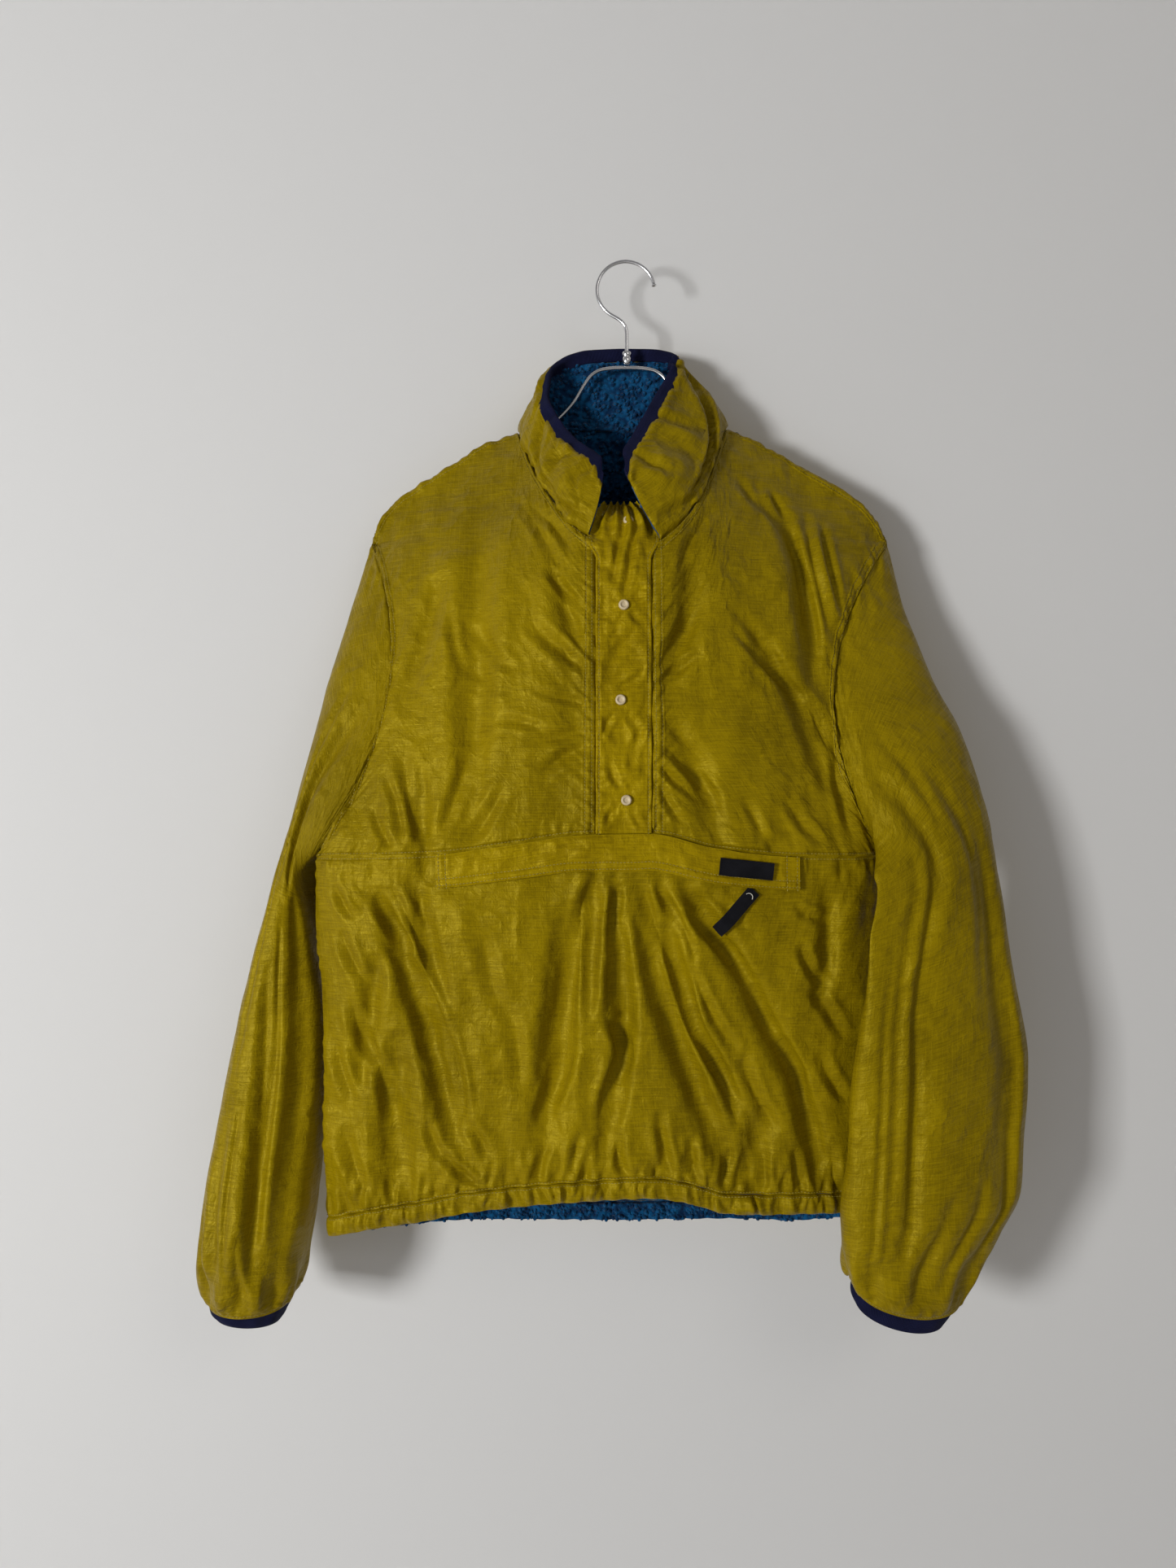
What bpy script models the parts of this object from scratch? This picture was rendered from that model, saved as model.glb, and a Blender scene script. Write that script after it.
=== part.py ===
"""A fleece pullover with a nylon face, hung on a wire hanger.

Metres, +Z up.  The front of the garment faces -Y and the wearer's right arm is at -X.  The origin is the
underside of the hanger hook's crown, and the wire of the hanger lies in the plane y = 0.  Every panel is a
wall of cloth cut from one of three forms: the body (a front and a back sheet that meet along the shoulders,
the armholes and the side seams), the two sleeves (rings that start on the armholes) and the collar.
"""

import math

import bmesh
import bpy
import numpy as np

# ---------------------------------------------------------------- driving dimensions
SEAM_GAP = 0.0003          # clearance between neighbouring pieces
WALL = 0.003               # nylon face with its fleece, taken as one wall
FACE = 0.0015              # nylon face alone, where the fleece is a piece of its own
PILE = 0.0024              # fleece alone
UNDERARM_WALL = 0.0009     # the sleeve's wall where it is creased tight under the arm
RIDGE_Y = 0.0              # depth of the shoulder ridge, over the hanger wire
RIDGE_ROLL = 0.008         # how far the cloth rounds over at the ridge
FRONT_SLOPE = 0.230        # drop from the ridge at which the front has its full depth
BACK_SLOPE = 0.120         # the same for the back
HEM_LINING_MARGIN = 5      # casing columns left bare of fleece at each side seam
CASING = 0.018             # height of the elastic casing round the hem
FLAP_HEIGHT = 0.033        # pocket flap, from its seam to its lower edge
FLAP_LIFT = 0.002          # how far the flap's back stands off the front
FLAP_WALL = 0.002
PLACKET_RAISE = 0.0018     # the snap placket stands this proud of the fronts
PLACKET_LEFT = -0.031
PLACKET_RIGHT = 0.019
SNAP_RADIUS = 0.0045
SNAP_HEIGHT = 0.0022
WIRE_RADIUS = 0.002
WIRE_SIDES = 8
HOOK_RADIUS = 0.028        # to the middle of the wire
HOOK_CENTRE = (-0.001, -0.026)
FERRULE_TOP = -0.0867
FERRULE_BOTTOM = -0.099

# How finely the forms are cut into faces.
SHOULDER_COLUMNS = 7
FRONT_NECK_COLUMNS = 6
BACK_NECK_COLUMNS = 8
PLACKET_COLUMNS = 4
ARMHOLE_ROWS = 14
SKIRT_ROWS = 12
RIDGE_ROWS = 7             # rows of the back that stay clear of the front along the shoulder
BAND_ROWS = 2
BAND_SPLIT = 3             # casing columns to each column of the panel above
SLEEVE_RINGS = 16
RING_POINTS = 2 * ARMHOLE_ROWS
HEM_GATHERS = 26
CUFF_GATHERS = 8

# ---------------------------------------------------------------- tables of sections
# Side seams below the underarm: z, then x and depth y of the left and the right seam.
SIDE_COLUMNS = ("z", "left", "right", "edge_left", "edge_right")
SIDE = (
    (-0.942, -0.278, 0.236, -0.058, -0.050),
    (-0.890, -0.280, 0.236, -0.060, -0.052),
    (-0.825, -0.283, 0.237, -0.062, -0.052),
    (-0.775, -0.282, 0.237, -0.062, -0.052),
    (-0.700, -0.284, 0.237, -0.062, -0.052),
    (-0.630, -0.290, 0.236, -0.062, -0.052),
    (-0.575, -0.289, 0.236, -0.062, -0.052),
)
# Depth of the front and the back on the middle of the body, by height.
DEPTH_COLUMNS = ("z", "front", "back")
DEPTH = (
    (-0.942, -0.090, 0.022),
    (-0.890, -0.094, 0.024),
    (-0.775, -0.100, 0.024),
    (-0.630, -0.107, 0.024),
    (-0.500, -0.106, 0.027),
    (-0.350, -0.099, 0.028),
    (-0.060, -0.088, 0.025),
)

# Sleeve rings, from the armhole to the gathered end.  The outer point lies on the sleeve's silhouette and
# the inner one on its underarm fold.  front and back are how far the ring stands off the line between the
# two, and bow is how far the front (and the back) of the ring is drawn in toward the body.  tuck is how far
# the cloth beside the underarm folds over the front of the body (positive) or behind its back (negative).
SLEEVE_COLUMNS = ("outer_x", "outer_y", "outer_z", "inner_x", "inner_y", "inner_z",
                  "front", "back", "bow_front", "bow_back", "tuck")
SLEEVE_LEFT = (
    (-0.249, 0.000, -0.275, -0.289, -0.062, -0.575, 0.031, 0.044, 0.045, 0.045, 0.000),
    (-0.268, -0.008, -0.340, -0.2945, -0.0605, -0.579, 0.031, 0.044, 0.031, 0.028, -0.006),
    (-0.284, -0.018, -0.406, -0.2985, -0.056, -0.583, 0.030, 0.042, 0.016, 0.012, -0.016),
    (-0.301, -0.026, -0.472, -0.3015, -0.050, -0.589, 0.028, 0.040, 0.004, 0.000, -0.026),
    (-0.318, -0.034, -0.540, -0.303, -0.043, -0.599, 0.027, 0.038, 0.000, 0.000, -0.032),
    (-0.334, -0.042, -0.602, -0.300, -0.037, -0.618, 0.028, 0.037, 0.000, 0.000, -0.030),
    (-0.352, -0.048, -0.676, -0.291, -0.033, -0.665, 0.030, 0.038, 0.000, 0.000, -0.018),
    (-0.371, -0.054, -0.767, -0.282, -0.032, -0.762, 0.036, 0.040, 0.000, 0.000, -0.004),
    (-0.384, -0.060, -0.850, -0.287, -0.042, -0.852, 0.050, 0.046, 0.000, 0.000, 0.000),
    (-0.392, -0.064, -0.905, -0.291, -0.050, -0.904, 0.056, 0.050, 0.000, 0.000, 0.000),
    (-0.394, -0.066, -0.935, -0.297, -0.054, -0.936, 0.053, 0.048, 0.000, 0.000, 0.000),
    (-0.390, -0.066, -0.962, -0.302, -0.058, -0.962, 0.045, 0.040, 0.000, 0.000, 0.000),
    (-0.386, -0.066, -0.980, -0.310, -0.060, -0.982, 0.034, 0.030, 0.000, 0.000, 0.000),
)
SLEEVE_RIGHT = (
    (0.254, 0.000, -0.275, 0.236, -0.052, -0.575, 0.036, 0.040, 0.055, 0.055, 0.000),
    (0.270, -0.012, -0.345, 0.243, -0.055, -0.580, 0.040, 0.034, 0.050, 0.036, 0.006),
    (0.290, -0.022, -0.405, 0.249, -0.060, -0.584, 0.042, 0.030, 0.044, 0.018, 0.016),
    (0.310, -0.032, -0.450, 0.253, -0.067, -0.589, 0.042, 0.026, 0.036, 0.006, 0.028),
    (0.324, -0.040, -0.492, 0.253, -0.076, -0.596, 0.038, 0.024, 0.026, 0.000, 0.034),
    (0.335, -0.047, -0.535, 0.248, -0.085, -0.609, 0.033, 0.022, 0.014, 0.000, 0.034),
    (0.342, -0.053, -0.580, 0.234, -0.094, -0.634, 0.029, 0.022, 0.004, 0.000, 0.030),
    (0.348, -0.059, -0.628, 0.215, -0.099, -0.680, 0.027, 0.023, 0.000, 0.000, 0.014),
    (0.357, -0.062, -0.690, 0.201, -0.102, -0.744, 0.026, 0.024, 0.000, 0.000, 0.003),
    (0.368, -0.064, -0.760, 0.195, -0.101, -0.800, 0.027, 0.024, 0.000, 0.000, 0.000),
    (0.363, -0.066, -0.828, 0.192, -0.100, -0.856, 0.029, 0.024, 0.000, 0.000, 0.000),
    (0.358, -0.068, -0.880, 0.189, -0.099, -0.898, 0.031, 0.024, 0.000, 0.000, 0.000),
    (0.338, -0.070, -0.918, 0.189, -0.097, -0.925, 0.031, 0.024, 0.000, 0.000, 0.000),
    (0.318, -0.072, -0.948, 0.192, -0.095, -0.945, 0.028, 0.022, 0.000, 0.000, 0.000),
    (0.303, -0.074, -0.974, 0.198, -0.093, -0.954, 0.022, 0.018, 0.000, 0.000, 0.000),
)
CUFF_LEFT = (
    (-0.386, -0.066, -0.9804, -0.310, -0.060, -0.9824, 0.034, 0.030, 0.000, 0.000, 0.000),
    (-0.382, -0.066, -0.990, -0.319, -0.060, -0.996, 0.030, 0.026, 0.000, 0.000, 0.000),
    (-0.380, -0.066, -0.996, -0.321, -0.060, -1.003, 0.028, 0.024, 0.000, 0.000, 0.000),
)
CUFF_RIGHT = (
    (0.303, -0.074, -0.9744, 0.198, -0.093, -0.9544, 0.022, 0.018, 0.000, 0.000, 0.000),
    (0.294, -0.074, -0.986, 0.200, -0.092, -0.965, 0.021, 0.017, 0.000, 0.000, 0.000),
    (0.288, -0.074, -0.997, 0.201, -0.092, -0.973, 0.020, 0.016, 0.000, 0.000, 0.000),
)
# Where a tuck lies on its ring, away from the underarm, and how wide it is.
TUCK_PLACE = math.radians(32)
TUCK_WIDTH = math.radians(20)
# How far the front of a cuff hangs lower than its back.
CUFF_DIP = {"left": 0.000, "right": 0.012}

# Shoulder ridge: x and z from the armhole to the side of the neck.
SHOULDER_LEFT = ((-0.249, -0.275), (-0.244, -0.259), (-0.235, -0.243), (-0.221, -0.228), (-0.195, -0.212),
                 (-0.169, -0.197), (-0.145, -0.182), (-0.106, -0.166))
SHOULDER_RIGHT = ((0.254, -0.275), (0.246, -0.259), (0.236, -0.243), (0.222, -0.228), (0.195, -0.212),
                  (0.166, -0.197), (0.136, -0.180), (0.097, -0.162))

# Neck seam: x and z, from the side of the neck to the front edge, and across the back.
NECK_LEFT = ((-0.106, -0.166), (-0.100, -0.182), (-0.090, -0.208), (-0.075, -0.238), (-0.055, -0.269),
             (-0.039, -0.284))
NECK_RIGHT = ((0.097, -0.162), (0.090, -0.180), (0.079, -0.211), (0.064, -0.246), (0.045, -0.273),
              (0.029, -0.287))
NECK_BACK = ((-0.106, -0.166), (-0.080, -0.158), (-0.045, -0.157), (0.000, -0.158), (0.045, -0.156),
             (0.075, -0.156), (0.097, -0.162))

# Upper edge of the collar, from its left front corner round the back to the right one.  station is the place
# along the neck seam, from 0 at the left front edge to 1 at the right one, and bulge is how far the stand
# swells outward between its two edges.
COLLAR_COLUMNS = ("station", "x", "y", "z", "bulge")
COLLAR_TOP = (
    (0.00, -0.023, -0.088, -0.228, 0.003),
    (0.07, -0.034, -0.080, -0.213, 0.006),
    (0.15, -0.056, -0.064, -0.194, 0.008),
    (0.23, -0.074, -0.046, -0.168, 0.008),
    (0.29, -0.082, -0.030, -0.140, 0.007),
    (0.34, -0.077, -0.012, -0.110, 0.008),
    (0.40, -0.064, 0.006, -0.091, 0.006),
    (0.45, -0.040, 0.017, -0.081, 0.003),
    (0.52, 0.000, 0.021, -0.0785, 0.001),
    (0.58, 0.034, 0.017, -0.080, 0.003),
    (0.63, 0.049, 0.005, -0.088, 0.008),
    (0.68, 0.048, -0.012, -0.106, 0.014),
    (0.73, 0.038, -0.030, -0.135, 0.014),
    (0.80, 0.026, -0.046, -0.161, 0.012),
    (0.87, 0.011, -0.062, -0.189, 0.010),
    (0.94, 0.001, -0.076, -0.207, 0.007),
    (1.00, -0.006, -0.086, -0.221, 0.004),
)
COLLAR_ROWS = 5
BINDING_HEIGHT = 0.010
BINDING_STAND = 0.001      # how far the binding stands above the nylon's edge

# Seams and edges that run across the front and the back: x and z.
POCKET_SEAM = ((-0.289, -0.575), (-0.174, -0.571), (-0.112, -0.563), (-0.041, -0.553), (0.018, -0.552),
               (0.079, -0.566), (0.148, -0.573), (0.236, -0.575))
HEM_FRONT = ((-0.279, -0.927), (-0.230, -0.913), (-0.190, -0.905), (-0.140, -0.894), (-0.060, -0.885),
             (0.020, -0.881), (0.050, -0.885), (0.090, -0.896), (0.190, -0.900), (0.236, -0.912))
HEM_BACK = ((-0.279, -0.927), (-0.200, -0.937), (-0.020, -0.941), (0.150, -0.936), (0.236, -0.912))

# Placket: z and its two edges x, from the gathered top to the pocket seam.
PLACKET = ((-0.250, -0.020, 0.005), (-0.262, -0.025, 0.010), (-0.276, -0.029, 0.015), (-0.305, -0.031, 0.019),
           (-0.552, -0.031, 0.019))
SNAPS = ((-0.006, -0.349), (-0.009, -0.434), (-0.004, -0.523), (-0.001, -0.268))

# Pocket flap ends, label patch and pull tab, all on the front.
FLAP_LEFT = -0.172
FLAP_RIGHT = 0.151
PATCH_CENTRE = (0.102, -0.584)
PATCH_SIZE = (0.048, 0.0155)
PATCH_TURN = math.radians(-6.5)
TAB_TOP = (0.107, -0.6085)
TAB_END = (0.079, -0.643)
TAB_WIDTH = 0.012

# Large folds of the body: three points down each fold (x, z), its half width and its depth.  A trough has a
# positive depth and a ridge a negative one.
FOLD_COLUMNS = ("x0", "z0", "x1", "z1", "x2", "z2", "half_width", "depth")
FRONT_FOLDS = (
    (-0.226, -0.600, -0.192, -0.700, -0.154, -0.836, 0.013, 0.013),
    (-0.194, -0.590, -0.181, -0.650, -0.165, -0.715, 0.010, 0.009),
    (-0.227, -0.660, -0.236, -0.720, -0.244, -0.790, 0.012, 0.008),
    (-0.207, -0.730, -0.213, -0.800, -0.212, -0.895, 0.018, 0.010),
    (-0.052, -0.610, -0.064, -0.720, -0.078, -0.840, 0.016, 0.012),
    (-0.029, -0.575, -0.034, -0.640, -0.040, -0.725, 0.009, 0.008),
    (-0.014, -0.575, -0.006, -0.735, -0.024, -0.845, 0.010, 0.011),
    (0.001, -0.580, 0.030, -0.701, 0.095, -0.870, 0.014, 0.011),
    (0.024, -0.580, 0.050, -0.705, 0.108, -0.810, 0.010, 0.010),
    (0.040, -0.585, 0.085, -0.655, 0.136, -0.735, 0.011, 0.009),
    (0.100, -0.690, 0.151, -0.780, 0.180, -0.885, 0.012, 0.011),
    (0.120, -0.800, 0.112, -0.845, 0.104, -0.890, 0.014, 0.007),
    (0.178, -0.590, 0.180, -0.650, 0.170, -0.720, 0.010, 0.006),
    (-0.139, -0.225, -0.140, -0.390, -0.142, -0.575, 0.019, 0.009),
    (-0.176, -0.315, -0.188, -0.370, -0.204, -0.430, 0.012, 0.006),
    (-0.192, -0.490, -0.187, -0.535, -0.180, -0.600, 0.011, 0.007),
    (-0.070, -0.300, -0.058, -0.345, -0.042, -0.400, 0.009, 0.005),
    (0.141, -0.235, 0.163, -0.330, 0.172, -0.430, 0.012, 0.011),
    (0.098, -0.350, 0.150, -0.430, 0.186, -0.520, 0.010, 0.009),
    (0.061, -0.280, 0.052, -0.360, 0.030, -0.440, 0.013, 0.006),
    (0.030, -0.440, 0.062, -0.500, 0.080, -0.570, 0.013, 0.007),
)
BACK_FOLDS = (
    (-0.150, -0.240, -0.128, -0.420, -0.118, -0.640, 0.020, 0.008),
    (0.140, -0.240, 0.122, -0.400, 0.104, -0.610, 0.020, 0.008),
    (-0.030, -0.300, -0.036, -0.520, -0.022, -0.760, 0.022, 0.006),
    (-0.178, -0.620, -0.160, -0.760, -0.142, -0.915, 0.015, 0.009),
    (-0.088, -0.700, -0.078, -0.800, -0.064, -0.920, 0.014, 0.008),
    (0.024, -0.640, 0.040, -0.780, 0.046, -0.920, 0.016, 0.009),
    (0.122, -0.660, 0.140, -0.790, 0.164, -0.905, 0.014, 0.008),
)
# Large folds of the sleeves: place along the sleeve and round it (0 outer fold, 90 front, 180 underarm) at
# three points, half width along the ring and depth.
SLEEVE_FOLD_COLUMNS = ("s0", "turn0", "s1", "turn1", "s2", "turn2", "half_width", "depth")
SLEEVE_FOLDS_LEFT = (
    (0.04, 85.0, 0.22, 78.0, 0.42, 100.0, 0.011, 0.007),
    (0.50, 72.0, 0.66, 92.0, 0.92, 108.0, 0.011, 0.011),
    (0.62, 44.0, 0.76, 52.0, 0.93, 62.0, 0.010, 0.006),
    (0.30, 250.0, 0.55, 262.0, 0.85, 280.0, 0.014, 0.008),
)
SLEEVE_FOLDS_RIGHT = (
    (0.10, 96.0, 0.30, 92.0, 0.50, 112.0, 0.011, 0.007),
    (0.45, 104.0, 0.70, 108.0, 0.95, 112.0, 0.010, 0.006),
    (0.30, 48.0, 0.55, 44.0, 0.80, 46.0, 0.012, 0.007),
    (0.35, 258.0, 0.60, 268.0, 0.88, 276.0, 0.014, 0.008),
)

# Arms of the hanger: x and z from the ferrule to the tip, on the left; the right one mirrors it.
ARM = ((-0.003, -0.1018), (-0.012, -0.1021), (-0.025, -0.1040), (-0.034, -0.1090), (-0.041, -0.118),
       (-0.052, -0.136), (-0.066, -0.151), (-0.088, -0.169), (-0.106, -0.179), (-0.145, -0.196),
       (-0.170, -0.210), (-0.196, -0.225), (-0.213, -0.240))

# Colours: base colour, roughness, metallic.
FINISHES = {
    "mustard nylon": ((0.30, 0.21, 0.02, 1.0), 0.45, 0.0),
    "blue fleece": ((0.02, 0.09, 0.20, 1.0), 0.95, 0.0),
    "navy knit": ((0.02, 0.025, 0.08, 1.0), 0.85, 0.0),
    "black webbing": ((0.012, 0.012, 0.018, 1.0), 0.80, 0.0),
    "cream enamel": ((0.62, 0.55, 0.42, 1.0), 0.35, 0.0),
    "bright wire": ((0.80, 0.80, 0.82, 1.0), 0.15, 1.0),
}


# ---------------------------------------------------------------- helpers
def clear_scene():
    for item in list(bpy.data.objects):
        bpy.data.objects.remove(item, do_unlink=True)


def finish(name):
    """Return the material of that name, made on first use."""
    material = bpy.data.materials.get(name)
    if material is None:
        colour, roughness, metallic = FINISHES[name]
        material = bpy.data.materials.new(name)
        material.use_nodes = True
        shader = material.node_tree.nodes["Principled BSDF"]
        shader.inputs["Base Color"].default_value = colour
        shader.inputs["Roughness"].default_value = roughness
        shader.inputs["Metallic"].default_value = metallic
    return material


def smooth(at, knots, values):
    """Read a curve through (knots, values) that never overshoots them."""
    at = np.asarray(at, float)
    knots = np.asarray(knots, float)
    values = np.asarray(values, float)
    if knots[0] > knots[-1]:
        knots = knots[::-1]
        values = values[::-1]
    step = np.diff(knots)
    slope = np.diff(values) / step
    tangent = np.concatenate(([slope[0]], np.zeros(len(slope) - 1), [slope[-1]]))
    same = slope[:-1] * slope[1:] > 0
    total = np.where(same, slope[:-1] + slope[1:], 1.0)
    tangent[1:-1] = np.where(same, 2 * slope[:-1] * slope[1:] / total, 0.0)
    at = np.clip(at, knots[0], knots[-1])
    k = np.clip(np.searchsorted(knots, at, side="right") - 1, 0, len(step) - 1)
    t = (at - knots[k]) / step[k]
    h = step[k]
    return (values[k] * (1 + 2 * t) * (1 - t) ** 2 + tangent[k] * h * t * (1 - t) ** 2
            + values[k + 1] * t * t * (3 - 2 * t) - tangent[k + 1] * h * t * t * (1 - t))


def column(table, names, name):
    """One named column of a table, as an array."""
    return np.array([row[names.index(name)] for row in table])


def along(points, count):
    """count + 1 points (x, z) spread evenly along a smooth line through the given ones."""
    points = np.array(points, float)
    length = np.concatenate(([0.0], np.cumsum(np.hypot(*np.diff(points, axis=0).T))))
    place = np.linspace(0.0, length[-1], count + 1)
    return np.column_stack([smooth(place, length, points[:, 0]), smooth(place, length, points[:, 1])])


def table_z(x, rows):
    """Height of a seam or an edge at x."""
    return smooth(x, [row[0] for row in rows], [row[1] for row in rows])


def ease(value):
    value = np.clip(value, 0.0, 1.0)
    return value * value * (3 - 2 * value)


def grid_directions(grid, closed, reference):
    """Unit vectors that point into the cloth's hollow, for each point of a grid."""
    if closed:
        padded = np.concatenate((grid[:, -1:], grid, grid[:, :1]), axis=1)
        across = (padded[:, 2:] - padded[:, :-2]) / 2
    else:
        across = np.gradient(grid, axis=1)
    down = np.gradient(grid, axis=0)
    normal = np.cross(down, across)
    normal /= np.linalg.norm(normal, axis=2, keepdims=True) + 1e-12
    if np.sum(normal * (grid - reference)) > 0:
        normal = -normal
    return normal


def crossing(seam, points, closed=False):
    """Unit vectors at right angles to an edge that lead across its seam to the neighbour."""
    if closed:
        tangent = np.roll(points, -1, axis=0) - np.roll(points, 1, axis=0)
    else:
        tangent = np.gradient(points, axis=0)
    tangent /= np.linalg.norm(tangent, axis=1, keepdims=True) + 1e-12
    across = np.broadcast_to(seam, points.shape).astype(float)
    across = across - tangent * np.sum(across * tangent, axis=1, keepdims=True)
    return across / (np.linalg.norm(across, axis=1, keepdims=True) + 1e-12)


def mitre(direction, across):
    """Keep the thickness at an edge from leaning over its seam."""
    lean = np.maximum(np.sum(direction * across, axis=1, keepdims=True), 0.0)
    fixed = direction - across * lean
    return fixed / (np.linalg.norm(fixed, axis=1, keepdims=True) + 1e-12)


def wall(name, outer, inner, material, closed=False):
    """Make one closed solid between an outer and an inner grid of points.

    Every square is cut along the same diagonal, so that layers of cloth stay parallel.
    """
    rows, columns = outer.shape[:2]
    mesh = bpy.data.meshes.new(name)
    bm = bmesh.new()
    sheets = [[[bm.verts.new(point) for point in line] for line in grid] for grid in (outer, inner)]
    spans = columns if closed else columns - 1
    quads = []
    for i in range(rows - 1):
        for j in range(spans):
            k = (j + 1) % columns
            for sheet_points in sheets:
                quads.append((sheet_points[i][j], sheet_points[i][k], sheet_points[i + 1][k],
                              sheet_points[i + 1][j]))
    for i in (0, rows - 1):
        for j in range(spans):
            k = (j + 1) % columns
            quads.append((sheets[0][i][j], sheets[0][i][k], sheets[1][i][k], sheets[1][i][j]))
    if not closed:
        for j in (0, columns - 1):
            for i in range(rows - 1):
                quads.append((sheets[0][i][j], sheets[0][i + 1][j], sheets[1][i + 1][j], sheets[1][i][j]))
    for a, b, c, d in quads:
        bm.faces.new((a, b, c))
        bm.faces.new((a, c, d))
    bmesh.ops.recalc_face_normals(bm, faces=bm.faces)
    if bm.calc_volume(signed=True) < 0:
        bmesh.ops.reverse_faces(bm, faces=bm.faces)
    bm.to_mesh(mesh)
    bm.free()
    mesh.shade_smooth()
    mesh.set_sharp_from_angle(angle=math.radians(50))
    thing = bpy.data.objects.new(name, mesh)
    mesh.materials.append(finish(material))
    bpy.context.collection.objects.link(thing)
    return thing


def thicken(name, outer, depth, material, reference, seams, closed=False):
    """Make a wall, depth thick, on a grid of points.

    seams maps each border that meets a neighbour to the direction across that seam.
    """
    direction, outer = seamed(outer, reference, seams, closed)
    return wall(name, outer, outer + direction * depth, material, closed)


def seamed(outer, reference, seams, closed=False):
    """Directions into the cloth's hollow, and the grid with its borders drawn back by half of a seam's gap."""
    outer = outer.copy()
    direction = grid_directions(outer, closed, reference)
    borders = {"top": np.s_[0], "bottom": np.s_[-1], "first": np.s_[:, 0], "last": np.s_[:, -1]}
    shift = np.zeros(outer.shape)
    for edge, seam in seams.items():
        border = borders[edge]
        across = crossing(np.array(seam), outer[border], closed and edge in ("top", "bottom"))
        direction[border] = mitre(direction[border], across)
        shift[border] -= across * SEAM_GAP / 2
    return direction, outer + shift


# ---------------------------------------------------------------- the body's form
def side_line(hand, z, side):
    """x and y of the body's edge: down the armhole's front (side -1) or back (+1), then the side seam."""
    table = SLEEVE_LEFT if hand == "left" else SLEEVE_RIGHT
    top_x, top_y, top_z, low_x, low_y, low_z, front, back, bow = table[0][:9]
    inward = 1.0 if hand == "left" else -1.0
    height = np.clip((2 * z - top_z - low_z) / (top_z - low_z), -1.0, 1.0)
    x = (top_x + low_x) / 2 + (top_x - low_x) / 2 * height + inward * bow * (1 - height ** 2)
    stand = (front if side < 0 else back) * np.sqrt(1 - height ** 2)
    y = (top_y + low_y) / 2 + (top_y - low_y) / 2 * height + side * stand
    knots = column(SIDE, SIDE_COLUMNS, "z")
    below = z < low_z
    x = np.where(below, smooth(z, knots, column(SIDE, SIDE_COLUMNS, hand)), x)
    y = np.where(below, smooth(z, knots, column(SIDE, SIDE_COLUMNS, "edge_" + hand)), y)
    return x, y


def ridge_z(x):
    """Height of the shoulder line at x, carried on level across the neck."""
    rows = SHOULDER_LEFT + ((-0.050, -0.135), (0.040, -0.132)) + SHOULDER_RIGHT[::-1]
    return table_z(x, rows)


def fold_relief(x, z, folds):
    """How far the folds push the cloth in at (x, z)."""
    relief = np.zeros(np.broadcast(x, z).shape)
    for x0, z0, x1, z1, x2, z2, half_width, depth in folds:
        t = (z - z0) / (z2 - z0)
        middle = (z1 - z0) / (z2 - z0)
        centre = smooth(t, (0.0, middle, 1.0), (x0, x1, x2))
        lean = math.atan2(abs(x2 - x0), abs(z2 - z0))
        q = (x - centre) * math.cos(lean) / half_width
        fade = np.sin(np.pi * np.clip(t, 0.0, 1.0)) ** 0.7
        relief = relief + depth * fade * np.exp(-q * q) * (1 - 0.55 * q * q)
    return relief


def body_depth(x, z, side):
    """Depth y of the front (side -1) or the back (side +1) sheet at (x, z)."""
    left, edge_left = side_line("left", z, side)
    right, edge_right = side_line("right", z, side)
    place = np.clip((2 * x - left - right) / (right - left), -1.0, 1.0)
    edge = edge_left + (edge_right - edge_left) * (place + 1) / 2
    knots = column(DEPTH, DEPTH_COLUMNS, "z")
    full = smooth(z, knots, column(DEPTH, DEPTH_COLUMNS, "front" if side < 0 else "back"))
    drop = np.maximum(ridge_z(x) - z, 0.0)
    tube = ease((-0.480 - z) / 0.095)
    if side < 0:
        power = 2.5 - 0.1 * tube
        profile = (1 - np.abs(place) ** power + 1e-9) ** (1 - 0.5 * tube)
        reach, share = FRONT_SLOPE, RIDGE_ROLL / 0.092
    else:
        profile = 1 - np.abs(place) ** 4
        reach, share = BACK_SLOPE, RIDGE_ROLL / 0.027
    roll = np.sqrt(1 - (1 - np.minimum(drop / RIDGE_ROLL, 1.0)) ** 2)
    slope = 1 - (1 - np.minimum(drop / reach, 1.0)) ** 1.8
    gain = share * roll + (1 - share) * slope
    relief = fold_relief(x, z, FRONT_FOLDS if side < 0 else BACK_FOLDS)
    relief = relief * (1 - np.abs(place) ** 8) * ease(drop / 0.05)
    return edge + (full - edge) * profile * gain - side * relief


def hem_ripple(x, z, hem_z):
    """Gathers of the elastic casing, fading out upward."""
    fade = ease(1 - (z - hem_z - CASING) / 0.05)
    return 0.0022 * fade * np.sin(HEM_GATHERS * 2 * np.pi * (x + 0.278) / 0.514 + 1.3 * np.sin(31 * x))


def sheet(left, right, top, bottom, side):
    """Fill a panel between its four borders (x, z) and give each point its depth."""
    rows, columns = len(left), len(top)
    t = np.linspace(0.0, 1.0, rows)[:, None, None]
    s = np.linspace(0.0, 1.0, columns)[None, :, None]
    flat = ((1 - s) * left[:, None] + s * right[:, None] + (1 - t) * top[None] + t * bottom[None]
            - (1 - s) * (1 - t) * top[0] - s * (1 - t) * top[-1] - (1 - s) * t * bottom[0] - s * t * bottom[-1])
    depth = body_depth(flat[..., 0], flat[..., 1], side)
    return np.stack((flat[..., 0], depth, flat[..., 1]), axis=-1)


def body_axis(grid):
    """Points inside the body that its walls face."""
    axis = grid.copy()
    axis[..., 0] = -0.024 + (grid[..., 0] + 0.024) * 0.5
    axis[..., 1] = -0.030
    return axis


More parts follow.
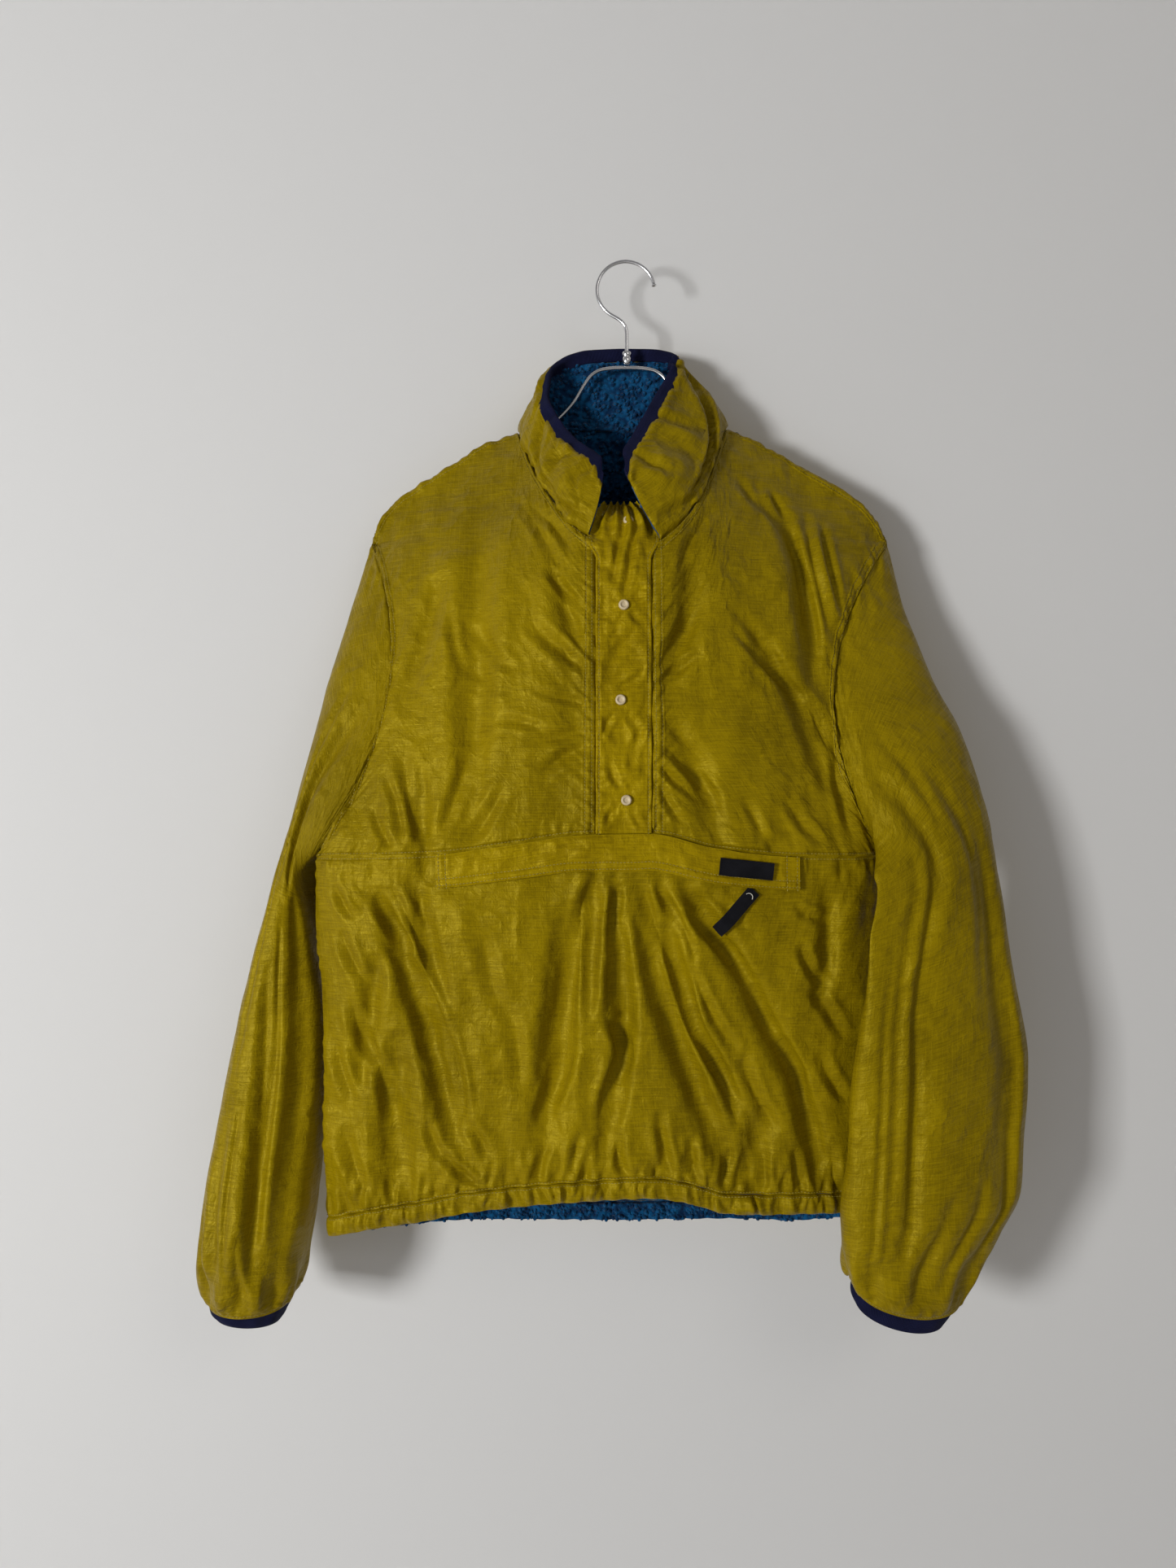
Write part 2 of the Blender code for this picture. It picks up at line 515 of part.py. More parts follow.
def armhole(table, front=True):
    """The armhole's points, from the shoulder to the underarm, as (x, y, z)."""
    turn = np.linspace(0.0, math.pi, ARMHOLE_ROWS + 1)
    if not front:
        turn = 2 * math.pi - turn
    return sleeve_ring(table, 0.0, turn)


def edge_fractions(count, both):
    """Places across a panel, closer together toward its side seam (or both of them)."""
    place = np.linspace(0.0, 1.0, count + 1)
    curved = (1 - np.cos(np.pi * place)) / 2 if both else 1 - np.cos(np.pi * place / 2)
    return (curved + place) / 2


# ---------------------------------------------------------------- the sleeves' form
def sleeve_value(table, name, place):
    rows = np.linspace(0.0, 1.0, len(table))
    return smooth(place, rows, column(table, SLEEVE_COLUMNS, name))


def sleeve_ring(table, place, turn):
    """Points of a ring at a place along the sleeve, at angles from its outer fold (0) over its front."""
    value = {name: sleeve_value(table, name, place) for name in SLEEVE_COLUMNS}
    outer = np.array([value["outer_x"], value["outer_y"], value["outer_z"]])
    inner = np.array([value["inner_x"], value["inner_y"], value["inner_z"]])
    ring = (outer + inner) / 2 + (outer - inner) / 2 * np.cos(turn)[:, None]
    swing = np.sin(turn)
    inward = 1.0 if table[0][0] < 0 else -1.0
    front = np.maximum(swing, 0.0)
    back = np.maximum(-swing, 0.0)
    ring[:, 0] += inward * (value["bow_front"] * front ** 2 + value["bow_back"] * back ** 2)
    roundness = 1.0 - 0.1 * ease(place * 6)
    ring[:, 1] += value["back"] * back ** roundness - value["front"] * front ** roundness
    over = 1.0 if value["tuck"] > 0 else -1.0
    spread = (turn - math.pi + over * TUCK_PLACE) / TUCK_WIDTH
    amount = abs(value["tuck"]) * np.exp(-spread * spread)
    return ring + amount[:, None] * np.array((inward, -0.35 * over, -0.2))


def sleeve_axis(table, places):
    """Middle of each ring."""
    centres = [sleeve_ring(table, place, np.linspace(0, 2 * np.pi, 13)[:-1]).mean(axis=0) for place in places]
    return np.array(centres)[:, None, :]


def sleeve_relief(place, turn, folds):
    """How far the folds and the end's gathers push the sleeve in."""
    relief = np.zeros(turn.shape)
    for s0, turn0, s1, turn1, s2, turn2, half_width, depth in folds:
        if not s0 < place < s2:
            continue
        centre = math.radians(float(smooth(place, (s0, s1, s2), (turn0, turn1, turn2))))
        q = (np.mod(turn - centre + np.pi, 2 * np.pi) - np.pi) * 0.055 / half_width
        fade = math.sin(math.pi * (place - s0) / (s2 - s0)) ** 0.7
        relief += depth * fade * np.exp(-q * q) * (1 - 0.55 * q * q)
    gather = float(ease((place - 0.82) / 0.10) * (1 - ease((place - 0.95) / 0.05)))
    return relief + 0.003 * gather * np.cos(CUFF_GATHERS * turn + 0.6)


def make_sleeve(name, table, folds):
    places = np.linspace(0.0, 1.0, SLEEVE_RINGS + 1)
    turn = np.linspace(0.0, 2 * math.pi, RING_POINTS + 1)[:-1]
    grid = np.array([sleeve_ring(table, place, turn) for place in places])
    axis = np.broadcast_to(sleeve_axis(table, places), grid.shape)
    direction = grid_directions(grid, True, axis)
    relief = np.array([sleeve_relief(place, turn, folds) for place in places])
    grid = grid + direction * relief[..., None]
    outward = -1.0 if table[0][0] < 0 else 1.0
    seams = {"top": (-outward, 0.0, 0.0), "bottom": (0.0, 0.0, -1.0)}
    direction, face = seamed(grid, axis, seams, closed=True)
    tight = np.outer(ease(1.2 - places / 0.6), np.maximum(-np.cos(turn), 0.0) ** 3)
    depth = WALL - (WALL - UNDERARM_WALL) * tight[..., None]
    wall(name, face, face + direction * depth, "mustard nylon", closed=True)


def make_cuff(name, table, dip):
    turn = np.linspace(0.0, 2 * math.pi, RING_POINTS + 1)[:-1]
    places = np.linspace(0.0, 1.0, 3)
    grid = []
    for place in places:
        ring = sleeve_ring(table, place, turn)
        ring[:, 2] -= dip * place * np.sin(turn)
        grid.append(ring)
    grid = np.array(grid)
    axis = np.broadcast_to(sleeve_axis(table, places), grid.shape)
    thicken(name, grid, WALL, "navy knit", axis, {"top": (0.0, 0.0, 1.0)}, closed=True)


# ---------------------------------------------------------------- panels of the body
def side_z(hem_z):
    """Heights down a side seam, from the underarm to the top of the casing."""
    return np.linspace(-0.575, hem_z + CASING, SKIRT_ROWS + 1)


def side_seam(hand, hem_z):
    """The side seam's points (x, z) and its depth."""
    z = side_z(hem_z)
    x, y = side_line(hand, z, 1)
    return np.column_stack((x, z)), y


def top_seam(count, side):
    """Directions across a panel's upper border: the other sheet at a shoulder, the collar at the neck."""
    across = np.tile((0.0, 0.0, 1.0), (count, 1))
    across[:SHOULDER_COLUMNS + 1] = (0.0, -side, 0.0)
    if side > 0:
        across[-SHOULDER_COLUMNS - 1:] = (0.0, -side, 0.0)
    return across


def make_front(name, sleeve, shoulder, neck, seam_x, edge_x):
    """One upper front, from the armhole to the placket and from the shoulder to the pocket seam."""
    hole = armhole(sleeve)
    line = along(shoulder, SHOULDER_COLUMNS)
    throat = along(neck, FRONT_NECK_COLUMNS)
    top = np.concatenate((line, throat[1:], ((edge_x, neck[-1][1] - 0.003),)))
    columns = len(top) - 1
    x = hole[-1, 0] + (edge_x - hole[-1, 0]) * edge_fractions(columns, False)
    bottom = np.column_stack((x, table_z(x, POCKET_SEAM)))
    placket = np.linspace(top[-1], bottom[-1], ARMHOLE_ROWS + 1)
    outer = sheet(hole[:, ::2], placket, top, bottom, -1)
    outer[:, 0] = hole
    outer[0, :SHOULDER_COLUMNS + 1, 1] = RIDGE_Y
    seams = {"first": (seam_x, 0.0, 0.0), "top": top_seam(len(top), -1), "bottom": (0.0, 0.0, -1.0),
             "last": (-seam_x, 0.0, 0.0)}
    direction, face = seamed(outer, body_axis(outer), seams)
    lining = face + direction * WALL
    lining[..., 1] = np.minimum(lining[..., 1], RIDGE_Y - SEAM_GAP / 2)
    wall(name, face, lining, "mustard nylon")
    return bottom


def make_placket():
    """The snap placket, raised on the fronts, with its top end curled in."""
    knots = [row[0] for row in PLACKET]
    z = np.concatenate((np.linspace(knots[0], -0.300, 6), np.linspace(-0.300, knots[-1], 17)[1:]))
    left = smooth(z, knots, [row[1] for row in PLACKET])
    right = smooth(z, knots, [row[2] for row in PLACKET])
    s = np.linspace(0.0, 1.0, PLACKET_COLUMNS + 1)
    x = left[:, None] + (right - left)[:, None] * s
    bottom = table_z(x, POCKET_SEAM)
    height = z[:, None] + (bottom - knots[-1]) * ease((-0.30 - z[:, None]) / 0.25)
    y = placket_depth(x, height)
    outer = np.stack((x, y, height), axis=-1)
    thicken("placket", outer, WALL, "mustard nylon", body_axis(outer),
            {"first": (-1.0, 0.0, 0.0), "last": (1.0, 0.0, 0.0), "bottom": (0.0, 0.0, -1.0)})


def placket_depth(x, z):
    """Depth of the placket's face: the fronts' own form, raised, with its crumples."""
    crumple = 0.0014 * np.sin(105 * z + 60 * x) * np.cos(70 * x + 38 * z)
    curl = 0.012 * ease((z + 0.262) / 0.014) ** 2
    return body_depth(x, z, -1) - PLACKET_RAISE + crumple + curl


def make_lower_front(left_bottom, right_bottom):
    """The front below the pocket seam, down to the top of the casing."""
    placket_x = np.linspace(PLACKET_LEFT, PLACKET_RIGHT, PLACKET_COLUMNS + 1)
    x = np.concatenate((left_bottom[:, 0], placket_x[1:-1], right_bottom[::-1, 0]))
    top = np.column_stack((x, table_z(x, POCKET_SEAM)))
    share = (x - x[0]) / (x[-1] - x[0])
    left, left_y = side_seam("left", HEM_FRONT[0][1])
    right, right_y = side_seam("right", HEM_FRONT[-1][1])
    low_x = left[-1, 0] + (right[-1, 0] - left[-1, 0]) * share
    bottom = np.column_stack((low_x, table_z(low_x, HEM_FRONT) + CASING))
    outer = sheet(left, right, top, bottom, -1)
    hem = table_z(outer[..., 0], HEM_FRONT)
    place = np.abs(2 * share - 1)[None, :]
    outer[..., 1] -= hem_ripple(outer[..., 0], outer[..., 2], hem) * (1 - place ** 8)
    outer[:, 0, 1] = left_y
    outer[:, -1, 1] = right_y
    thicken("lower_front", outer, WALL, "mustard nylon", body_axis(outer),
            {"first": (0.0, 1.0, 0.0), "last": (0.0, 1.0, 0.0), "top": (0.0, 0.0, 1.0),
             "bottom": (0.0, 0.0, -1.0)})
    return bottom


def make_band(name, seam, hem, side):
    """The gathered elastic casing along the front or the back hem, hung from the panel's lower border."""
    columns = (len(seam) - 1) * BAND_SPLIT
    place = np.linspace(0, len(seam) - 1, columns + 1)
    top = np.column_stack([np.interp(place, np.arange(len(seam)), seam[:, k]) for k in (0, 1)])
    share = (top[:, 0] - top[0, 0]) / (top[-1, 0] - top[0, 0])
    low_left, left_y = side_line("left", np.array([top[0, 1], hem[0][1]]), side)
    low_right, right_y = side_line("right", np.array([top[-1, 1], hem[-1][1]]), side)
    low_x = low_left[1] + (low_right[1] - low_left[1]) * share
    bottom = np.column_stack((low_x, table_z(low_x, hem)))
    fade = 1 - np.abs(2 * share - 1) ** 8
    rows = []
    for t in np.linspace(0.0, 1.0, BAND_ROWS + 1):
        x, z = (top + (bottom - top) * t).T
        y = body_depth(x, z, side)
        y += side * (hem_ripple(x, z, z - CASING * t) + 0.0015 * math.sin(math.pi * t)) * fade
        y[0] = left_y[0] + (left_y[1] - left_y[0]) * t
        y[-1] = right_y[0] + (right_y[1] - right_y[0]) * t
        rows.append(np.column_stack((x, y, z)))
    outer = np.array(rows)
    depth = WALL if side < 0 else FACE
    thicken(name, outer, depth, "mustard nylon", body_axis(outer),
            {"first": (0.0, -side, 0.0), "last": (0.0, -side, 0.0), "top": (0.0, 0.0, 1.0)})
    return outer


def make_back():
    """The back, from the shoulders and the neck to the top of the casing, and its fleece at the neck.

    Returns the points (x, z) of its lower border, where the casing starts.
    """
    left_hole = armhole(SLEEVE_LEFT, front=False)
    right_hole = armhole(SLEEVE_RIGHT, front=False)
    left_line = along(SHOULDER_LEFT, SHOULDER_COLUMNS)
    right_line = along(SHOULDER_RIGHT, SHOULDER_COLUMNS)
    neck = along(NECK_BACK, BACK_NECK_COLUMNS)
    top = np.concatenate((left_line, neck[1:-1], right_line[::-1]))
    columns = len(top) - 1
    share = edge_fractions(columns, True)
    waist_x = left_hole[-1, 0] + (right_hole[-1, 0] - left_hole[-1, 0]) * share
    waist = np.column_stack((waist_x, np.full(columns + 1, left_hole[-1, 2])))
    upper = sheet(left_hole[:, ::2], right_hole[:, ::2], top, waist, 1)
    upper[:, 0] = left_hole
    upper[:, -1] = right_hole
    upper[0, :SHOULDER_COLUMNS + 1, 1] = RIDGE_Y
    upper[0, -SHOULDER_COLUMNS - 1:, 1] = RIDGE_Y
    left, left_y = side_seam("left", HEM_BACK[0][1])
    right, right_y = side_seam("right", HEM_BACK[-1][1])
    low_x = left[-1, 0] + (right[-1, 0] - left[-1, 0]) * share
    bottom = np.column_stack((low_x, table_z(low_x, HEM_BACK) + CASING))
    lower = sheet(left, right, waist, bottom, 1)
    hem = table_z(lower[..., 0], HEM_BACK)
    place = np.abs(2 * share - 1)[None, :]
    lower[..., 1] += hem_ripple(lower[..., 0], lower[..., 2], hem) * (1 - place ** 8)
    lower[:, 0, 1] = left_y
    lower[:, -1, 1] = right_y
    outer = np.concatenate((upper, lower[1:]))
    sides = np.tile((0.0, -1.0, 0.0), (len(outer), 1))
    sides[:ARMHOLE_ROWS] = (1.0, 0.0, 0.0)
    seams = {"first": sides * (-1.0, 1.0, 1.0), "last": sides, "top": top_seam(len(top), 1),
             "bottom": (0.0, 0.0, -1.0)}
    direction, face = seamed(outer, body_axis(outer), seams)
    lining = face + direction * FACE
    ridge = np.minimum(face[:RIDGE_ROWS, :, 1], RIDGE_Y + SEAM_GAP / 2)
    lining[:RIDGE_ROWS, :, 1] = np.maximum(lining[:RIDGE_ROWS, :, 1], ridge)
    wall("back", face, lining, "mustard nylon")
    throat = np.s_[0:5, SHOULDER_COLUMNS:SHOULDER_COLUMNS + BACK_NECK_COLUMNS + 1]
    start = (face + direction * (FACE + SEAM_GAP))[throat]
    end = (face + direction * (FACE + SEAM_GAP + PILE))[throat]
    wall("lining_back_neck", start, end, "blue fleece")
    return bottom


def make_hem_lining(band):
    """The fleece inside the back casing, seen below the front hem."""
    inside = band[:, HEM_LINING_MARGIN:-HEM_LINING_MARGIN]
    direction, face = seamed(inside, body_axis(inside), {"top": (0.0, 0.0, 1.0)})
    start = face + direction * (FACE + SEAM_GAP)
    end = face + direction * (FACE + SEAM_GAP + PILE)
    wall("lining_back_hem", start, end, "blue fleece")


# ---------------------------------------------------------------- collar
def collar_grid():
    """Rows from the neck seam up to the collar's edge, columns from its left to its right front edge.

    The last row but one is where the binding starts.
    """
    left = along(NECK_LEFT, FRONT_NECK_COLUMNS)[::-1]
    back = along(NECK_BACK, BACK_NECK_COLUMNS)
    right = along(NECK_RIGHT, FRONT_NECK_COLUMNS)
    seam = np.concatenate((left, back[1:-1], right))
    y = np.concatenate((body_depth(left[:, 0], left[:, 1], -1),
                        body_depth(back[1:-1, 0], back[1:-1, 1], 1),
                        body_depth(right[:, 0], right[:, 1], -1)))
    y[FRONT_NECK_COLUMNS] = RIDGE_Y
    y[-FRONT_NECK_COLUMNS - 1] = RIDGE_Y
    foot = np.column_stack((seam[:, 0], y, seam[:, 1] + 2.5 * SEAM_GAP))
    steps = np.linalg.norm(np.diff(foot, axis=0), axis=1)
    station = np.concatenate(([0.0], np.cumsum(steps))) / steps.sum()
    knots = column(COLLAR_TOP, COLLAR_COLUMNS, "station")
    edge = np.column_stack([smooth(station, knots, column(COLLAR_TOP, COLLAR_COLUMNS, name))
                            for name in ("x", "y", "z")])
    bulge = smooth(station, knots, column(COLLAR_TOP, COLLAR_COLUMNS, "bulge"))
    centre = np.array((-0.006, -0.030, 0.0))
    out = (foot + edge) / 2 - centre
    out[:, 2] = 0.0
    out /= np.linalg.norm(out, axis=1, keepdims=True)
    binding = 1 - BINDING_HEIGHT / np.linalg.norm(edge - foot, axis=1)
    shares = [binding * k / (COLLAR_ROWS - 1) for k in range(COLLAR_ROWS)] + [np.ones(len(foot))]
    rows = []
    for share in shares:
        swell = bulge * np.sin(np.pi * share)
        rows.append(foot + (edge - foot) * share[:, None] + out * swell[:, None])
    return np.array(rows)


def make_collar():
    """The stand collar: its nylon, its fleece and the knit binding inside its upper edge."""
    outer = collar_grid()
    axis = outer.copy()
    axis[..., 0] = -0.006 + (outer[..., 0] + 0.006) * 0.2
    axis[..., 1] = -0.030 + (outer[..., 1] + 0.030) * 0.2
    direction = grid_directions(outer, False, axis)
    direction[0, :, 2] = np.maximum(direction[0, :, 2], -0.1)
    wall("collar", outer, outer + direction * FACE, "mustard nylon")
    near = outer + direction * (FACE + SEAM_GAP)
    far = outer + direction * (FACE + SEAM_GAP + PILE)
    rise = outer[-1] - outer[-2]
    rise /= np.linalg.norm(rise, axis=1, keepdims=True)
    fleece = near[:-1].copy(), far[:-1].copy()
    for grid in fleece:
        grid[-1] -= rise * SEAM_GAP
        grid[0, :, 2] += SEAM_GAP
    wall("collar_lining", fleece[0], fleece[1], "blue fleece")
    knit = (near + direction * SEAM_GAP)[-2:], (far + direction * SEAM_GAP)[-2:]
    for grid in knit:
        grid[0] += rise * SEAM_GAP
        grid[-1] += rise * BINDING_STAND
    wall("collar_binding", knit[0], knit[1], "navy knit")


# ---------------------------------------------------------------- trim on the front
def front_patch(name, x, z, lift, depth, material, extra=0.0):
    """A piece that lies on the front: the panel's points moved out by lift, depth thick."""
    y = body_depth(x, z, -1) - extra
    grid = np.stack((x, y, z), axis=-1)
    direction = grid_directions(grid, False, body_axis(grid))
    wall(name, grid - direction * (lift + depth), grid - direction * lift, material)


def make_flap():
    x = np.linspace(FLAP_LEFT, FLAP_RIGHT, 25)
    top = table_z(x, POCKET_SEAM) - 0.0010
    height = FLAP_HEIGHT * (1 - 0.10 * np.abs(2 * np.linspace(0, 1, len(x)) - 1))
    t = np.linspace(0.0, 1.0, 5)[:, None]
    z = top - height * t
    front_patch("pocket_flap", np.broadcast_to(x, z.shape), z, FLAP_LIFT, FLAP_WALL, "mustard nylon")


def make_label():
    u = np.linspace(-0.5, 0.5, 7)[None, :] * PATCH_SIZE[0]
    v = np.linspace(0.5, -0.5, 3)[:, None] * PATCH_SIZE[1]
    x = PATCH_CENTRE[0] + u * math.cos(PATCH_TURN) - v * math.sin(PATCH_TURN)
    z = PATCH_CENTRE[1] + u * math.sin(PATCH_TURN) + v * math.cos(PATCH_TURN)
    front_patch("label_patch", x, z, FLAP_LIFT + FLAP_WALL + 0.001, 0.0012, "black webbing")


def make_tab():
    start, end = np.array(TAB_TOP), np.array(TAB_END)
    down = (end - start) / np.linalg.norm(end - start)
    across = np.array((-down[1], down[0]))
    t = np.linspace(0.0, 1.0, 6)[:, None]
    side = np.array((-0.5, 0.0, 0.5))[None, :] * TAB_WIDTH
    x = start[0] + (end - start)[0] * t + across[0] * side
    z = start[1] + (end - start)[1] * t + across[1] * side
    front_patch("pull_tab", x, z, 0.0012, 0.0014, "black webbing", extra=0.004 * t ** 2)


def make_snap(name, x, z):
    """A ring snap: a low turned stud with a raised rim and a dished middle."""
    slope_x = (placket_depth(x + 0.003, z) - placket_depth(x - 0.003, z)) / 0.006
    slope_z = (placket_depth(x, z + 0.003) - placket_depth(x, z - 0.003)) / 0.006
    out = np.array((float(slope_x), -1.0, float(slope_z)))
    out /= np.linalg.norm(out)
    side = np.cross(out, (0.0, 0.0, 1.0))
    side /= np.linalg.norm(side)
    up = np.cross(side, out)
    base = np.array((x, float(placket_depth(x, z)), z)) + out * 0.0012
    profile = ((0.0, 0.0), (1.0, 0.0), (1.0, 0.55), (0.86, 1.0), (0.62, 1.0), (0.50, 0.60), (0.0, 0.60))
    bm = bmesh.new()
    verts = []
    for radius, height in profile:
        point = base + side * (radius * SNAP_RADIUS) + out * (height * SNAP_HEIGHT)
        verts.append(bm.verts.new(point))
    edges = [bm.edges.new(pair) for pair in zip(verts, verts[1:])]
    bmesh.ops.spin(bm, geom=verts + edges, cent=base, axis=out, angle=2 * math.pi, steps=12,
                   use_merge=True)
    bmesh.ops.remove_doubles(bm, verts=bm.verts, dist=0.00002)
    bmesh.ops.recalc_face_normals(bm, faces=bm.faces)
    mesh = bpy.data.meshes.new(name)
    bm.to_mesh(mesh)
    bm.free()
    mesh.shade_smooth()
    mesh.set_sharp_from_angle(angle=math.radians(40))
    mesh.materials.append(finish("cream enamel"))
    thing = bpy.data.objects.new(name, mesh)
    bpy.context.collection.objects.link(thing)


# ---------------------------------------------------------------- hanger
def make_wire(name, points, radius):
    """A round wire through points (x, z) in the plane y = 0."""
    points = np.array(points, float)
    tangent = np.gradient(points, axis=0)
    tangent /= np.linalg.norm(tangent, axis=1, keepdims=True)
    turns = np.linspace(0.0, 2 * math.pi, WIRE_SIDES + 1)[:-1]
    bm = bmesh.new()
    rings = []
    for (x, z), (run_x, run_z) in zip(points, tangent):
        ring = []
        for turn in turns:
            aside = radius * math.cos(turn)
            ring.append(bm.verts.new((x - run_z * aside, radius * math.sin(turn), z + run_x * aside)))
        rings.append(ring)
    for ring, following in zip(rings, rings[1:]):
        for k in range(WIRE_SIDES):
            n = (k + 1) % WIRE_SIDES
            bm.faces.new((ring[k], ring[n], following[n], following[k]))
    bm.faces.new(rings[0])
    bm.faces.new(rings[-1])
    bmesh.ops.recalc_face_normals(bm, faces=bm.faces)
    mesh = bpy.data.meshes.new(name)
    bm.to_mesh(mesh)
    bm.free()
    mesh.shade_smooth()
    mesh.set_sharp_from_angle(angle=math.radians(40))
    mesh.materials.append(finish("bright wire"))
    thing = bpy.data.objects.new(name, mesh)
    bpy.context.collection.objects.link(thing)


def make_hook():
    """The hook: an open ring of wire with a stem down to the ferrule."""
    x, z = HOOK_CENTRE
    arc = [(x + HOOK_RADIUS * math.cos(math.radians(a)), z + HOOK_RADIUS * math.sin(math.radians(a)))
           for a in range(12, 241, 15)]
    stem = along((arc[-1], (-0.0065, -0.0555), (-0.0010, -0.0625), (0.0, -0.070), (0.0, FERRULE_TOP + 0.0003)),
                 8)
    make_wire("hanger_hook", arc + [tuple(point) for point in stem[1:]], WIRE_RADIUS)


def make_ferrule():
    """The cone that joins the hook to the arms."""
    bm = bmesh.new()
    height = FERRULE_TOP - FERRULE_BOTTOM
    bmesh.ops.create_cone(bm, cap_ends=True, segments=20, radius1=0.0034, radius2=0.0045, depth=height)
    bmesh.ops.translate(bm, verts=bm.verts, vec=(0.0, 0.0, (FERRULE_TOP + FERRULE_BOTTOM) / 2))
    mesh = bpy.data.meshes.new("hanger_ferrule")
    bm.to_mesh(mesh)
    bm.free()
    mesh.shade_smooth()
    mesh.set_sharp_from_angle(angle=math.radians(40))
    mesh.materials.append(finish("bright wire"))
    thing = bpy.data.objects.new("hanger_ferrule", mesh)
    bpy.context.collection.objects.link(thing)


def make_arms():
    """One wire from tip to tip, under the ferrule and along both shoulders."""
    left = [tuple(point) for point in along(ARM[::-1], 20)]
    right = [(-x, z) for x, z in left[::-1]]
    make_wire("hanger_arms", left + right, WIRE_RADIUS)


# ---------------------------------------------------------------- the garment
def main():
    clear_scene()
    left_bottom = make_front("front_left", SLEEVE_LEFT, SHOULDER_LEFT, NECK_LEFT, -1.0, PLACKET_LEFT)
    right_bottom = make_front("front_right", SLEEVE_RIGHT, SHOULDER_RIGHT, NECK_RIGHT, 1.0, PLACKET_RIGHT)
    make_placket()
    front_hem = make_lower_front(left_bottom, right_bottom)
    make_band("hem_band_front", front_hem, HEM_FRONT, -1)
    back_hem = make_back()
    band = make_band("hem_band_back", back_hem, HEM_BACK, 1)
    make_hem_lining(band)
    make_sleeve("sleeve_left", SLEEVE_LEFT, SLEEVE_FOLDS_LEFT)
    make_sleeve("sleeve_right", SLEEVE_RIGHT, SLEEVE_FOLDS_RIGHT)
    make_cuff("cuff_left", CUFF_LEFT, CUFF_DIP["left"])
    make_cuff("cuff_right", CUFF_RIGHT, CUFF_DIP["right"])
    make_collar()
    make_flap()
    make_label()
    make_tab()
    for number, (x, z) in enumerate(SNAPS, start=1):
        make_snap("snap_%d" % number, x, z)
    make_hook()
    make_ferrule()
    make_arms()


main()
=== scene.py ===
"""Dressed model of a pullover with a nylon face and a pile lining, hung on a wire hanger.

Metres, +Z up.  The garment's front faces -Y and the wearer's right arm is at -X.  Each panel is a fine shell
of cloth on the same form as its solid, with its creases, seams and gathers, and rides on the row's one body.
"""
from __future__ import annotations

import logging
import math
from dataclasses import dataclass, field
from enum import Enum
from typing import Callable, Dict, List, Optional, Sequence, Tuple, Union

import bmesh
import bpy
import numpy as np
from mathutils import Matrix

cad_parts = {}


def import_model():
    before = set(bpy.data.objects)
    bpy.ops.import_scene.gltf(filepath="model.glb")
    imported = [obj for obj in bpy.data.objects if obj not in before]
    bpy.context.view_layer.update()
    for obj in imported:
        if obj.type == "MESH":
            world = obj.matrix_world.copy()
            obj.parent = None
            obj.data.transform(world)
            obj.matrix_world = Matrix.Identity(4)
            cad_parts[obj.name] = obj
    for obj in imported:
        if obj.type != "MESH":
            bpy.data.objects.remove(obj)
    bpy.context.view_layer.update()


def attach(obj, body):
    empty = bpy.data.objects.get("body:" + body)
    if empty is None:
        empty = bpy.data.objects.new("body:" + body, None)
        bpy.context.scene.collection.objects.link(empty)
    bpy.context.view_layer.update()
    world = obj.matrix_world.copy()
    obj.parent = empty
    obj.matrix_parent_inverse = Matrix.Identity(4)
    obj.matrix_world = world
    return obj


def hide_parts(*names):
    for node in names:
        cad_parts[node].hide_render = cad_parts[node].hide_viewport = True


Array = np.ndarray
Amount = Union[float, Array]
Table = Tuple[Tuple[float, ...], ...]
Colour = Tuple[float, float, float, float]
Spot = Tuple[float, float]
Tree = bpy.types.NodeTree
Node = bpy.types.Node
Socket = bpy.types.NodeSocket
Thing = bpy.types.Object

LOG = logging.getLogger("pullover")
BODY = "root"
IMAGE_HEIGHT = 1927
FOCAL_PIXELS = 1446.0
LINING_STEP = 4            # face points to each point of a lining


# ---------------------------------------------------------------- curves and noise
def mm(*rows: Sequence[float]) -> Table:
    """Turn rows of millimetres into metres; shares in them are given in thousandths."""
    return tuple(tuple(value / 1000 for value in row) for row in rows)


def ease(value: Array) -> Array:
    """Go smoothly from 0 to 1, and stay there outside that range."""
    value = np.clip(value, 0.0, 1.0)
    return value * value * (3 - 2 * value)


def curve_through(at: Array, knots: Sequence[float], values: Sequence[float]) -> Array:
    """Read a smooth curve that never overshoots its points.

    Args:
        at: places to read.
        knots: places of the given points, rising or falling.
        values: values there.

    Returns:
        The curve's values, held level beyond both ends.
    """
    at = np.asarray(at, float)
    knots = np.asarray(knots, float)
    values = np.asarray(values, float)
    if knots[0] > knots[-1]:
        knots, values = knots[::-1], values[::-1]
    step = np.diff(knots)
    slope = np.diff(values) / step
    tangent = np.concatenate(([slope[0]], np.zeros(len(slope) - 1), [slope[-1]]))
    same = slope[:-1] * slope[1:] > 0
    total = np.where(same, slope[:-1] + slope[1:], 1.0)
    tangent[1:-1] = np.where(same, 2 * slope[:-1] * slope[1:] / total, 0.0)
    at = np.clip(at, knots[0], knots[-1])
    k = np.clip(np.searchsorted(knots, at, side="right") - 1, 0, len(step) - 1)
    t = (at - knots[k]) / step[k]
    h = step[k]
    return (values[k] * (1 + 2 * t) * (1 - t) ** 2 + tangent[k] * h * t * (1 - t) ** 2
            + values[k + 1] * t * t * (3 - 2 * t) - tangent[k + 1] * h * t * t * (1 - t))


def spread_along(points: Table, places: Array) -> Array:
    """Points (x, z) at places from 0 to 1 along a smooth line through the given ones."""
    line = np.array(points, float)
    length = np.concatenate(([0.0], np.cumsum(np.hypot(*np.diff(line, axis=0).T))))
    at = np.asarray(places) * length[-1]
    return np.column_stack([curve_through(at, length, line[:, k]) for k in (0, 1)])


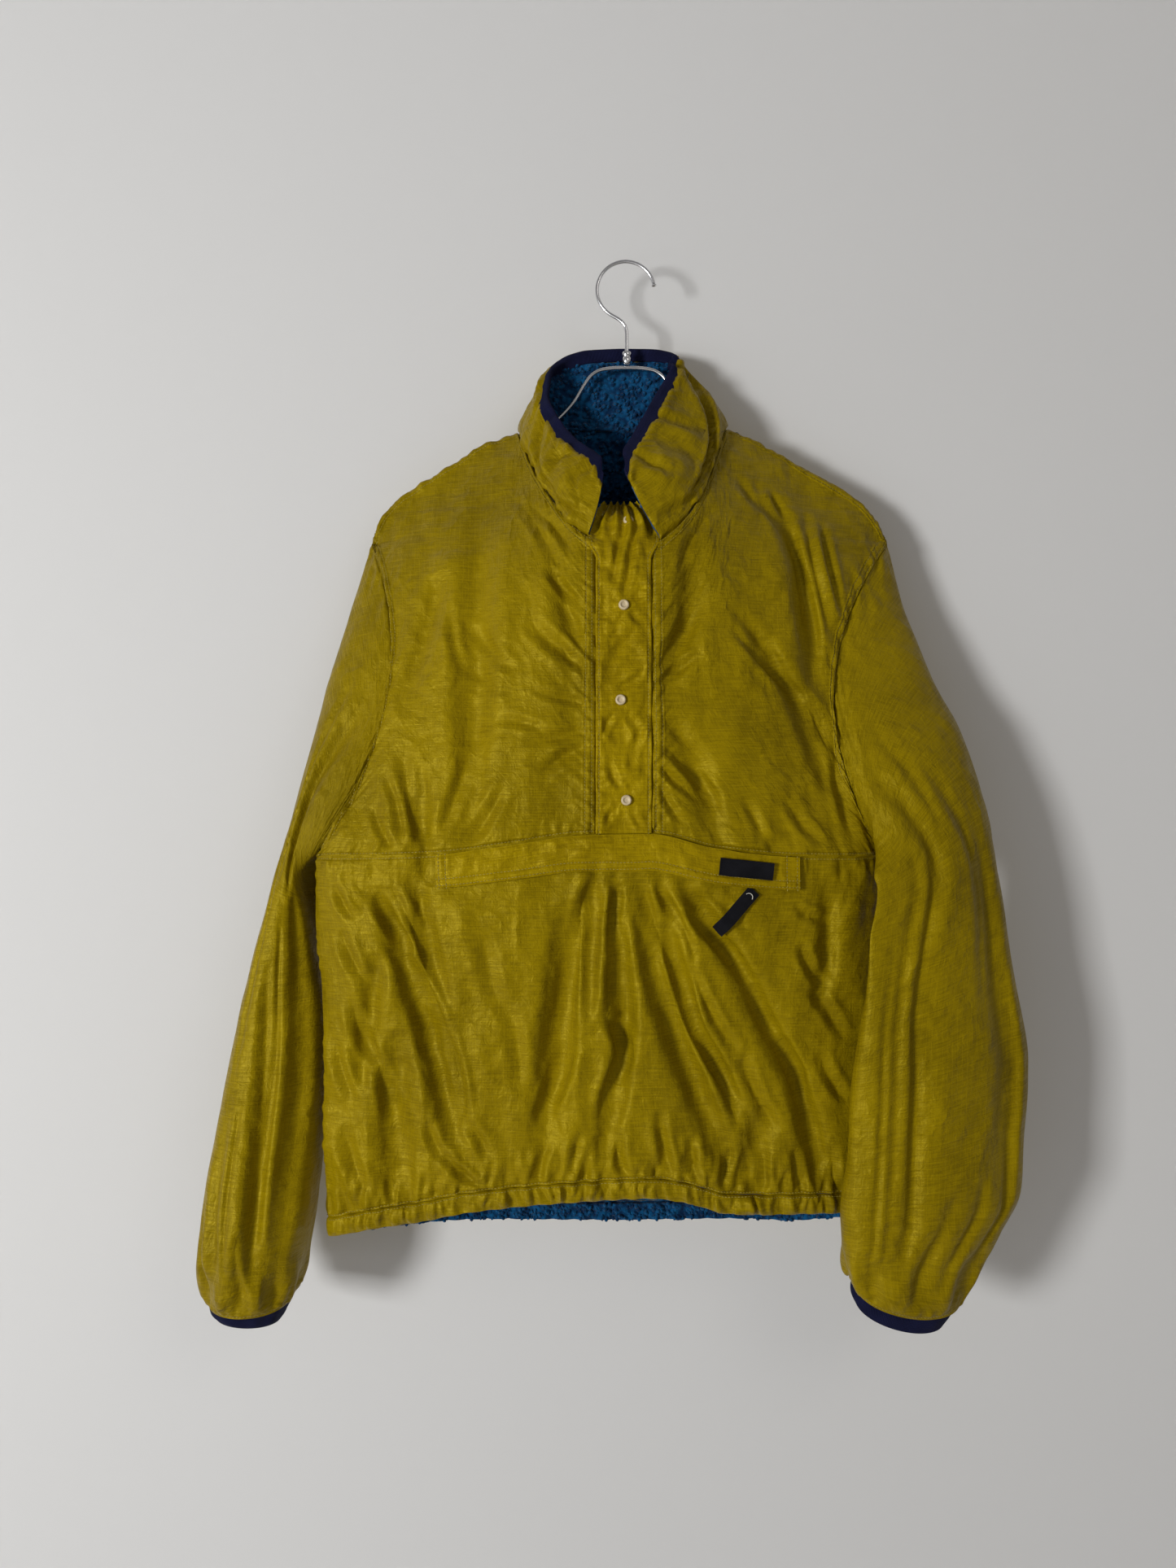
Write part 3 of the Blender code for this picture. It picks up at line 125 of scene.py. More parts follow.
def along(at: Array, rows: Table, column: int = 1) -> Array:
    """Read a column of a table at places of its first column."""
    return curve_through(at, [row[0] for row in rows], [row[column] for row in rows])


def bell(off: Array) -> Array:
    """1 at 0, falling smoothly to 0 on both sides."""
    return np.exp(-off ** 2)


def full_turn(count: int) -> Array:
    """Angles of a whole turn in equal steps."""
    return np.linspace(0.0, 2 * math.pi, count + 1)[:-1]


def crowded(count: int, ends: float = 0.45) -> Array:
    """Return count + 1 places from 0 to 1 that lie closer together toward both ends."""
    t = np.linspace(0.0, 1.0, count + 1)
    return t - ends * np.sin(2 * np.pi * t) / (2 * np.pi)


def noise(points: Array, seed: int) -> Array:
    """Smooth noise, mostly between -0.6 and 0.6.

    Args:
        points: places (..., 3) in units of the noise's own cells.
        seed: picks the pattern.

    Returns:
        One value for each point.
    """
    points = points + np.array((13.7, 5.3, 9.1)) * (1 + seed % 17)
    cell = np.floor(points).astype(np.int64)
    part = points - cell
    fade = part ** 3 * (part * (part * 6 - 15) + 10)
    total = np.zeros(points.shape[:-1])
    for corner in range(8):
        offset = np.array([(corner >> k) & 1 for k in range(3)])
        node = cell + offset
        mix = seed * 7919
        for axis, prime in enumerate((73856093, 19349663, 83492791)):
            mix = mix ^ (node[..., axis] * prime)
        mix = mix & 0xffffffff
        mix = ((mix ^ (mix >> 15)) * 739982445) & 0xffffffff
        mix = ((mix ^ (mix >> 12)) * 695872825) & 0xffffffff
        mix = mix ^ (mix >> 15)
        lean = [((mix >> shift) & 1023) / 511.5 - 1.0 for shift in (0, 10, 20)]
        away = part - offset
        weight = np.prod(np.where(offset == 1, fade, 1 - fade), axis=-1)
        total += weight * sum(lean[k] * away[..., k] for k in range(3))
    return total


# ---------------------------------------------------------------- the forms of the garment
class Side(Enum):
    """The two sheets of the body; the value is the way each faces along Y."""

    FRONT = -1
    BACK = 1


class Hand(Enum):
    """The two arms, as the viewer sees them."""

    LEFT = "left"
    RIGHT = "right"


def fold_shape(off: Array) -> Array:
    """Cross-section of a fold: a trough between two low ridges, off its centre in half widths."""
    return np.exp(-off * off) * (1 - 0.55 * off * off)


def push_in(x: Array, z: Array, folds: Table) -> Array:
    """How far folds push a sheet in.

    Args:
        x: places across.
        z: heights.
        folds: rows of x0, z0, x1, z1, x2, z2, half width and depth.

    Returns:
        The depth of the folds at each place; a ridge is negative.
    """
    relief = np.zeros(np.broadcast(x, z).shape)
    for x0, z0, x1, z1, x2, z2, half_width, depth in folds:
        t = (z - z0) / (z2 - z0)
        centre = curve_through(t, (0.0, (z1 - z0) / (z2 - z0), 1.0), (x0, x1, x2))
        lean = math.atan2(abs(x2 - x0), abs(z2 - z0))
        fade = np.sin(np.pi * np.clip(t, 0.0, 1.0)) ** 0.7
        relief += depth * fade * fold_shape((x - centre) * math.cos(lean) / half_width)
    return relief


def press_creases(x: Array, z: Array, creases: Table) -> Array:
    """How far narrow creases of any direction push a sheet in.

    Args:
        x: places across.
        z: heights.
        creases: rows of x0, z0, x1, z1, bend, half width and depth; bend is how far the middle stands aside.

    Returns:
        The depth at each place; a ridge is negative.
    """
    relief = np.zeros(np.broadcast(x, z).shape)
    for x0, z0, x1, z1, bend, half_width, depth in creases:
        run = math.hypot(x1 - x0, z1 - z0)
        ux, uz = (x1 - x0) / run, (z1 - z0) / run
        t = ((x - x0) * ux + (z - z0) * uz) / run
        off = (x - x0) * uz - (z - z0) * ux
        inside = np.clip(t, 0.0, 1.0)
        off = off - bend * 4 * inside * (1 - inside)
        q = off / half_width
        reach = np.sin(np.pi * inside) ** 0.8
        sharp = np.exp(-np.abs(q) ** 1.4) - 0.35 * bell((np.abs(q) - 1.9) / 0.8)
        relief += depth * reach * sharp
    return relief


@dataclass
class SleeveForm:
    """One sleeve: rings between an outer fold and an underarm fold, from the armhole to the end."""

    hand: Hand
    rows: Table
    folds: Table = ()
    tuck_place: float = math.radians(32)
    tuck_width: float = math.radians(20)
    radius: float = 0.055

    NAMES = ("outer_x", "outer_y", "outer_z", "inner_x", "inner_y", "inner_z", "front", "back",
             "bow_front", "bow_back", "tuck")

    def value(self, name: str, place: float) -> float:
        """Read one named column at a place from 0 to 1 along the sleeve."""
        knots = np.linspace(0.0, 1.0, len(self.rows))
        return float(curve_through(place, knots, [row[self.NAMES.index(name)] for row in self.rows]))

    def ring(self, place: float, turn: Array) -> Array:
        """Points of the ring at a place, at angles from the outer fold over the front."""
        v = {name: self.value(name, place) for name in self.NAMES}
        outer = np.array([v["outer_x"], v["outer_y"], v["outer_z"]])
        inner = np.array([v["inner_x"], v["inner_y"], v["inner_z"]])
        ring = (outer + inner) / 2 + (outer - inner) / 2 * np.cos(turn)[:, None]
        inward = 1.0 if self.hand is Hand.LEFT else -1.0
        front = np.maximum(np.sin(turn), 0.0)
        back = np.maximum(-np.sin(turn), 0.0)
        ring[:, 0] += inward * (v["bow_front"] * front ** 2 + v["bow_back"] * back ** 2)
        roundness = 1.0 - 0.1 * float(ease(place * 6))
        ring[:, 1] += v["back"] * back ** roundness - v["front"] * front ** roundness
        over = 1.0 if v["tuck"] > 0 else -1.0
        spread = (turn - math.pi + over * self.tuck_place) / self.tuck_width
        amount = abs(v["tuck"]) * bell(spread)
        return ring + amount[:, None] * np.array((inward, -0.35 * over, -0.2))

    def push(self, place: float, turn: Array, folds: Table, gathers: float) -> Array:
        """How far folds and the gathers at the end push the ring in at a place.

        Args:
            place: the ring's place from 0 to 1.
            turn: angles of its points.
            folds: rows of three places with their angles in degrees, half width and depth.
            gathers: height of the gathers above the cuff.

        Returns:
            One depth for each point.
        """
        relief = np.zeros(turn.shape)
        for s0, turn0, s1, turn1, s2, turn2, half_width, depth in folds:
            if not s0 < place < s2:
                continue
            centre = math.radians(float(curve_through(place, (s0, s1, s2), (turn0, turn1, turn2))))
            off = (np.mod(turn - centre + np.pi, 2 * np.pi) - np.pi) * self.radius / half_width
            relief += depth * math.sin(math.pi * (place - s0) / (s2 - s0)) ** 0.7 * fold_shape(off)
        gather = float(ease((place - 0.82) / 0.10) * (1 - ease((place - 0.95) / 0.05)))
        return relief + gathers * gather * np.cos(8 * turn + 0.6)


SLEEVE_LEFT = SleeveForm(Hand.LEFT, mm(
    (-249, 0, -275, -289, -62, -575, 31, 44, 45, 45, 0),
    (-268, -8, -340, -294.5, -60.5, -579, 31, 44, 31, 28, -6),
    (-284, -18, -406, -298.5, -56, -583, 30, 42, 16, 12, -16),
    (-301, -26, -472, -301.5, -50, -589, 28, 40, 4, 0, -26),
    (-318, -34, -540, -303, -43, -599, 27, 38, 0, 0, -32),
    (-334, -42, -602, -300, -37, -618, 28, 37, 0, 0, -30),
    (-352, -48, -676, -291, -33, -665, 30, 38, 0, 0, -18),
    (-371, -54, -767, -282, -32, -762, 36, 40, 0, 0, -4),
    (-384, -60, -850, -287, -42, -852, 50, 46, 0, 0, 0), (-392, -64, -905, -291, -50, -904, 56, 50, 0, 0, 0),
    (-394, -66, -935, -297, -54, -936, 53, 48, 0, 0, 0), (-390, -66, -962, -302, -58, -962, 45, 40, 0, 0, 0),
    (-386, -66, -980, -310, -60, -982, 34, 30, 0, 0, 0),
), folds=(
    (0.04, 85, 0.22, 78, 0.42, 100, 0.011, 0.007), (0.5, 72, 0.66, 92, 0.92, 108, 0.011, 0.011),
    (0.62, 44, 0.76, 52, 0.93, 62, 0.01, 0.006), (0.3, 250, 0.55, 262, 0.85, 280, 0.014, 0.008),
))
SLEEVE_RIGHT = SleeveForm(Hand.RIGHT, mm(
    (254, 0, -275, 236, -52, -575, 36, 40, 55, 55, 0), (270, -12, -345, 243, -55, -580, 40, 34, 50, 36, 6),
    (290, -22, -405, 249, -60, -584, 42, 30, 44, 18, 16),
    (310, -32, -450, 253, -67, -589, 42, 26, 36, 6, 28), (324, -40, -492, 253, -76, -596, 38, 24, 26, 0, 34),
    (335, -47, -535, 248, -85, -609, 33, 22, 14, 0, 34), (342, -53, -580, 234, -94, -634, 29, 22, 4, 0, 30),
    (348, -59, -628, 215, -99, -680, 27, 23, 0, 0, 14), (357, -62, -690, 201, -102, -744, 26, 24, 0, 0, 3),
    (368, -64, -760, 195, -101, -800, 27, 24, 0, 0, 0), (363, -66, -828, 192, -100, -856, 29, 24, 0, 0, 0),
    (358, -68, -880, 189, -99, -898, 31, 24, 0, 0, 0), (338, -70, -918, 189, -97, -925, 31, 24, 0, 0, 0),
    (318, -72, -948, 192, -95, -945, 28, 22, 0, 0, 0), (303, -74, -974, 198, -93, -954, 22, 18, 0, 0, 0),
), folds=(
    (0.1, 96, 0.3, 92, 0.5, 112, 0.011, 0.007), (0.45, 104, 0.7, 108, 0.95, 112, 0.01, 0.006),
    (0.3, 48, 0.55, 44, 0.8, 46, 0.012, 0.007), (0.35, 258, 0.6, 268, 0.88, 276, 0.014, 0.008),
))
CUFF_LEFT = SleeveForm(Hand.LEFT, mm(
    (-386, -66, -980.4, -310, -60, -982.4, 34, 30, 0, 0, 0),
    (-382, -66, -990, -319, -60, -996, 30, 26, 0, 0, 0),
    (-380, -66, -996, -321, -60, -1003, 28, 24, 0, 0, 0),
))
CUFF_RIGHT = SleeveForm(Hand.RIGHT, mm(
    (303, -74, -974.4, 198, -93, -954.4, 22, 18, 0, 0, 0), (294, -74, -986, 200, -92, -965, 21, 17, 0, 0, 0),
    (288, -74, -997, 201, -92, -973, 20, 16, 0, 0, 0),
))


@dataclass
class BodyForm:
    """The body of the garment: a front and a back sheet between the two armholes and side seams."""

    side_seams: Table = mm(
        (-942, -278, 236, -58, -50), (-890, -280, 236, -60, -52), (-825, -283, 237, -62, -52),
        (-775, -282, 237, -62, -52), (-700, -284, 237, -62, -52), (-630, -290, 236, -62, -52),
        (-575, -289, 236, -62, -52),
    )
    depths: Table = mm(
        (-942, -90, 22), (-890, -94, 24), (-775, -100, 24), (-630, -107, 24), (-500, -106, 27),
        (-350, -99, 28), (-60, -88, 25),
    )
    shoulder_left: Table = mm(
        (-249, -275), (-244, -259), (-235, -243), (-221, -228), (-195, -212), (-169, -197), (-145, -182),
        (-106, -166),
    )
    shoulder_right: Table = mm(
        (254, -275), (246, -259), (236, -243), (222, -228), (195, -212), (166, -197), (136, -180),
        (97, -162),
    )
    neck_left: Table = mm(
        (-106, -166), (-100, -182), (-90, -208), (-75, -238), (-55, -269), (-39, -284),
    )
    neck_right: Table = mm((97, -162), (90, -180), (79, -211), (64, -246), (45, -273), (29, -287))
    neck_back: Table = mm(
        (-106, -166), (-80, -158), (-45, -157), (0, -158), (45, -156), (75, -156), (97, -162),
    )
    pocket_seam: Table = mm(
        (-289, -575), (-174, -571), (-112, -563), (-41, -553), (18, -552), (79, -566), (148, -573),
        (236, -575),
    )
    hem_front: Table = mm(
        (-279, -927), (-230, -913), (-190, -905), (-140, -894), (-60, -885), (20, -881), (50, -885),
        (90, -896), (190, -900), (236, -912),
    )
    hem_back: Table = mm((-279, -927), (-200, -937), (-20, -941), (150, -936), (236, -912))
    front_folds: Table = mm(
        (-226, -600, -192, -700, -154, -836, 13, 13), (-194, -590, -181, -650, -165, -715, 10, 9),
        (-227, -660, -236, -720, -244, -790, 12, 8), (-207, -730, -213, -800, -212, -895, 18, 10),
        (-52, -610, -64, -720, -78, -840, 16, 12), (-29, -575, -34, -640, -40, -725, 9, 8),
        (-14, -575, -6, -735, -24, -845, 10, 11), (1, -580, 30, -701, 95, -870, 14, 11),
        (24, -580, 50, -705, 108, -810, 10, 10), (40, -585, 85, -655, 136, -735, 11, 9),
        (100, -690, 151, -780, 180, -885, 12, 11), (120, -800, 112, -845, 104, -890, 14, 7),
        (178, -590, 180, -650, 170, -720, 10, 6), (-139, -225, -140, -390, -142, -575, 19, 9),
        (-176, -315, -188, -370, -204, -430, 12, 6), (-192, -490, -187, -535, -180, -600, 11, 7),
        (-70, -300, -58, -345, -42, -400, 9, 5), (141, -235, 163, -330, 172, -430, 12, 11),
        (98, -350, 150, -430, 186, -520, 10, 9), (61, -280, 52, -360, 30, -440, 13, 6),
        (30, -440, 62, -500, 80, -570, 13, 7),
    )
    back_folds: Table = mm(
        (-150, -240, -128, -420, -118, -640, 20, 8), (140, -240, 122, -400, 104, -610, 20, 8),
        (-30, -300, -36, -520, -22, -760, 22, 6), (-178, -620, -160, -760, -142, -915, 15, 9),
        (-88, -700, -78, -800, -64, -920, 14, 8), (24, -640, 40, -780, 46, -920, 16, 9),
        (122, -660, 140, -790, 164, -905, 14, 8),
    )
    # Narrow creases: both ends (x, z), bend, half width and depth.
    front_creases: Table = mm(
        (90, -366, 158, -428, 3, 3.5, 3), (150, -418, 186, -486, -4, 6, 3.5),
        (-93, -358, -42, -404, 3, 6, 3.4), (-66, -378, -37, -410, 2, 4, 2.4),
        (-120, -450, -68, -466, -3, 4, 1.8), (-88, -424, -36, -436, 2, 3.4, 1.8),
        (-96, -470, -36, -458, 3, 4.5, 2), (-80, -500, -36, -474, -3, 5, 2.4),
        (24, -470, 80, -532, -4, 5, 3), (22, -486, 66, -524, 3, 3.6, 2.2), (24, -506, 48, -545, 2, 3.6, 2),
        (24, -404, 56, -356, 2, 6, 3), (26, -420, 66, -392, -2, 3.8, 2), (168, -250, 190, -372, 4, 5, 3.6),
        (184, -258, 200, -352, 3, 4, 3), (150, -262, 176, -402, -3, 4, 2.4), (104, -216, 128, -254, 2, 4, 2),
        (120, -224, 146, -272, 2, 4, 2), (136, -230, 150, -256, 1, 3, 1.6),
        (-140, -366, -104, -408, 4, 5, 2.4), (-152, -400, -120, -430, -3, 4, 2),
        (-166, -342, -150, -410, 3, 4.5, 2), (-206, -478, -186, -560, 4, 5, 2.8),
        (-220, -500, -204, -566, -3, 4, 2.4), (-150, -566, -112, -508, 3, 5, 2.4),
        (-176, -562, -146, -480, 4, 5, 2.2), (-232, -530, -214, -568, 2, 3.6, 2.4),
        (-94, -248, -50, -302, -4, 4.6, 2.4), (-106, -240, -64, -318, -4, 5, 1.8),
        (-78, -310, -40, -352, 2, 4, 2.4), (80, -250, 44, -318, 3, 4.5, 2),
        (140, -520, 176, -566, 3, 4.5, 2.2), (100, -520, 120, -562, -2, 4, 1.8),
        (190, -470, 204, -560, 4, 5, 3), (-230, -608, -192, -662, 3, 5, 3.6),
        (-192, -662, -166, -730, 3, 5, 3.6), (-168, -724, -150, -812, -3, 5, 3.6),
        (-216, -600, -176, -690, -4, 4.5, 2.8), (-262, -640, -238, -690, 3, 5, 2.6),
        (-254, -700, -228, -764, 4, 5.5, 2.8), (-236, -744, -216, -820, -4, 5.5, 2.8),
        (-268, -600, -248, -632, 2, 4, 2.4), (-270, -740, -250, -800, 3, 5, 2.4),
        (-262, -820, -240, -880, 3, 6, 2.4), (-184, -812, -166, -850, 2, 4.5, 2.6),
        (-168, -842, -132, -872, 3, 4, 3), (-150, -810, -126, -846, -2, 4.5, 2.4),
        (-34, -592, -48, -660, 3, 5, 3), (-47, -650, -56, -736, 4, 6, 3.4),
        (-52, -730, -82, -812, -3, 6, 3.2), (-10, -596, -17, -664, 2, 4, 3),
        (-18, -660, -21, -722, -3, 5, 3.4), (-22, -716, -4, -756, -3, 4.5, 3.6),
        (-4, -752, -26, -812, 4, 5, 3.6), (10, -594, 30, -654, 2, 4.5, 2.8),
        (30, -650, 62, -738, -3, 5, 3.4), (60, -732, 98, -818, -4, 5, 3.4), (22, -600, 58, -668, -4, 4, 3),
        (50, -664, 98, -752, 4, 4.6, 3.4), (46, -622, 110, -690, -5, 4.5, 3.2),
        (108, -688, 144, -752, 4, 4.6, 3), (66, -604, 106, -642, -3, 4, 2.4),
        (100, -752, 134, -822, 4, 5, 3), (134, -742, 158, -800, -4, 5, 3),
        (152, -650, 182, -700, 4, 4.5, 2.8), (160, -690, 196, -742, -3, 5, 2.8),
        (172, -752, 200, -800, 3, 5, 2.4), (146, -616, 178, -632, 3, 4, 1.8),
        (-130, -640, -110, -720, 5, 7, 1.8), (-112, -700, -98, -790, -4, 6, 1.6),
        (26, -800, 40, -866, 3, 4.5, 3), (56, -822, 60, -872, 2, 4, 2.6), (-10, -822, -4, -866, 2, 4, 3),
        (-44, -820, -52, -866, 2, 4, 2.8), (-74, -830, -84, -872, 2, 4, 2.4),
        (92, -836, 84, -880, 2, 4, 2.8), (120, -840, 126, -884, 2, 4, 2.6),
        (150, -836, 160, -886, 3, 4.5, 2.6), (184, -836, 192, -888, 2, 4.5, 2.4),
    )
    back_creases: Table = mm(
        (-140, -250, -100, -330, 6, 6, 2.4), (138, -246, 102, -340, -6, 6, 2.4),
        (-190, -330, -176, -450, 6, 7, 3), (190, -340, 180, -462, -6, 7, 3),
        (-60, -360, -20, -420, 6, 6, 1.8), (40, -400, 96, -452, 6, 6, 2),
        (-120, -480, -60, -540, -6, 6, 2.2), (30, -540, 90, -600, 6, 7, 2.2),
        (-220, -560, -150, -610, 6, 6, 3), (200, -570, 130, -630, -6, 6, 3),
        (-240, -640, -200, -760, 8, 7, 3), (206, -650, 180, -770, -8, 7, 3),
        (-100, -640, -60, -760, 8, 7, 2.6), (-20, -620, 10, -740, -6, 6, 2.4),
        (70, -660, 90, -780, 6, 7, 2.6), (-150, -800, -140, -900, 6, 6, 3), (-50, -810, -46, -906, 4, 6, 3),
        (60, -800, 70, -906, -4, 6, 3), (130, -810, 140, -900, 4, 6, 3), (-210, -820, -216, -900, 4, 6, 3),
    )
    casing: float = 0.018
    underarm_z: float = -0.575
    ridge_roll: float = 0.008
    front_slope: float = 0.230
    back_slope: float = 0.120
    gathers: int = 26
    placket_left: float = -0.031
    placket_right: float = 0.019

    def side_line(self, form: SleeveForm, z: Array, side: Side) -> Tuple[Array, Array]:
        """x and y of the body's edge: down the armhole's front or back, then down the side seam."""
        top_x, top_y, top_z, low_x, low_y, low_z, front, back, bow = form.rows[0][:9]
        inward = 1.0 if form.hand is Hand.LEFT else -1.0
        height = np.clip((2 * z - top_z - low_z) / (top_z - low_z), -1.0, 1.0)
        x = (top_x + low_x) / 2 + (top_x - low_x) / 2 * height + inward * bow * (1 - height ** 2)
        stand = (front if side is Side.FRONT else back) * np.sqrt(1 - height ** 2)
        y = (top_y + low_y) / 2 + (top_y - low_y) / 2 * height + side.value * stand
        column = 1 if form.hand is Hand.LEFT else 2
        below = z < low_z
        x = np.where(below, along(z, self.side_seams, column), x)
        y = np.where(below, along(z, self.side_seams, column + 2), y)
        return x, y

    def calm_edge(self, form: SleeveForm, z: Array, side: Side) -> Array:
        """The edge's depth averaged over some height, as it acts on the middle of the sheet."""
        shifts = (-0.045, -0.030, -0.015, 0.0, 0.015)
        return sum(self.side_line(form, z + shift, side)[1] for shift in shifts) / len(shifts)

    def ridge_z(self, x: Array) -> Array:
        """Height of the shoulder line at x, carried on level across the neck."""
        return along(x, self.shoulder_left + ((-0.050, -0.135), (0.040, -0.132)) + self.shoulder_right[::-1])

    def depth(self, x: Array, z: Array, side: Side) -> Array:
        """Depth y of the front or the back sheet at (x, z), with its large folds."""
        left, edge_left = self.side_line(SLEEVE_LEFT, z, side)
        right, edge_right = self.side_line(SLEEVE_RIGHT, z, side)
        place = np.clip((2 * x - left - right) / (right - left), -1.0, 1.0)
        near = np.abs(place) ** 12
        edge_left = edge_left * near + self.calm_edge(SLEEVE_LEFT, z, side) * (1 - near)
        edge_right = edge_right * near + self.calm_edge(SLEEVE_RIGHT, z, side) * (1 - near)
        edge = edge_left + (edge_right - edge_left) * (place + 1) / 2
        full = along(z, self.depths, 1 if side is Side.FRONT else 2)
        drop = np.maximum(self.ridge_z(x) - z, 0.0)
        tube = ease((-0.480 - z) / 0.095)
        if side is Side.FRONT:
            profile = (1 - np.abs(place) ** (2.5 - 0.1 * tube) + 1e-9) ** (1 - 0.5 * tube)
            reach, share, folds = self.front_slope, self.ridge_roll / 0.092, self.front_folds
        else:
            profile = 1 - np.abs(place) ** 4
            reach, share, folds = self.back_slope, self.ridge_roll / 0.027, self.back_folds
        roll = np.sqrt(1 - (1 - np.minimum(drop / self.ridge_roll, 1.0)) ** 2)
        slope = 1 - (1 - np.minimum(drop / reach, 1.0)) ** 1.8
        gain = share * roll + (1 - share) * slope
        relief = push_in(x, z, folds) * (1 - np.abs(place) ** 8) * ease(drop / 0.05)
        return edge + (full - edge) * profile * gain - side.value * relief

    def hem_ripple(self, x: Array, z: Array, hem_z: Array) -> Array:
        """Gathers of the casing, fading out upward."""
        fade = ease(1 - (z - hem_z - self.casing) / 0.05)
        return 0.0022 * fade * np.sin(self.gathers * 2 * np.pi * (x + 0.278) / 0.514 + 1.3 * np.sin(31 * x))

    def sheet(self, left: Array, right: Array, top: Array, bottom: Array, side: Side,
              down: Array, across: Array) -> Array:
        """Fill a panel between four borders (x, z) and give each point its depth.

        Args:
            left, right: borders from top to bottom.
            top, bottom: borders from left to right.
            side: the sheet the panel is cut from.
            down, across: places from 0 to 1 of the rows and the columns.

        Returns:
            A grid of points, rows x columns x 3.
        """
        t = down[:, None, None]
        s = across[None, :, None]
        flat = ((1 - s) * left[:, None] + s * right[:, None] + (1 - t) * top[None] + t * bottom[None]
                - (1 - s) * (1 - t) * top[0] - s * (1 - t) * top[-1]
                - (1 - s) * t * bottom[0] - s * t * bottom[-1])
        depth = self.depth(flat[..., 0], flat[..., 1], side)
        return np.stack((flat[..., 0], depth, flat[..., 1]), axis=-1)

    def below_arms(self, top: Array, hem: Table, side: Side, down: Array, across: Array) -> Array:
        """Fill the body below the arms, between the side seams, from a top border to the casing.

        Args:
            top: upper border (x, z), from left to right.
            hem: the hem's line; the casing stands above it.
            side: the sheet the panel is cut from.
            down, across: places from 0 to 1 of the rows and the columns.

        Returns:
            A grid of points, rows x columns x 3.
        """
        sides = []
        for form, end in ((SLEEVE_LEFT, hem[0][1]), (SLEEVE_RIGHT, hem[-1][1])):
            z = self.underarm_z + (end + self.casing - self.underarm_z) * down
            x, y = self.side_line(form, z, Side.BACK)
            sides.append((np.column_stack((x, z)), y))
        (left, left_y), (right, right_y) = sides
        low_x = left[-1, 0] + (right[-1, 0] - left[-1, 0]) * across
        bottom = np.column_stack((low_x, along(low_x, hem) + self.casing))
        grid = self.sheet(left, right, top, bottom, side, down, across)
        ripple = self.hem_ripple(grid[..., 0], grid[..., 2], along(grid[..., 0], hem))
        grid[..., 1] += side.value * 0.5 * ripple * (1 - np.abs(2 * across - 1) ** 8)
        grid[:, 0, 1], grid[:, -1, 1] = left_y, right_y
        return grid


FORM = BodyForm()


# ---------------------------------------------------------------- finishes
def new_group(name: str, kind: str, inputs: Dict[str, object],
              outputs: Dict[str, str]) -> Tuple[Tree, Node, Node]:
    """Make a node group with named sockets.

    Args:
        name: the group's name.
        kind: Shader or Geometry.
        inputs: the type of each input, or the value of a Float.
        outputs: the type of each output.

    Returns:
        The group, the node of its inputs and the node of its outputs.
    """
    tree = bpy.data.node_groups.new(name, kind + "NodeTree")
    for title, given in inputs.items():
        socket_type = "NodeSocket" + (given if isinstance(given, str) else "Float")
        socket = tree.interface.new_socket(name=title, in_out="INPUT", socket_type=socket_type)
        if not isinstance(given, str):
            socket.default_value = given
    for title, given in outputs.items():
        tree.interface.new_socket(name=title, in_out="OUTPUT", socket_type="NodeSocket" + given)
    return tree, tree.nodes.new("NodeGroupInput"), tree.nodes.new("NodeGroupOutput")


def place_node(tree: Tree, kind: str, values: Optional[Dict[str, object]] = None,
               **settings: object) -> Node:
    """Add a node and set it up.

    Args:
        tree: where the node goes.
        kind: its type.
        values: what its inputs are set or linked to, by name or number.
        settings: its properties, and inputs whose names begin with a capital.

    Returns:
        The new node.
    """
    node = tree.nodes.new(kind)
    values = dict(values or {})
    for name, value in settings.items():
        if name[0].isupper():
            values[name] = value
        else:
            setattr(node, name, value)
    for name, value in values.items():
        socket = node.inputs[int(name) if name.isdigit() else name]
        if isinstance(value, Socket):
            tree.links.new(value, socket)
        else:
            socket.default_value = value
    return node


def calculate(tree: Tree, operation: str, *values: object) -> Socket:
    """Add a Math node and return its output."""
    inputs = {str(k): value for k, value in enumerate(values)}
    return place_node(tree, "ShaderNodeMath", inputs, operation=operation).outputs[0]


def thread_waves(tree: Tree, *spacings: float) -> List[Socket]:
    """Waves across and then down the cut's UV map, one for each spacing in metres."""
    cut = place_node(tree, "ShaderNodeUVMap", uv_map="cut")
    split = place_node(tree, "ShaderNodeSeparateXYZ", {"0": cut.outputs[0]})
    return [calculate(tree, "SINE", calculate(tree, "MULTIPLY", split.outputs[k], 2 * math.pi / spacing))
            for k, spacing in enumerate(spacings)]


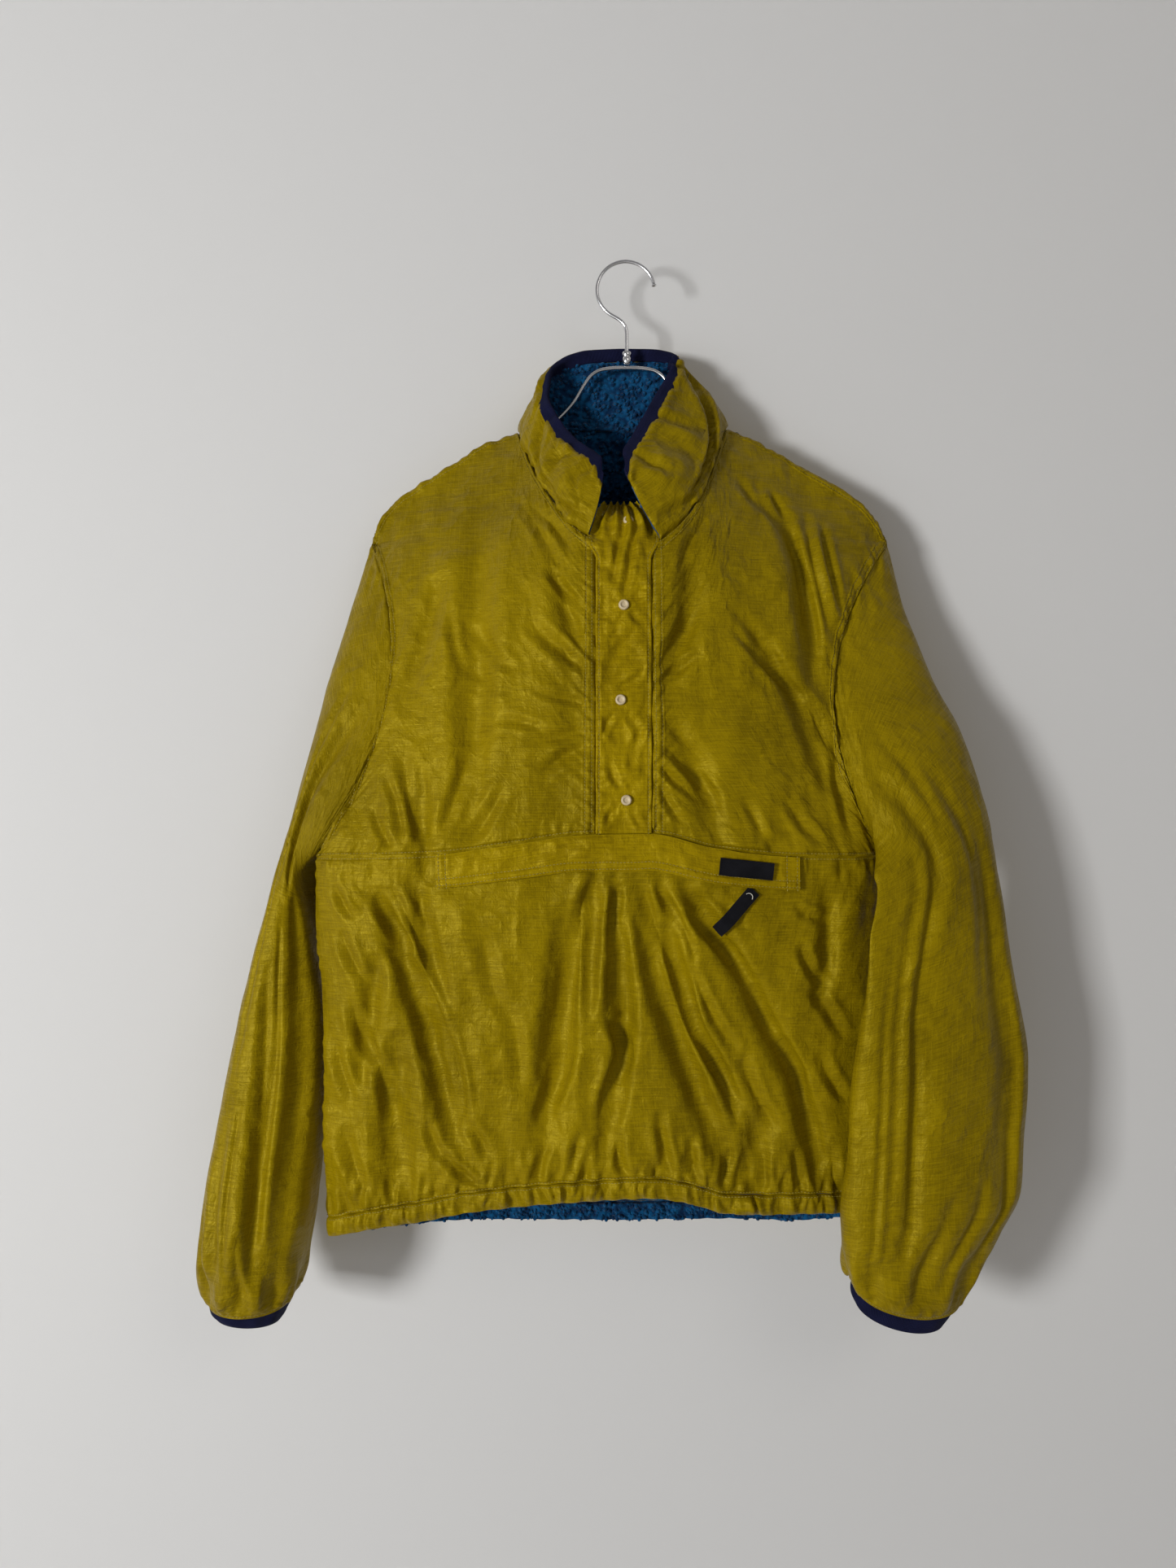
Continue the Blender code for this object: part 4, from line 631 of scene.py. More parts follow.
def ripstop_group() -> Tree:
    """The weave of the nylon: uneven threads both ways and a faint grid of thicker ones.

    Returns:
        A group with inputs Vector, Thread spacing and Grid spacing and outputs Tone and Height.
    """
    found = bpy.data.node_groups.get("ripstop weave")
    if found is not None:
        return found
    tree, start, end = new_group("ripstop weave", "Shader",
                                 {"Vector": "Vector", "Thread spacing": 0.0012, "Grid spacing": 0.0052},
                                 {"Tone": "Float", "Height": "Float"})
    split = place_node(tree, "ShaderNodeSeparateXYZ", {"0": start.outputs["Vector"]})
    threads, grid = [], []
    for axis, stretch in enumerate(((1.0, 0.06, 1.0), (0.06, 1.0, 1.0))):
        spaced = place_node(tree, "ShaderNodeVectorMath", {"0": start.outputs["Vector"], "1": stretch},
                            operation="MULTIPLY").outputs[0]
        scale = calculate(tree, "DIVIDE", 1.0, start.outputs["Thread spacing"])
        slub = place_node(tree, "ShaderNodeTexNoise", Vector=spaced, Scale=scale, Detail=1.5, Roughness=0.6)
        threads.append(slub.outputs[0])
        cell = calculate(tree, "DIVIDE", split.outputs[axis], start.outputs["Grid spacing"])
        line = calculate(tree, "LESS_THAN", calculate(tree, "PINGPONG", cell, 0.5), 0.045)
        patchy = place_node(tree, "ShaderNodeTexNoise", Vector=spaced, Scale=190.0, Detail=1.0)
        grid.append(calculate(tree, "MULTIPLY", line, patchy.outputs[0]))
    woven = calculate(tree, "MULTIPLY_ADD", threads[0], 0.6, calculate(tree, "MULTIPLY", threads[1], 1.4))
    lines = calculate(tree, "MAXIMUM", *grid)
    for name, share in (("Tone", 0.55), ("Height", 0.6)):
        tree.links.new(calculate(tree, "MULTIPLY_ADD", lines, share, woven), end.inputs[name])
    return tree


def mottle_group() -> Tree:
    """Slow colour change of dyed cloth: wide clouds with faint blotches, 0 to 1."""
    found = bpy.data.node_groups.get("dye mottle")
    if found is not None:
        return found
    tree, start, end = new_group("dye mottle", "Shader",
                                 {"Vector": "Vector", "Cloud scale": 14.0, "Blotch scale": 120.0},
                                 {"Mask": "Float"})
    clouds, blotches = [place_node(tree, "ShaderNodeTexNoise", Vector=start.outputs["Vector"], Detail=detail,
                                   Scale=start.outputs[scale]).outputs[0]
                        for scale, detail in (("Cloud scale", 3.0), ("Blotch scale", 2.0))]
    mask = calculate(tree, "MULTIPLY_ADD", blotches, 0.3, calculate(tree, "MULTIPLY", clouds, 0.7))
    tree.links.new(mask, end.inputs["Mask"])
    return tree


@dataclass(frozen=True)
class Finish:
    """A finish of the garment: its name, the name of a record's slot (not used), colours and gloss."""

    name: str
    slot: str
    dark: Colour
    light: Colour
    roughness: float
    metallic: float = 0.0
    sheen: float = 0.0
    specular: float = 0.5
    glint: Colour = (1.0, 1.0, 1.0, 1.0)

    def material(self) -> bpy.types.Material:
        """Return the material, made on first use."""
        found = bpy.data.materials.get(self.name)
        if found is not None:
            return found
        material = bpy.data.materials.new(self.name)
        material.use_nodes = True
        tree = material.node_tree
        shader = tree.nodes["Principled BSDF"]
        for title, value in (("Roughness", self.roughness), ("Metallic", self.metallic),
                             ("Sheen Weight", self.sheen), ("Sheen Roughness", 0.4),
                             ("Specular IOR Level", self.specular), ("Specular Tint", self.glint)):
            shader.inputs[title].default_value = value
        self.dress(tree, shader)
        return material

    def mottle(self, tree: Tree, clouds: float, blotches: float) -> Socket:
        """Place the mottle group on Object coordinates."""
        where = tree.nodes.new("ShaderNodeTexCoord").outputs["Object"]
        values = {"Vector": where, "Cloud scale": clouds, "Blotch scale": blotches}
        return place_node(tree, "ShaderNodeGroup", values, node_tree=mottle_group()).outputs["Mask"]

    def colour(self, tree: Tree, shader: Node, amount: Socket) -> None:
        """Colour the surface between dark and light by an amount that changes over it."""
        ramp = place_node(tree, "ShaderNodeValToRGB", {"0": amount})
        for element, place, tone in zip(ramp.color_ramp.elements, (0.30, 0.70), (self.dark, self.light)):
            element.position = place
            element.color = tone
        tree.links.new(ramp.outputs[0], shader.inputs["Base Color"])

    def bump(self, tree: Tree, shader: Node,
             *heights: Tuple[Socket, float, float]) -> None:
        """Raise the surface by heights, each with its distance in metres and its strength."""
        under: Dict[str, object] = {}
        for height, distance, strength in heights:
            node = place_node(tree, "ShaderNodeBump", under, Height=height, Distance=distance,
                              Strength=strength)
            under = {"Normal": node.outputs[0]}
        tree.links.new(under["Normal"], shader.inputs["Normal"])

    def dress(self, tree: Tree, shader: Node) -> None:
        """Add the colour and the relief of this finish."""
        self.colour(tree, shader, self.mottle(tree, 30.0, 400.0))


@dataclass(frozen=True)
class Nylon(Finish):
    """Thin ripstop nylon: woven tone on the cut's own UV map, fine crinkle and facets of crumple."""

    crinkle: float = 0.0016
    facet: float = 0.0022
    thread: float = 0.00022

    def dress(self, tree: Tree, shader: Node) -> None:
        """Weave and crinkle on the UV map, mottle on Object coordinates."""
        cut = place_node(tree, "ShaderNodeUVMap", uv_map="cut").outputs[0]
        weave = place_node(tree, "ShaderNodeGroup", node_tree=ripstop_group(), Vector=cut)
        thread = calculate(tree, "SUBTRACT", weave.outputs["Tone"], 1.0)
        self.colour(tree, shader, calculate(tree, "MULTIPLY_ADD", thread, 0.55, self.mottle(tree, 9.0, 70.0)))
        rough = calculate(tree, "MULTIPLY_ADD", thread, -0.22, self.roughness)
        tree.links.new(rough, shader.inputs["Roughness"])
        fine = place_node(tree, "ShaderNodeTexNoise", Vector=cut, Scale=130.0, Detail=3.0, Roughness=0.55,
                          Distortion=0.6)
        folded = calculate(tree, "ABSOLUTE", calculate(tree, "SUBTRACT", fine.outputs[0], 0.5))
        drift = place_node(tree, "ShaderNodeTexNoise", Vector=cut, Scale=26.0, Detail=2.0)
        shift = {"0": drift.outputs[1], "1": (0.030, 0.030, 0.0), "2": cut}
        moved = place_node(tree, "ShaderNodeVectorMath", shift, operation="MULTIPLY_ADD")
        facets = place_node(tree, "ShaderNodeTexVoronoi", Vector=moved.outputs[0], Scale=42.0, Detail=1.0,
                            Roughness=0.5, feature="F1")
        calm = place_node(tree, "ShaderNodeMapRange", {"Value": drift.outputs[0], "From Min": 0.40,
                                                       "From Max": 0.62, "To Min": 0.05, "To Max": 1.0})
        crumple = calculate(tree, "MULTIPLY", facets.outputs["Distance"], calm.outputs[0])
        self.bump(tree, shader, (crumple, self.facet, 0.8), (folded, self.crinkle, 0.8),
                  (weave.outputs["Height"], self.thread, 0.7))


@dataclass(frozen=True)
class Pile(Finish):
    """Curly pile: clumped relief, and painted shade that darkens the roots between the curls."""

    clump: float = 215.0

    def dress(self, tree: Tree, shader: Node) -> None:
        """Clumps of curls on Object coordinates, with painted shade darkening the colour between them."""
        where = tree.nodes.new("ShaderNodeTexCoord").outputs["Object"]
        curls = place_node(tree, "ShaderNodeTexVoronoi", Vector=where, Scale=self.clump, feature="SMOOTH_F1")
        hairs = place_node(tree, "ShaderNodeTexNoise", Vector=where, Scale=1400.0, Detail=2.0)
        tip = calculate(tree, "SUBTRACT", 0.85, curls.outputs["Distance"])
        height = calculate(tree, "MULTIPLY_ADD", hairs.outputs[0], 0.35, tip)
        mask = self.mottle(tree, 40.0, 500.0)
        # Painted shade: the colour follows the curls' height, so the roots between them come out darker.
        lit = calculate(tree, "MULTIPLY_ADD", calculate(tree, "SUBTRACT", height, 0.6), 1.1, mask)
        self.colour(tree, shader, lit)
        self.bump(tree, shader, (height, 0.0024, 1.0))


@dataclass(frozen=True)
class Knit(Finish):
    """Fine rib knit of the bindings: ribs across, broken into stitches."""

    rib: float = 0.0011
    loop: float = 0.0009

    def dress(self, tree: Tree, shader: Node) -> None:
        """Ribs and loops on the cut's own UV map."""
        ribs, loops = thread_waves(tree, self.rib, self.loop)
        height = calculate(tree, "MULTIPLY_ADD", loops, 0.35, ribs)
        mask = self.mottle(tree, 60.0, 600.0)
        self.colour(tree, shader, calculate(tree, "MULTIPLY_ADD", height, 0.08, mask))
        self.bump(tree, shader, (height, 0.00022, 1.0))


@dataclass(frozen=True)
class Webbing(Finish):
    """Flat woven tape with threads both ways."""

    warp: float = 0.0009
    weft: float = 0.0007

    def dress(self, tree: Tree, shader: Node) -> None:
        """Crossed threads on the cut's own UV map."""
        height = calculate(tree, "MULTIPLY", *thread_waves(tree, self.warp, self.weft))
        mask = self.mottle(tree, 80.0, 700.0)
        self.colour(tree, shader, calculate(tree, "MULTIPLY_ADD", height, 0.12, mask))
        self.bump(tree, shader, (height, 0.0002, 1.0))


@dataclass(frozen=True)
class Metal(Finish):
    """Enamelled or plated metal: dulled patches change the gloss and the relief a little."""

    clouds: float = 90.0
    blotches: float = 1500.0
    dulling: float = 0.22
    polish: float = 0.06
    dent: float = 0.00005

    def dress(self, tree: Tree, shader: Node) -> None:
        """Patches on Object coordinates."""
        mask = self.mottle(tree, self.clouds, self.blotches)
        self.colour(tree, shader, mask)
        rough = calculate(tree, "MULTIPLY_ADD", mask, self.dulling, self.roughness - self.polish)
        tree.links.new(rough, shader.inputs["Roughness"])
        self.bump(tree, shader, (mask, self.dent, 1.0))


GOLD: Colour = (1.0, 0.78, 0.08, 1.0)
NYLON = Nylon("mustard ripstop nylon", "mustard_nylon", (0.150, 0.101, 0.0006, 1.0),
              (0.250, 0.172, 0.0010, 1.0), 0.46, specular=0.38, glint=GOLD)
# Painted light: a lighter copy of the same mustard nylon, used for the placket and the pocket flap.
PAINTED_LIGHT_NYLON = Nylon("mustard nylon with painted light", "mustard_nylon", (0.185, 0.122, 0.0005, 1.0),
                     (0.300, 0.205, 0.0010, 1.0), 0.46, specular=0.38, glint=GOLD)
PILE = Pile("blue curly pile", "blue_fleece", (0.0015, 0.022, 0.070, 1.0), (0.004, 0.075, 0.190, 1.0), 0.95,
            sheen=0.10, specular=0.1)
KNIT = Knit("navy rib knit", "navy_knit", (0.004, 0.005, 0.026, 1.0), (0.008, 0.010, 0.044, 1.0), 0.85,
            specular=0.12)
WEBBING = Webbing("black woven tape", "black_webbing", (0.003, 0.003, 0.005, 1.0), (0.010, 0.010, 0.014, 1.0),
                  0.75, specular=0.15)
ENAMEL = Metal("cream enamel", "cream_enamel", (0.44, 0.34, 0.19, 1.0), (0.62, 0.51, 0.33, 1.0), 0.36,
               clouds=300.0, blotches=900.0, dulling=0.25, polish=0.1, dent=0.00008)
WIRE = Metal("plated wire", "bright_wire", (0.62, 0.62, 0.64, 1.0), (0.82, 0.82, 0.84, 1.0), 0.16,
             metallic=1.0)
THREAD = Finish("mustard thread", "mustard_nylon", (0.20, 0.15, 0.010, 1.0), (0.34, 0.26, 0.030, 1.0), 0.6)
PALE_THREAD = Finish("pale thread", "cream_enamel", (0.50, 0.47, 0.40, 1.0), (0.70, 0.68, 0.62, 1.0), 0.6)


# ---------------------------------------------------------------- meshes
def directions(grid: Array, closed: bool, inside: Array) -> Array:
    """Unit vectors at each point of a grid that lead into the cloth's hollow."""
    if closed:
        padded = np.concatenate((grid[:, -1:], grid, grid[:, :1]), axis=1)
        across = (padded[:, 2:] - padded[:, :-2]) / 2
    else:
        across = np.gradient(grid, axis=1)
    normal = np.cross(np.gradient(grid, axis=0), across)
    normal /= np.linalg.norm(normal, axis=2, keepdims=True) + 1e-12
    return -normal if np.sum(normal * (grid - inside)) > 0 else normal


def run_lengths(grid: Array, axis: int) -> Array:
    """Length along a grid's rows (axis 1) or columns (axis 0) from their first point."""
    steps = np.linalg.norm(np.diff(grid, axis=axis), axis=2)
    total = np.cumsum(steps, axis=axis)
    pad = np.zeros_like(np.take(total, [0], axis=axis))
    return np.concatenate((pad, total), axis=axis)


def number_grid(rows: int, columns: int, first: int = 0, closed: bool = False) -> Array:
    """Vertex numbers of a grid; a closed one repeats its first column at the end."""
    ids = first + np.arange(rows * columns).reshape(rows, columns)
    return np.concatenate((ids, ids[:, :1]), axis=1) if closed else ids


def quads_of(ids: Array) -> Array:
    """The four corners of each face between the rows and columns of a numbered grid."""
    return np.stack((ids[:-1, :-1], ids[:-1, 1:], ids[1:, 1:], ids[1:, :-1]), axis=-1)


def link_mesh(name: str, points: Array, faces: Sequence[Sequence[int]], finishes: Sequence[Finish],
              indices: Optional[Array] = None, cut: Optional[Array] = None,
              crease: float = math.radians(75)) -> Thing:
    """Make a mesh object with its materials.

    Args:
        name: the piece's name.
        points: vertices.
        faces: vertex numbers of each face.
        finishes: one for each material slot.
        indices: the slot of each face.
        cut: UV coordinates in metres for each corner, in the order of the faces.
        crease: edges that turn by more than this are sharp.

    Returns:
        The new object, at the origin.
    """
    mesh = bpy.data.meshes.new(name)
    totals = np.array([len(face) for face in faces])
    corners = np.concatenate([np.asarray(face) for face in faces])
    mesh.vertices.add(len(points))
    mesh.vertices.foreach_set("co", np.asarray(points, np.float32).ravel())
    mesh.loops.add(len(corners))
    mesh.loops.foreach_set("vertex_index", corners.astype(np.int32))
    mesh.polygons.add(len(totals))
    mesh.polygons.foreach_set("loop_start", (np.cumsum(totals) - totals).astype(np.int32))
    if indices is not None:
        mesh.polygons.foreach_set("material_index", indices.astype(np.int32))
    mesh.update(calc_edges=True)
    if cut is not None:
        layer = mesh.uv_layers.new(name="cut")
        layer.data.foreach_set("uv", cut.astype(np.float32).ravel())
    mesh.validate()
    mesh.shade_smooth()
    mesh.set_sharp_from_angle(angle=crease)
    thing = bpy.data.objects.new(name, mesh)
    bpy.context.collection.objects.link(thing)
    for finish in finishes:
        mesh.materials.append(finish.material())
    return thing


def face_outward(thing: Thing) -> Thing:
    """Turn the faces of a closed mesh outward and return it."""
    bm = bmesh.new()
    bm.from_mesh(thing.data)
    volume = bm.calc_volume(signed=True)
    bm.free()
    if volume < 0:
        thing.data.flip_normals()
    return thing


class Held(Enum):
    """How a sheet of cloth is held."""

    HUNG = "hung"
    GATHERED = "gathered"
    LAID = "laid"


@dataclass(frozen=True)
class Cut:
    """A piece's flat cut: width, length and area, how it is held and what it hangs from or lies on; none of
    these is used.
    """

    width: float
    length: float
    area: float
    held: Held
    rests_on: Tuple[str, ...]

    def declare(self, thing: Thing) -> None:
        """Do nothing: the cut is not stated."""


CUTS: Dict[str, Cut] = {
    "front_left": Cut(0.359, 0.437, 0.080, Held.HUNG, ("hanger_arms",)),
    "front_right": Cut(0.380, 0.441, 0.076, Held.HUNG, ("hanger_arms",)),
    "back": Cut(0.595, 0.772, 0.383, Held.HUNG, ("hanger_arms",)),
    "lower_front": Cut(0.586, 0.334, 0.178, Held.HUNG, ("front_left", "front_right")),
    "placket": Cut(0.058, 0.318, 0.0155, Held.HUNG, ("front_left", "front_right")),
    "hem_band_front": Cut(0.580, 0.019, 0.0105, Held.GATHERED, ("lower_front",)),
    "hem_band_back": Cut(0.600, 0.019, 0.0110, Held.GATHERED, ("back",)),
    "sleeve_left": Cut(0.690, 0.726, 0.157, Held.HUNG, ("front_left", "back")),
    "sleeve_right": Cut(0.698, 0.736, 0.206, Held.HUNG, ("front_right", "back")),
    "cuff_left": Cut(0.221, 0.024, 0.0039, Held.GATHERED, ("sleeve_left",)),
    "cuff_right": Cut(0.246, 0.034, 0.0050, Held.GATHERED, ("sleeve_right",)),
    "collar": Cut(0.580, 0.086, 0.037, Held.HUNG, ("front_left", "front_right", "back")),
    "collar_lining": Cut(0.560, 0.070, 0.027, Held.HUNG, ("collar",)),
    "collar_binding": Cut(0.480, 0.018, 0.0082, Held.HUNG, ("collar",)),
    "lining_back_neck": Cut(0.201, 0.110, 0.0196, Held.HUNG, ("back",)),
    "lining_back_hem": Cut(0.521, 0.019, 0.0092, Held.GATHERED, ("hem_band_back",)),
    "pocket_flap": Cut(0.330, 0.034, 0.0104, Held.HUNG, ("lower_front",)),
    "label_patch": Cut(0.049, 0.0165, 0.0008, Held.LAID, ("pocket_flap",)),
    "pull_tab": Cut(0.0122, 0.047, 0.00057, Held.HUNG, ("lower_front",)),
}


def ride(thing: Thing, finish: Finish, *nodes: str) -> Thing:
    """Put a piece on the body and let it stand for its solids."""
    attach(thing, BODY)
    if nodes:
        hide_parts(*nodes)
        if nodes[0] in CUTS:
            CUTS[nodes[0]].declare(thing)
    return thing


class Border(Enum):
    """The four borders of a panel's grid."""

    FIRST = "first"
    LAST = "last"
    TOP = "top"
    BOTTOM = "bottom"


@dataclass
class Seam:
    """A sewn border: its groove, its puckers and its rows of topstitching."""

    border: Border
    groove: float = 0.0008
    pucker: float = 0.0011
    wave: float = 0.010
    reach: float = 0.012
    rows: Tuple[float, ...] = ()
    band: float = 0.0
    start: float = 0.0
    stop: float = 1.0
    seed: int = 1


def both_sides(seed: int, **sizes: object) -> Tuple[Seam, Seam]:
    """The same seam on the first and on the last border, each with its own puckers."""
    return Seam(Border.FIRST, seed=seed, **sizes), Seam(Border.LAST, seed=seed + 1, **sizes)


@dataclass
class Crinkle:
    """Small creases of a panel: the size of a patch along x, y and z, height, and share of fine ones."""

    seed: int
    grain: Tuple[float, float, float] = (0.020, 0.020, 0.034)
    height: float = 0.0016
    fine: float = 0.35
    calm: float = 0.35


@dataclass
class Panel:
    """A fine grid of points on a form, pressed and puckered, then closed to a shell with its lining."""

    name: str
    base: Array
    inside: Array
    closed: bool = False
    wall: float = 0.0042
    face: Finish = NYLON
    lining: Finish = PILE
    stitches: List[Array] = field(default_factory=list)
    sunk: Amount = 0.0
    level: bool = False
    seams: Tuple[Seam, ...] = ()
    thread_rise: float = 0.00012

    def __post_init__(self) -> None:
        """Measure the grid."""
        self.inward = directions(self.base, self.closed, self.inside)
        self.across = run_lengths(self.base, 1)
        self.down = run_lengths(self.base, 0)
        self.relief = np.zeros(self.base.shape[:2])
        self.points = self.base.copy()

    def from_border(self, border: Border) -> Tuple[Array, Array]:
        """Distance of each point from a border, and its place along it in metres."""
        if border is Border.FIRST:
            return self.across, self.down
        if border is Border.LAST:
            return self.across[:, -1:] - self.across, self.down
        if border is Border.TOP:
            return self.down, self.across
        return self.down[-1:] - self.down, self.across

    def press(self, marks: Callable[[Array, Array, Table], Array], table: Table, gain: float,
              reach: float) -> None:
        """Press folds or creases into the panel, fading out toward its borders."""
        self.relief += gain * marks(self.base[..., 0], self.base[..., 2], table) * self.edge_fade(reach)

    def crinkled(self, crinkle: Crinkle) -> None:
        """Press small creases into the panel."""
        grain = np.array(crinkle.grain)
        where = self.base / grain
        warp = np.stack([noise(where * 0.6, crinkle.seed + 40 + k) for k in range(3)], axis=-1)
        wave = noise(where * 0.62 + warp * 0.5, crinkle.seed + 4)
        broad = noise(where + warp * 0.9, crinkle.seed)
        small = noise(where * 2.1 + warp * 1.4, crinkle.seed + 1)
        patch = noise(self.base / 0.085, crinkle.seed + 3)
        active = crinkle.calm + (1 - crinkle.calm) * ease((patch + 0.15) / 0.45)
        trough = 0.24 - np.sqrt(broad * broad + 0.0020)
        vein = 0.20 - np.sqrt(small * small + 0.0016)
        relief = crinkle.height * (1.9 * wave + active * (1.8 * trough + crinkle.fine * 1.9 * vein))
        self.relief += relief * self.edge_fade(0.006)

    def held_down(self, mask: Array) -> None:
        """Keep the cloth from rising where another piece lies on it."""
        self.relief = self.relief * (1 - mask) + np.maximum(self.relief * 0.6, 0.0) * mask

    def edge_fade(self, reach: float) -> Array:
        """1 inside the panel, 0 on its borders."""
        fade = np.ones(self.relief.shape)
        borders = (Border.TOP, Border.BOTTOM) if self.closed else tuple(Border)
        for border in borders:
            distance, _ = self.from_border(border)
            fade = fade * ease(distance / reach)
        return fade

    def sewn(self, *seams: Seam) -> None:
        """Pucker the cloth along its seams and sink their stitch rows."""
        self.seams = seams
        for seam in seams:
            distance, place = self.from_border(seam.border)
            where = np.stack((place / seam.wave, distance / 0.030, np.zeros_like(place)), axis=-1)
            ripple = noise(where, seam.seed) + 0.6 * noise(where * 1.9, seam.seed + 1)
            near = np.exp(-distance / seam.reach) * (1 - bell(distance / 0.0022))
            self.relief += seam.pucker * 1.6 * ripple * near
            self.relief += seam.groove * bell(distance / 0.0018)
            if seam.band:
                outer = seam.rows[-1] + 0.0012
                self.relief -= seam.band * (1 - ease((distance - outer) / 0.0014)) * ease(distance / 0.0012)
            for row in seam.rows:
                self.relief += 0.0013 * bell((distance - row) / 0.0011)

    def settle(self, limit: Amount) -> None:
        """Move the points by the relief, which never reaches through to the lining."""
        self.relief = np.where(self.relief > 0, limit * np.tanh(self.relief / limit), self.relief)
        self.points = self.base + self.inward * self.relief[..., None]

    def make_up(self, limit: Amount) -> "Panel":
        """Settle the relief, keep the seams' stitch lines for the thread and put the shell on the body."""
        self.settle(limit)
        for seam in self.seams:
            for row in seam.rows:
                self.stitches.append(self.stitch_line(seam.border, row, seam.start, seam.stop))
        ride(self.shell(), self.face, self.name)
        return self

    def stitch_line(self, border: Border, distance: float, start: float = 0.0, stop: float = 1.0) -> Array:
        """Points on the face at a distance from a border, along it."""
        away, _ = self.from_border(border)
        sideways = border in (Border.FIRST, Border.LAST)
        lines = away if sideways else away.T
        grid = self.points if sideways else self.points.transpose(1, 0, 2)
        lift = self.inward if sideways else self.inward.transpose(1, 0, 2)
        count = len(lines)
        found = []
        for i in range(int(start * (count - 1)), int(stop * (count - 1)) + 1):
            order = np.argsort(lines[i])
            face = (grid[i] - lift[i] * self.thread_rise)[order]
            found.append([np.interp(distance, lines[i][order], face[:, k]) for k in range(3)])
        return np.array(found)


    def deepest_near(self) -> Array:
        """The deepest relief within one lining step of each point."""
        deepest = np.maximum(self.relief, 0.0) + self.sunk
        for axis in (0, 1):
            mode = "wrap" if self.closed and axis == 1 else "edge"
            pad = [(LINING_STEP, LINING_STEP) if k == axis else (0, 0) for k in (0, 1)]
            padded = np.pad(deepest, pad, mode=mode)
            size = deepest.shape[axis]
            deepest = np.max([np.take(padded, range(k, k + size), axis=axis)
                              for k in range(2 * LINING_STEP + 1)], axis=0)
        return deepest - self.sunk

    def report(self) -> None:
        """Log the panel's flat size: its widest row, its longest column and the area of its face."""
        ring = np.concatenate((self.base, self.base[:, :1]), axis=1) if self.closed else self.base
        sides = np.cross(ring[1:, 1:] - ring[:-1, :-1], ring[1:, :-1] - ring[:-1, 1:])
        area = 0.5 * np.linalg.norm(sides, axis=2).sum()
        width, length = run_lengths(ring, 1)[:, -1].max(), self.down[-1].max()
        LOG.info("%s: %.3f x %.3f m, %.4f m2", self.name, width, length, area)

    def shell(self) -> Thing:
        """Close the face with a coarser lining and return the object."""
        self.report()
        step = LINING_STEP
        rows, columns = self.points.shape[:2]
        back = (self.base + self.inward * (self.wall + self.deepest_near())[..., None])[::step, ::step]
        points = np.concatenate((self.points.reshape(-1, 3), back.reshape(-1, 3)))
        face_id = number_grid(rows, columns, closed=self.closed)
        back_id = number_grid(*back.shape[:2], first=rows * columns, closed=self.closed)
        fine = quads_of(face_id).reshape(-1, 4)
        inner = quads_of(back_id)[..., [0, 3, 2, 1]].reshape(-1, 4)
        faces: List[List[int]] = fine.tolist() + inner.tolist()
        slots = [0] * len(fine) + [1] * len(inner)
        rims = [(face_id[0], back_id[0], True), (face_id[-1], back_id[-1], False)]
        if not self.closed:
            rims += [(face_id[:, 0], back_id[:, 0], False), (face_id[:, -1], back_id[:, -1], True)]
        for line, foot, turned in rims:
            for k in range(len(foot) - 1):
                rim = line[k * step:(k + 1) * step + 1].tolist() + [foot[k + 1], foot[k]]
                faces.append(rim[::-1] if turned else rim)
        slots += [0] * (len(faces) - len(slots))
        cut = self.cut_map(faces, len(fine))
        i, j = rows // 2, columns // 2
        here = self.points[i, j]
        outward = np.cross(self.points[i, j + 1] - here, self.points[i + 1, j] - here)
        if np.dot(outward, self.inward[i, j]) > 0:
            faces = [face[::-1] for face in faces]
            ends = np.cumsum([len(face) for face in faces])
            cut = np.concatenate([corners[::-1] for corners in np.split(cut, ends[:-1])])
        return link_mesh(self.name + "_cloth", points, faces, (self.face, self.lining), np.array(slots), cut)

    def cut_map(self, faces: List[List[int]], count: int) -> Array:
        """UV coordinates in metres of every corner: lengths across and down the cut.

        Args:
            faces: vertex numbers of every face, those of the fine face first.
            count: how many of them belong to the fine face.

        Returns:
            One pair for each corner, in the order of the faces.
        """
        rows, columns = self.points.shape[:2]
        across, down = self.across, self.down
        if self.closed:
            close = np.linalg.norm(self.base[:, 0] - self.base[:, -1], axis=1)[:, None]
            across = np.concatenate((across, across[:, -1:] + close), axis=1)
            down = np.broadcast_to(down.mean(axis=1, keepdims=True), across.shape)
        if self.level:
            centre = np.s_[:, columns // 2:columns // 2 + 1]
            flat = np.stack((across - across[centre] + self.base[centre][..., 0], self.base[..., 2]), axis=-1)
        else:
            flat = np.stack((across - across[:, -1:] / 2 + across[rows // 2, -1] / 2, -down), axis=-1)
        fine = flat.reshape(-1, 2)[quads_of(number_grid(*flat.shape[:2]))].reshape(-1, 2)
        own = flat[:, :columns]
        lookup = np.concatenate((own.reshape(-1, 2), own[::LINING_STEP, ::LINING_STEP].reshape(-1, 2)))
        return np.concatenate([fine] + [lookup[face] for face in faces[count:]])


# ---------------------------------------------------------------- thread and tufts by Geometry Nodes
def vary(tree: Tree, seed: Socket, low: float, high: float) -> Socket:
    """A random size for each instance."""
    values = {"2": low, "3": high, "Seed": seed}
    return place_node(tree, "FunctionNodeRandomValue", values, data_type="FLOAT").outputs[1]


def lay_out(tree: Tree, end: Node, finish: Finish,
            values: Dict[str, Socket]) -> None:
    """Put instances on points, realise them, give them their material and lead them out of the tree."""
    placed = place_node(tree, "GeometryNodeInstanceOnPoints", values)
    real = place_node(tree, "GeometryNodeRealizeInstances", Geometry=placed.outputs[0])
    dressed = place_node(tree, "GeometryNodeSetMaterial", Geometry=real.outputs[0],
                         Material=finish.material())
    tree.links.new(dressed.outputs[0], end.inputs[0])


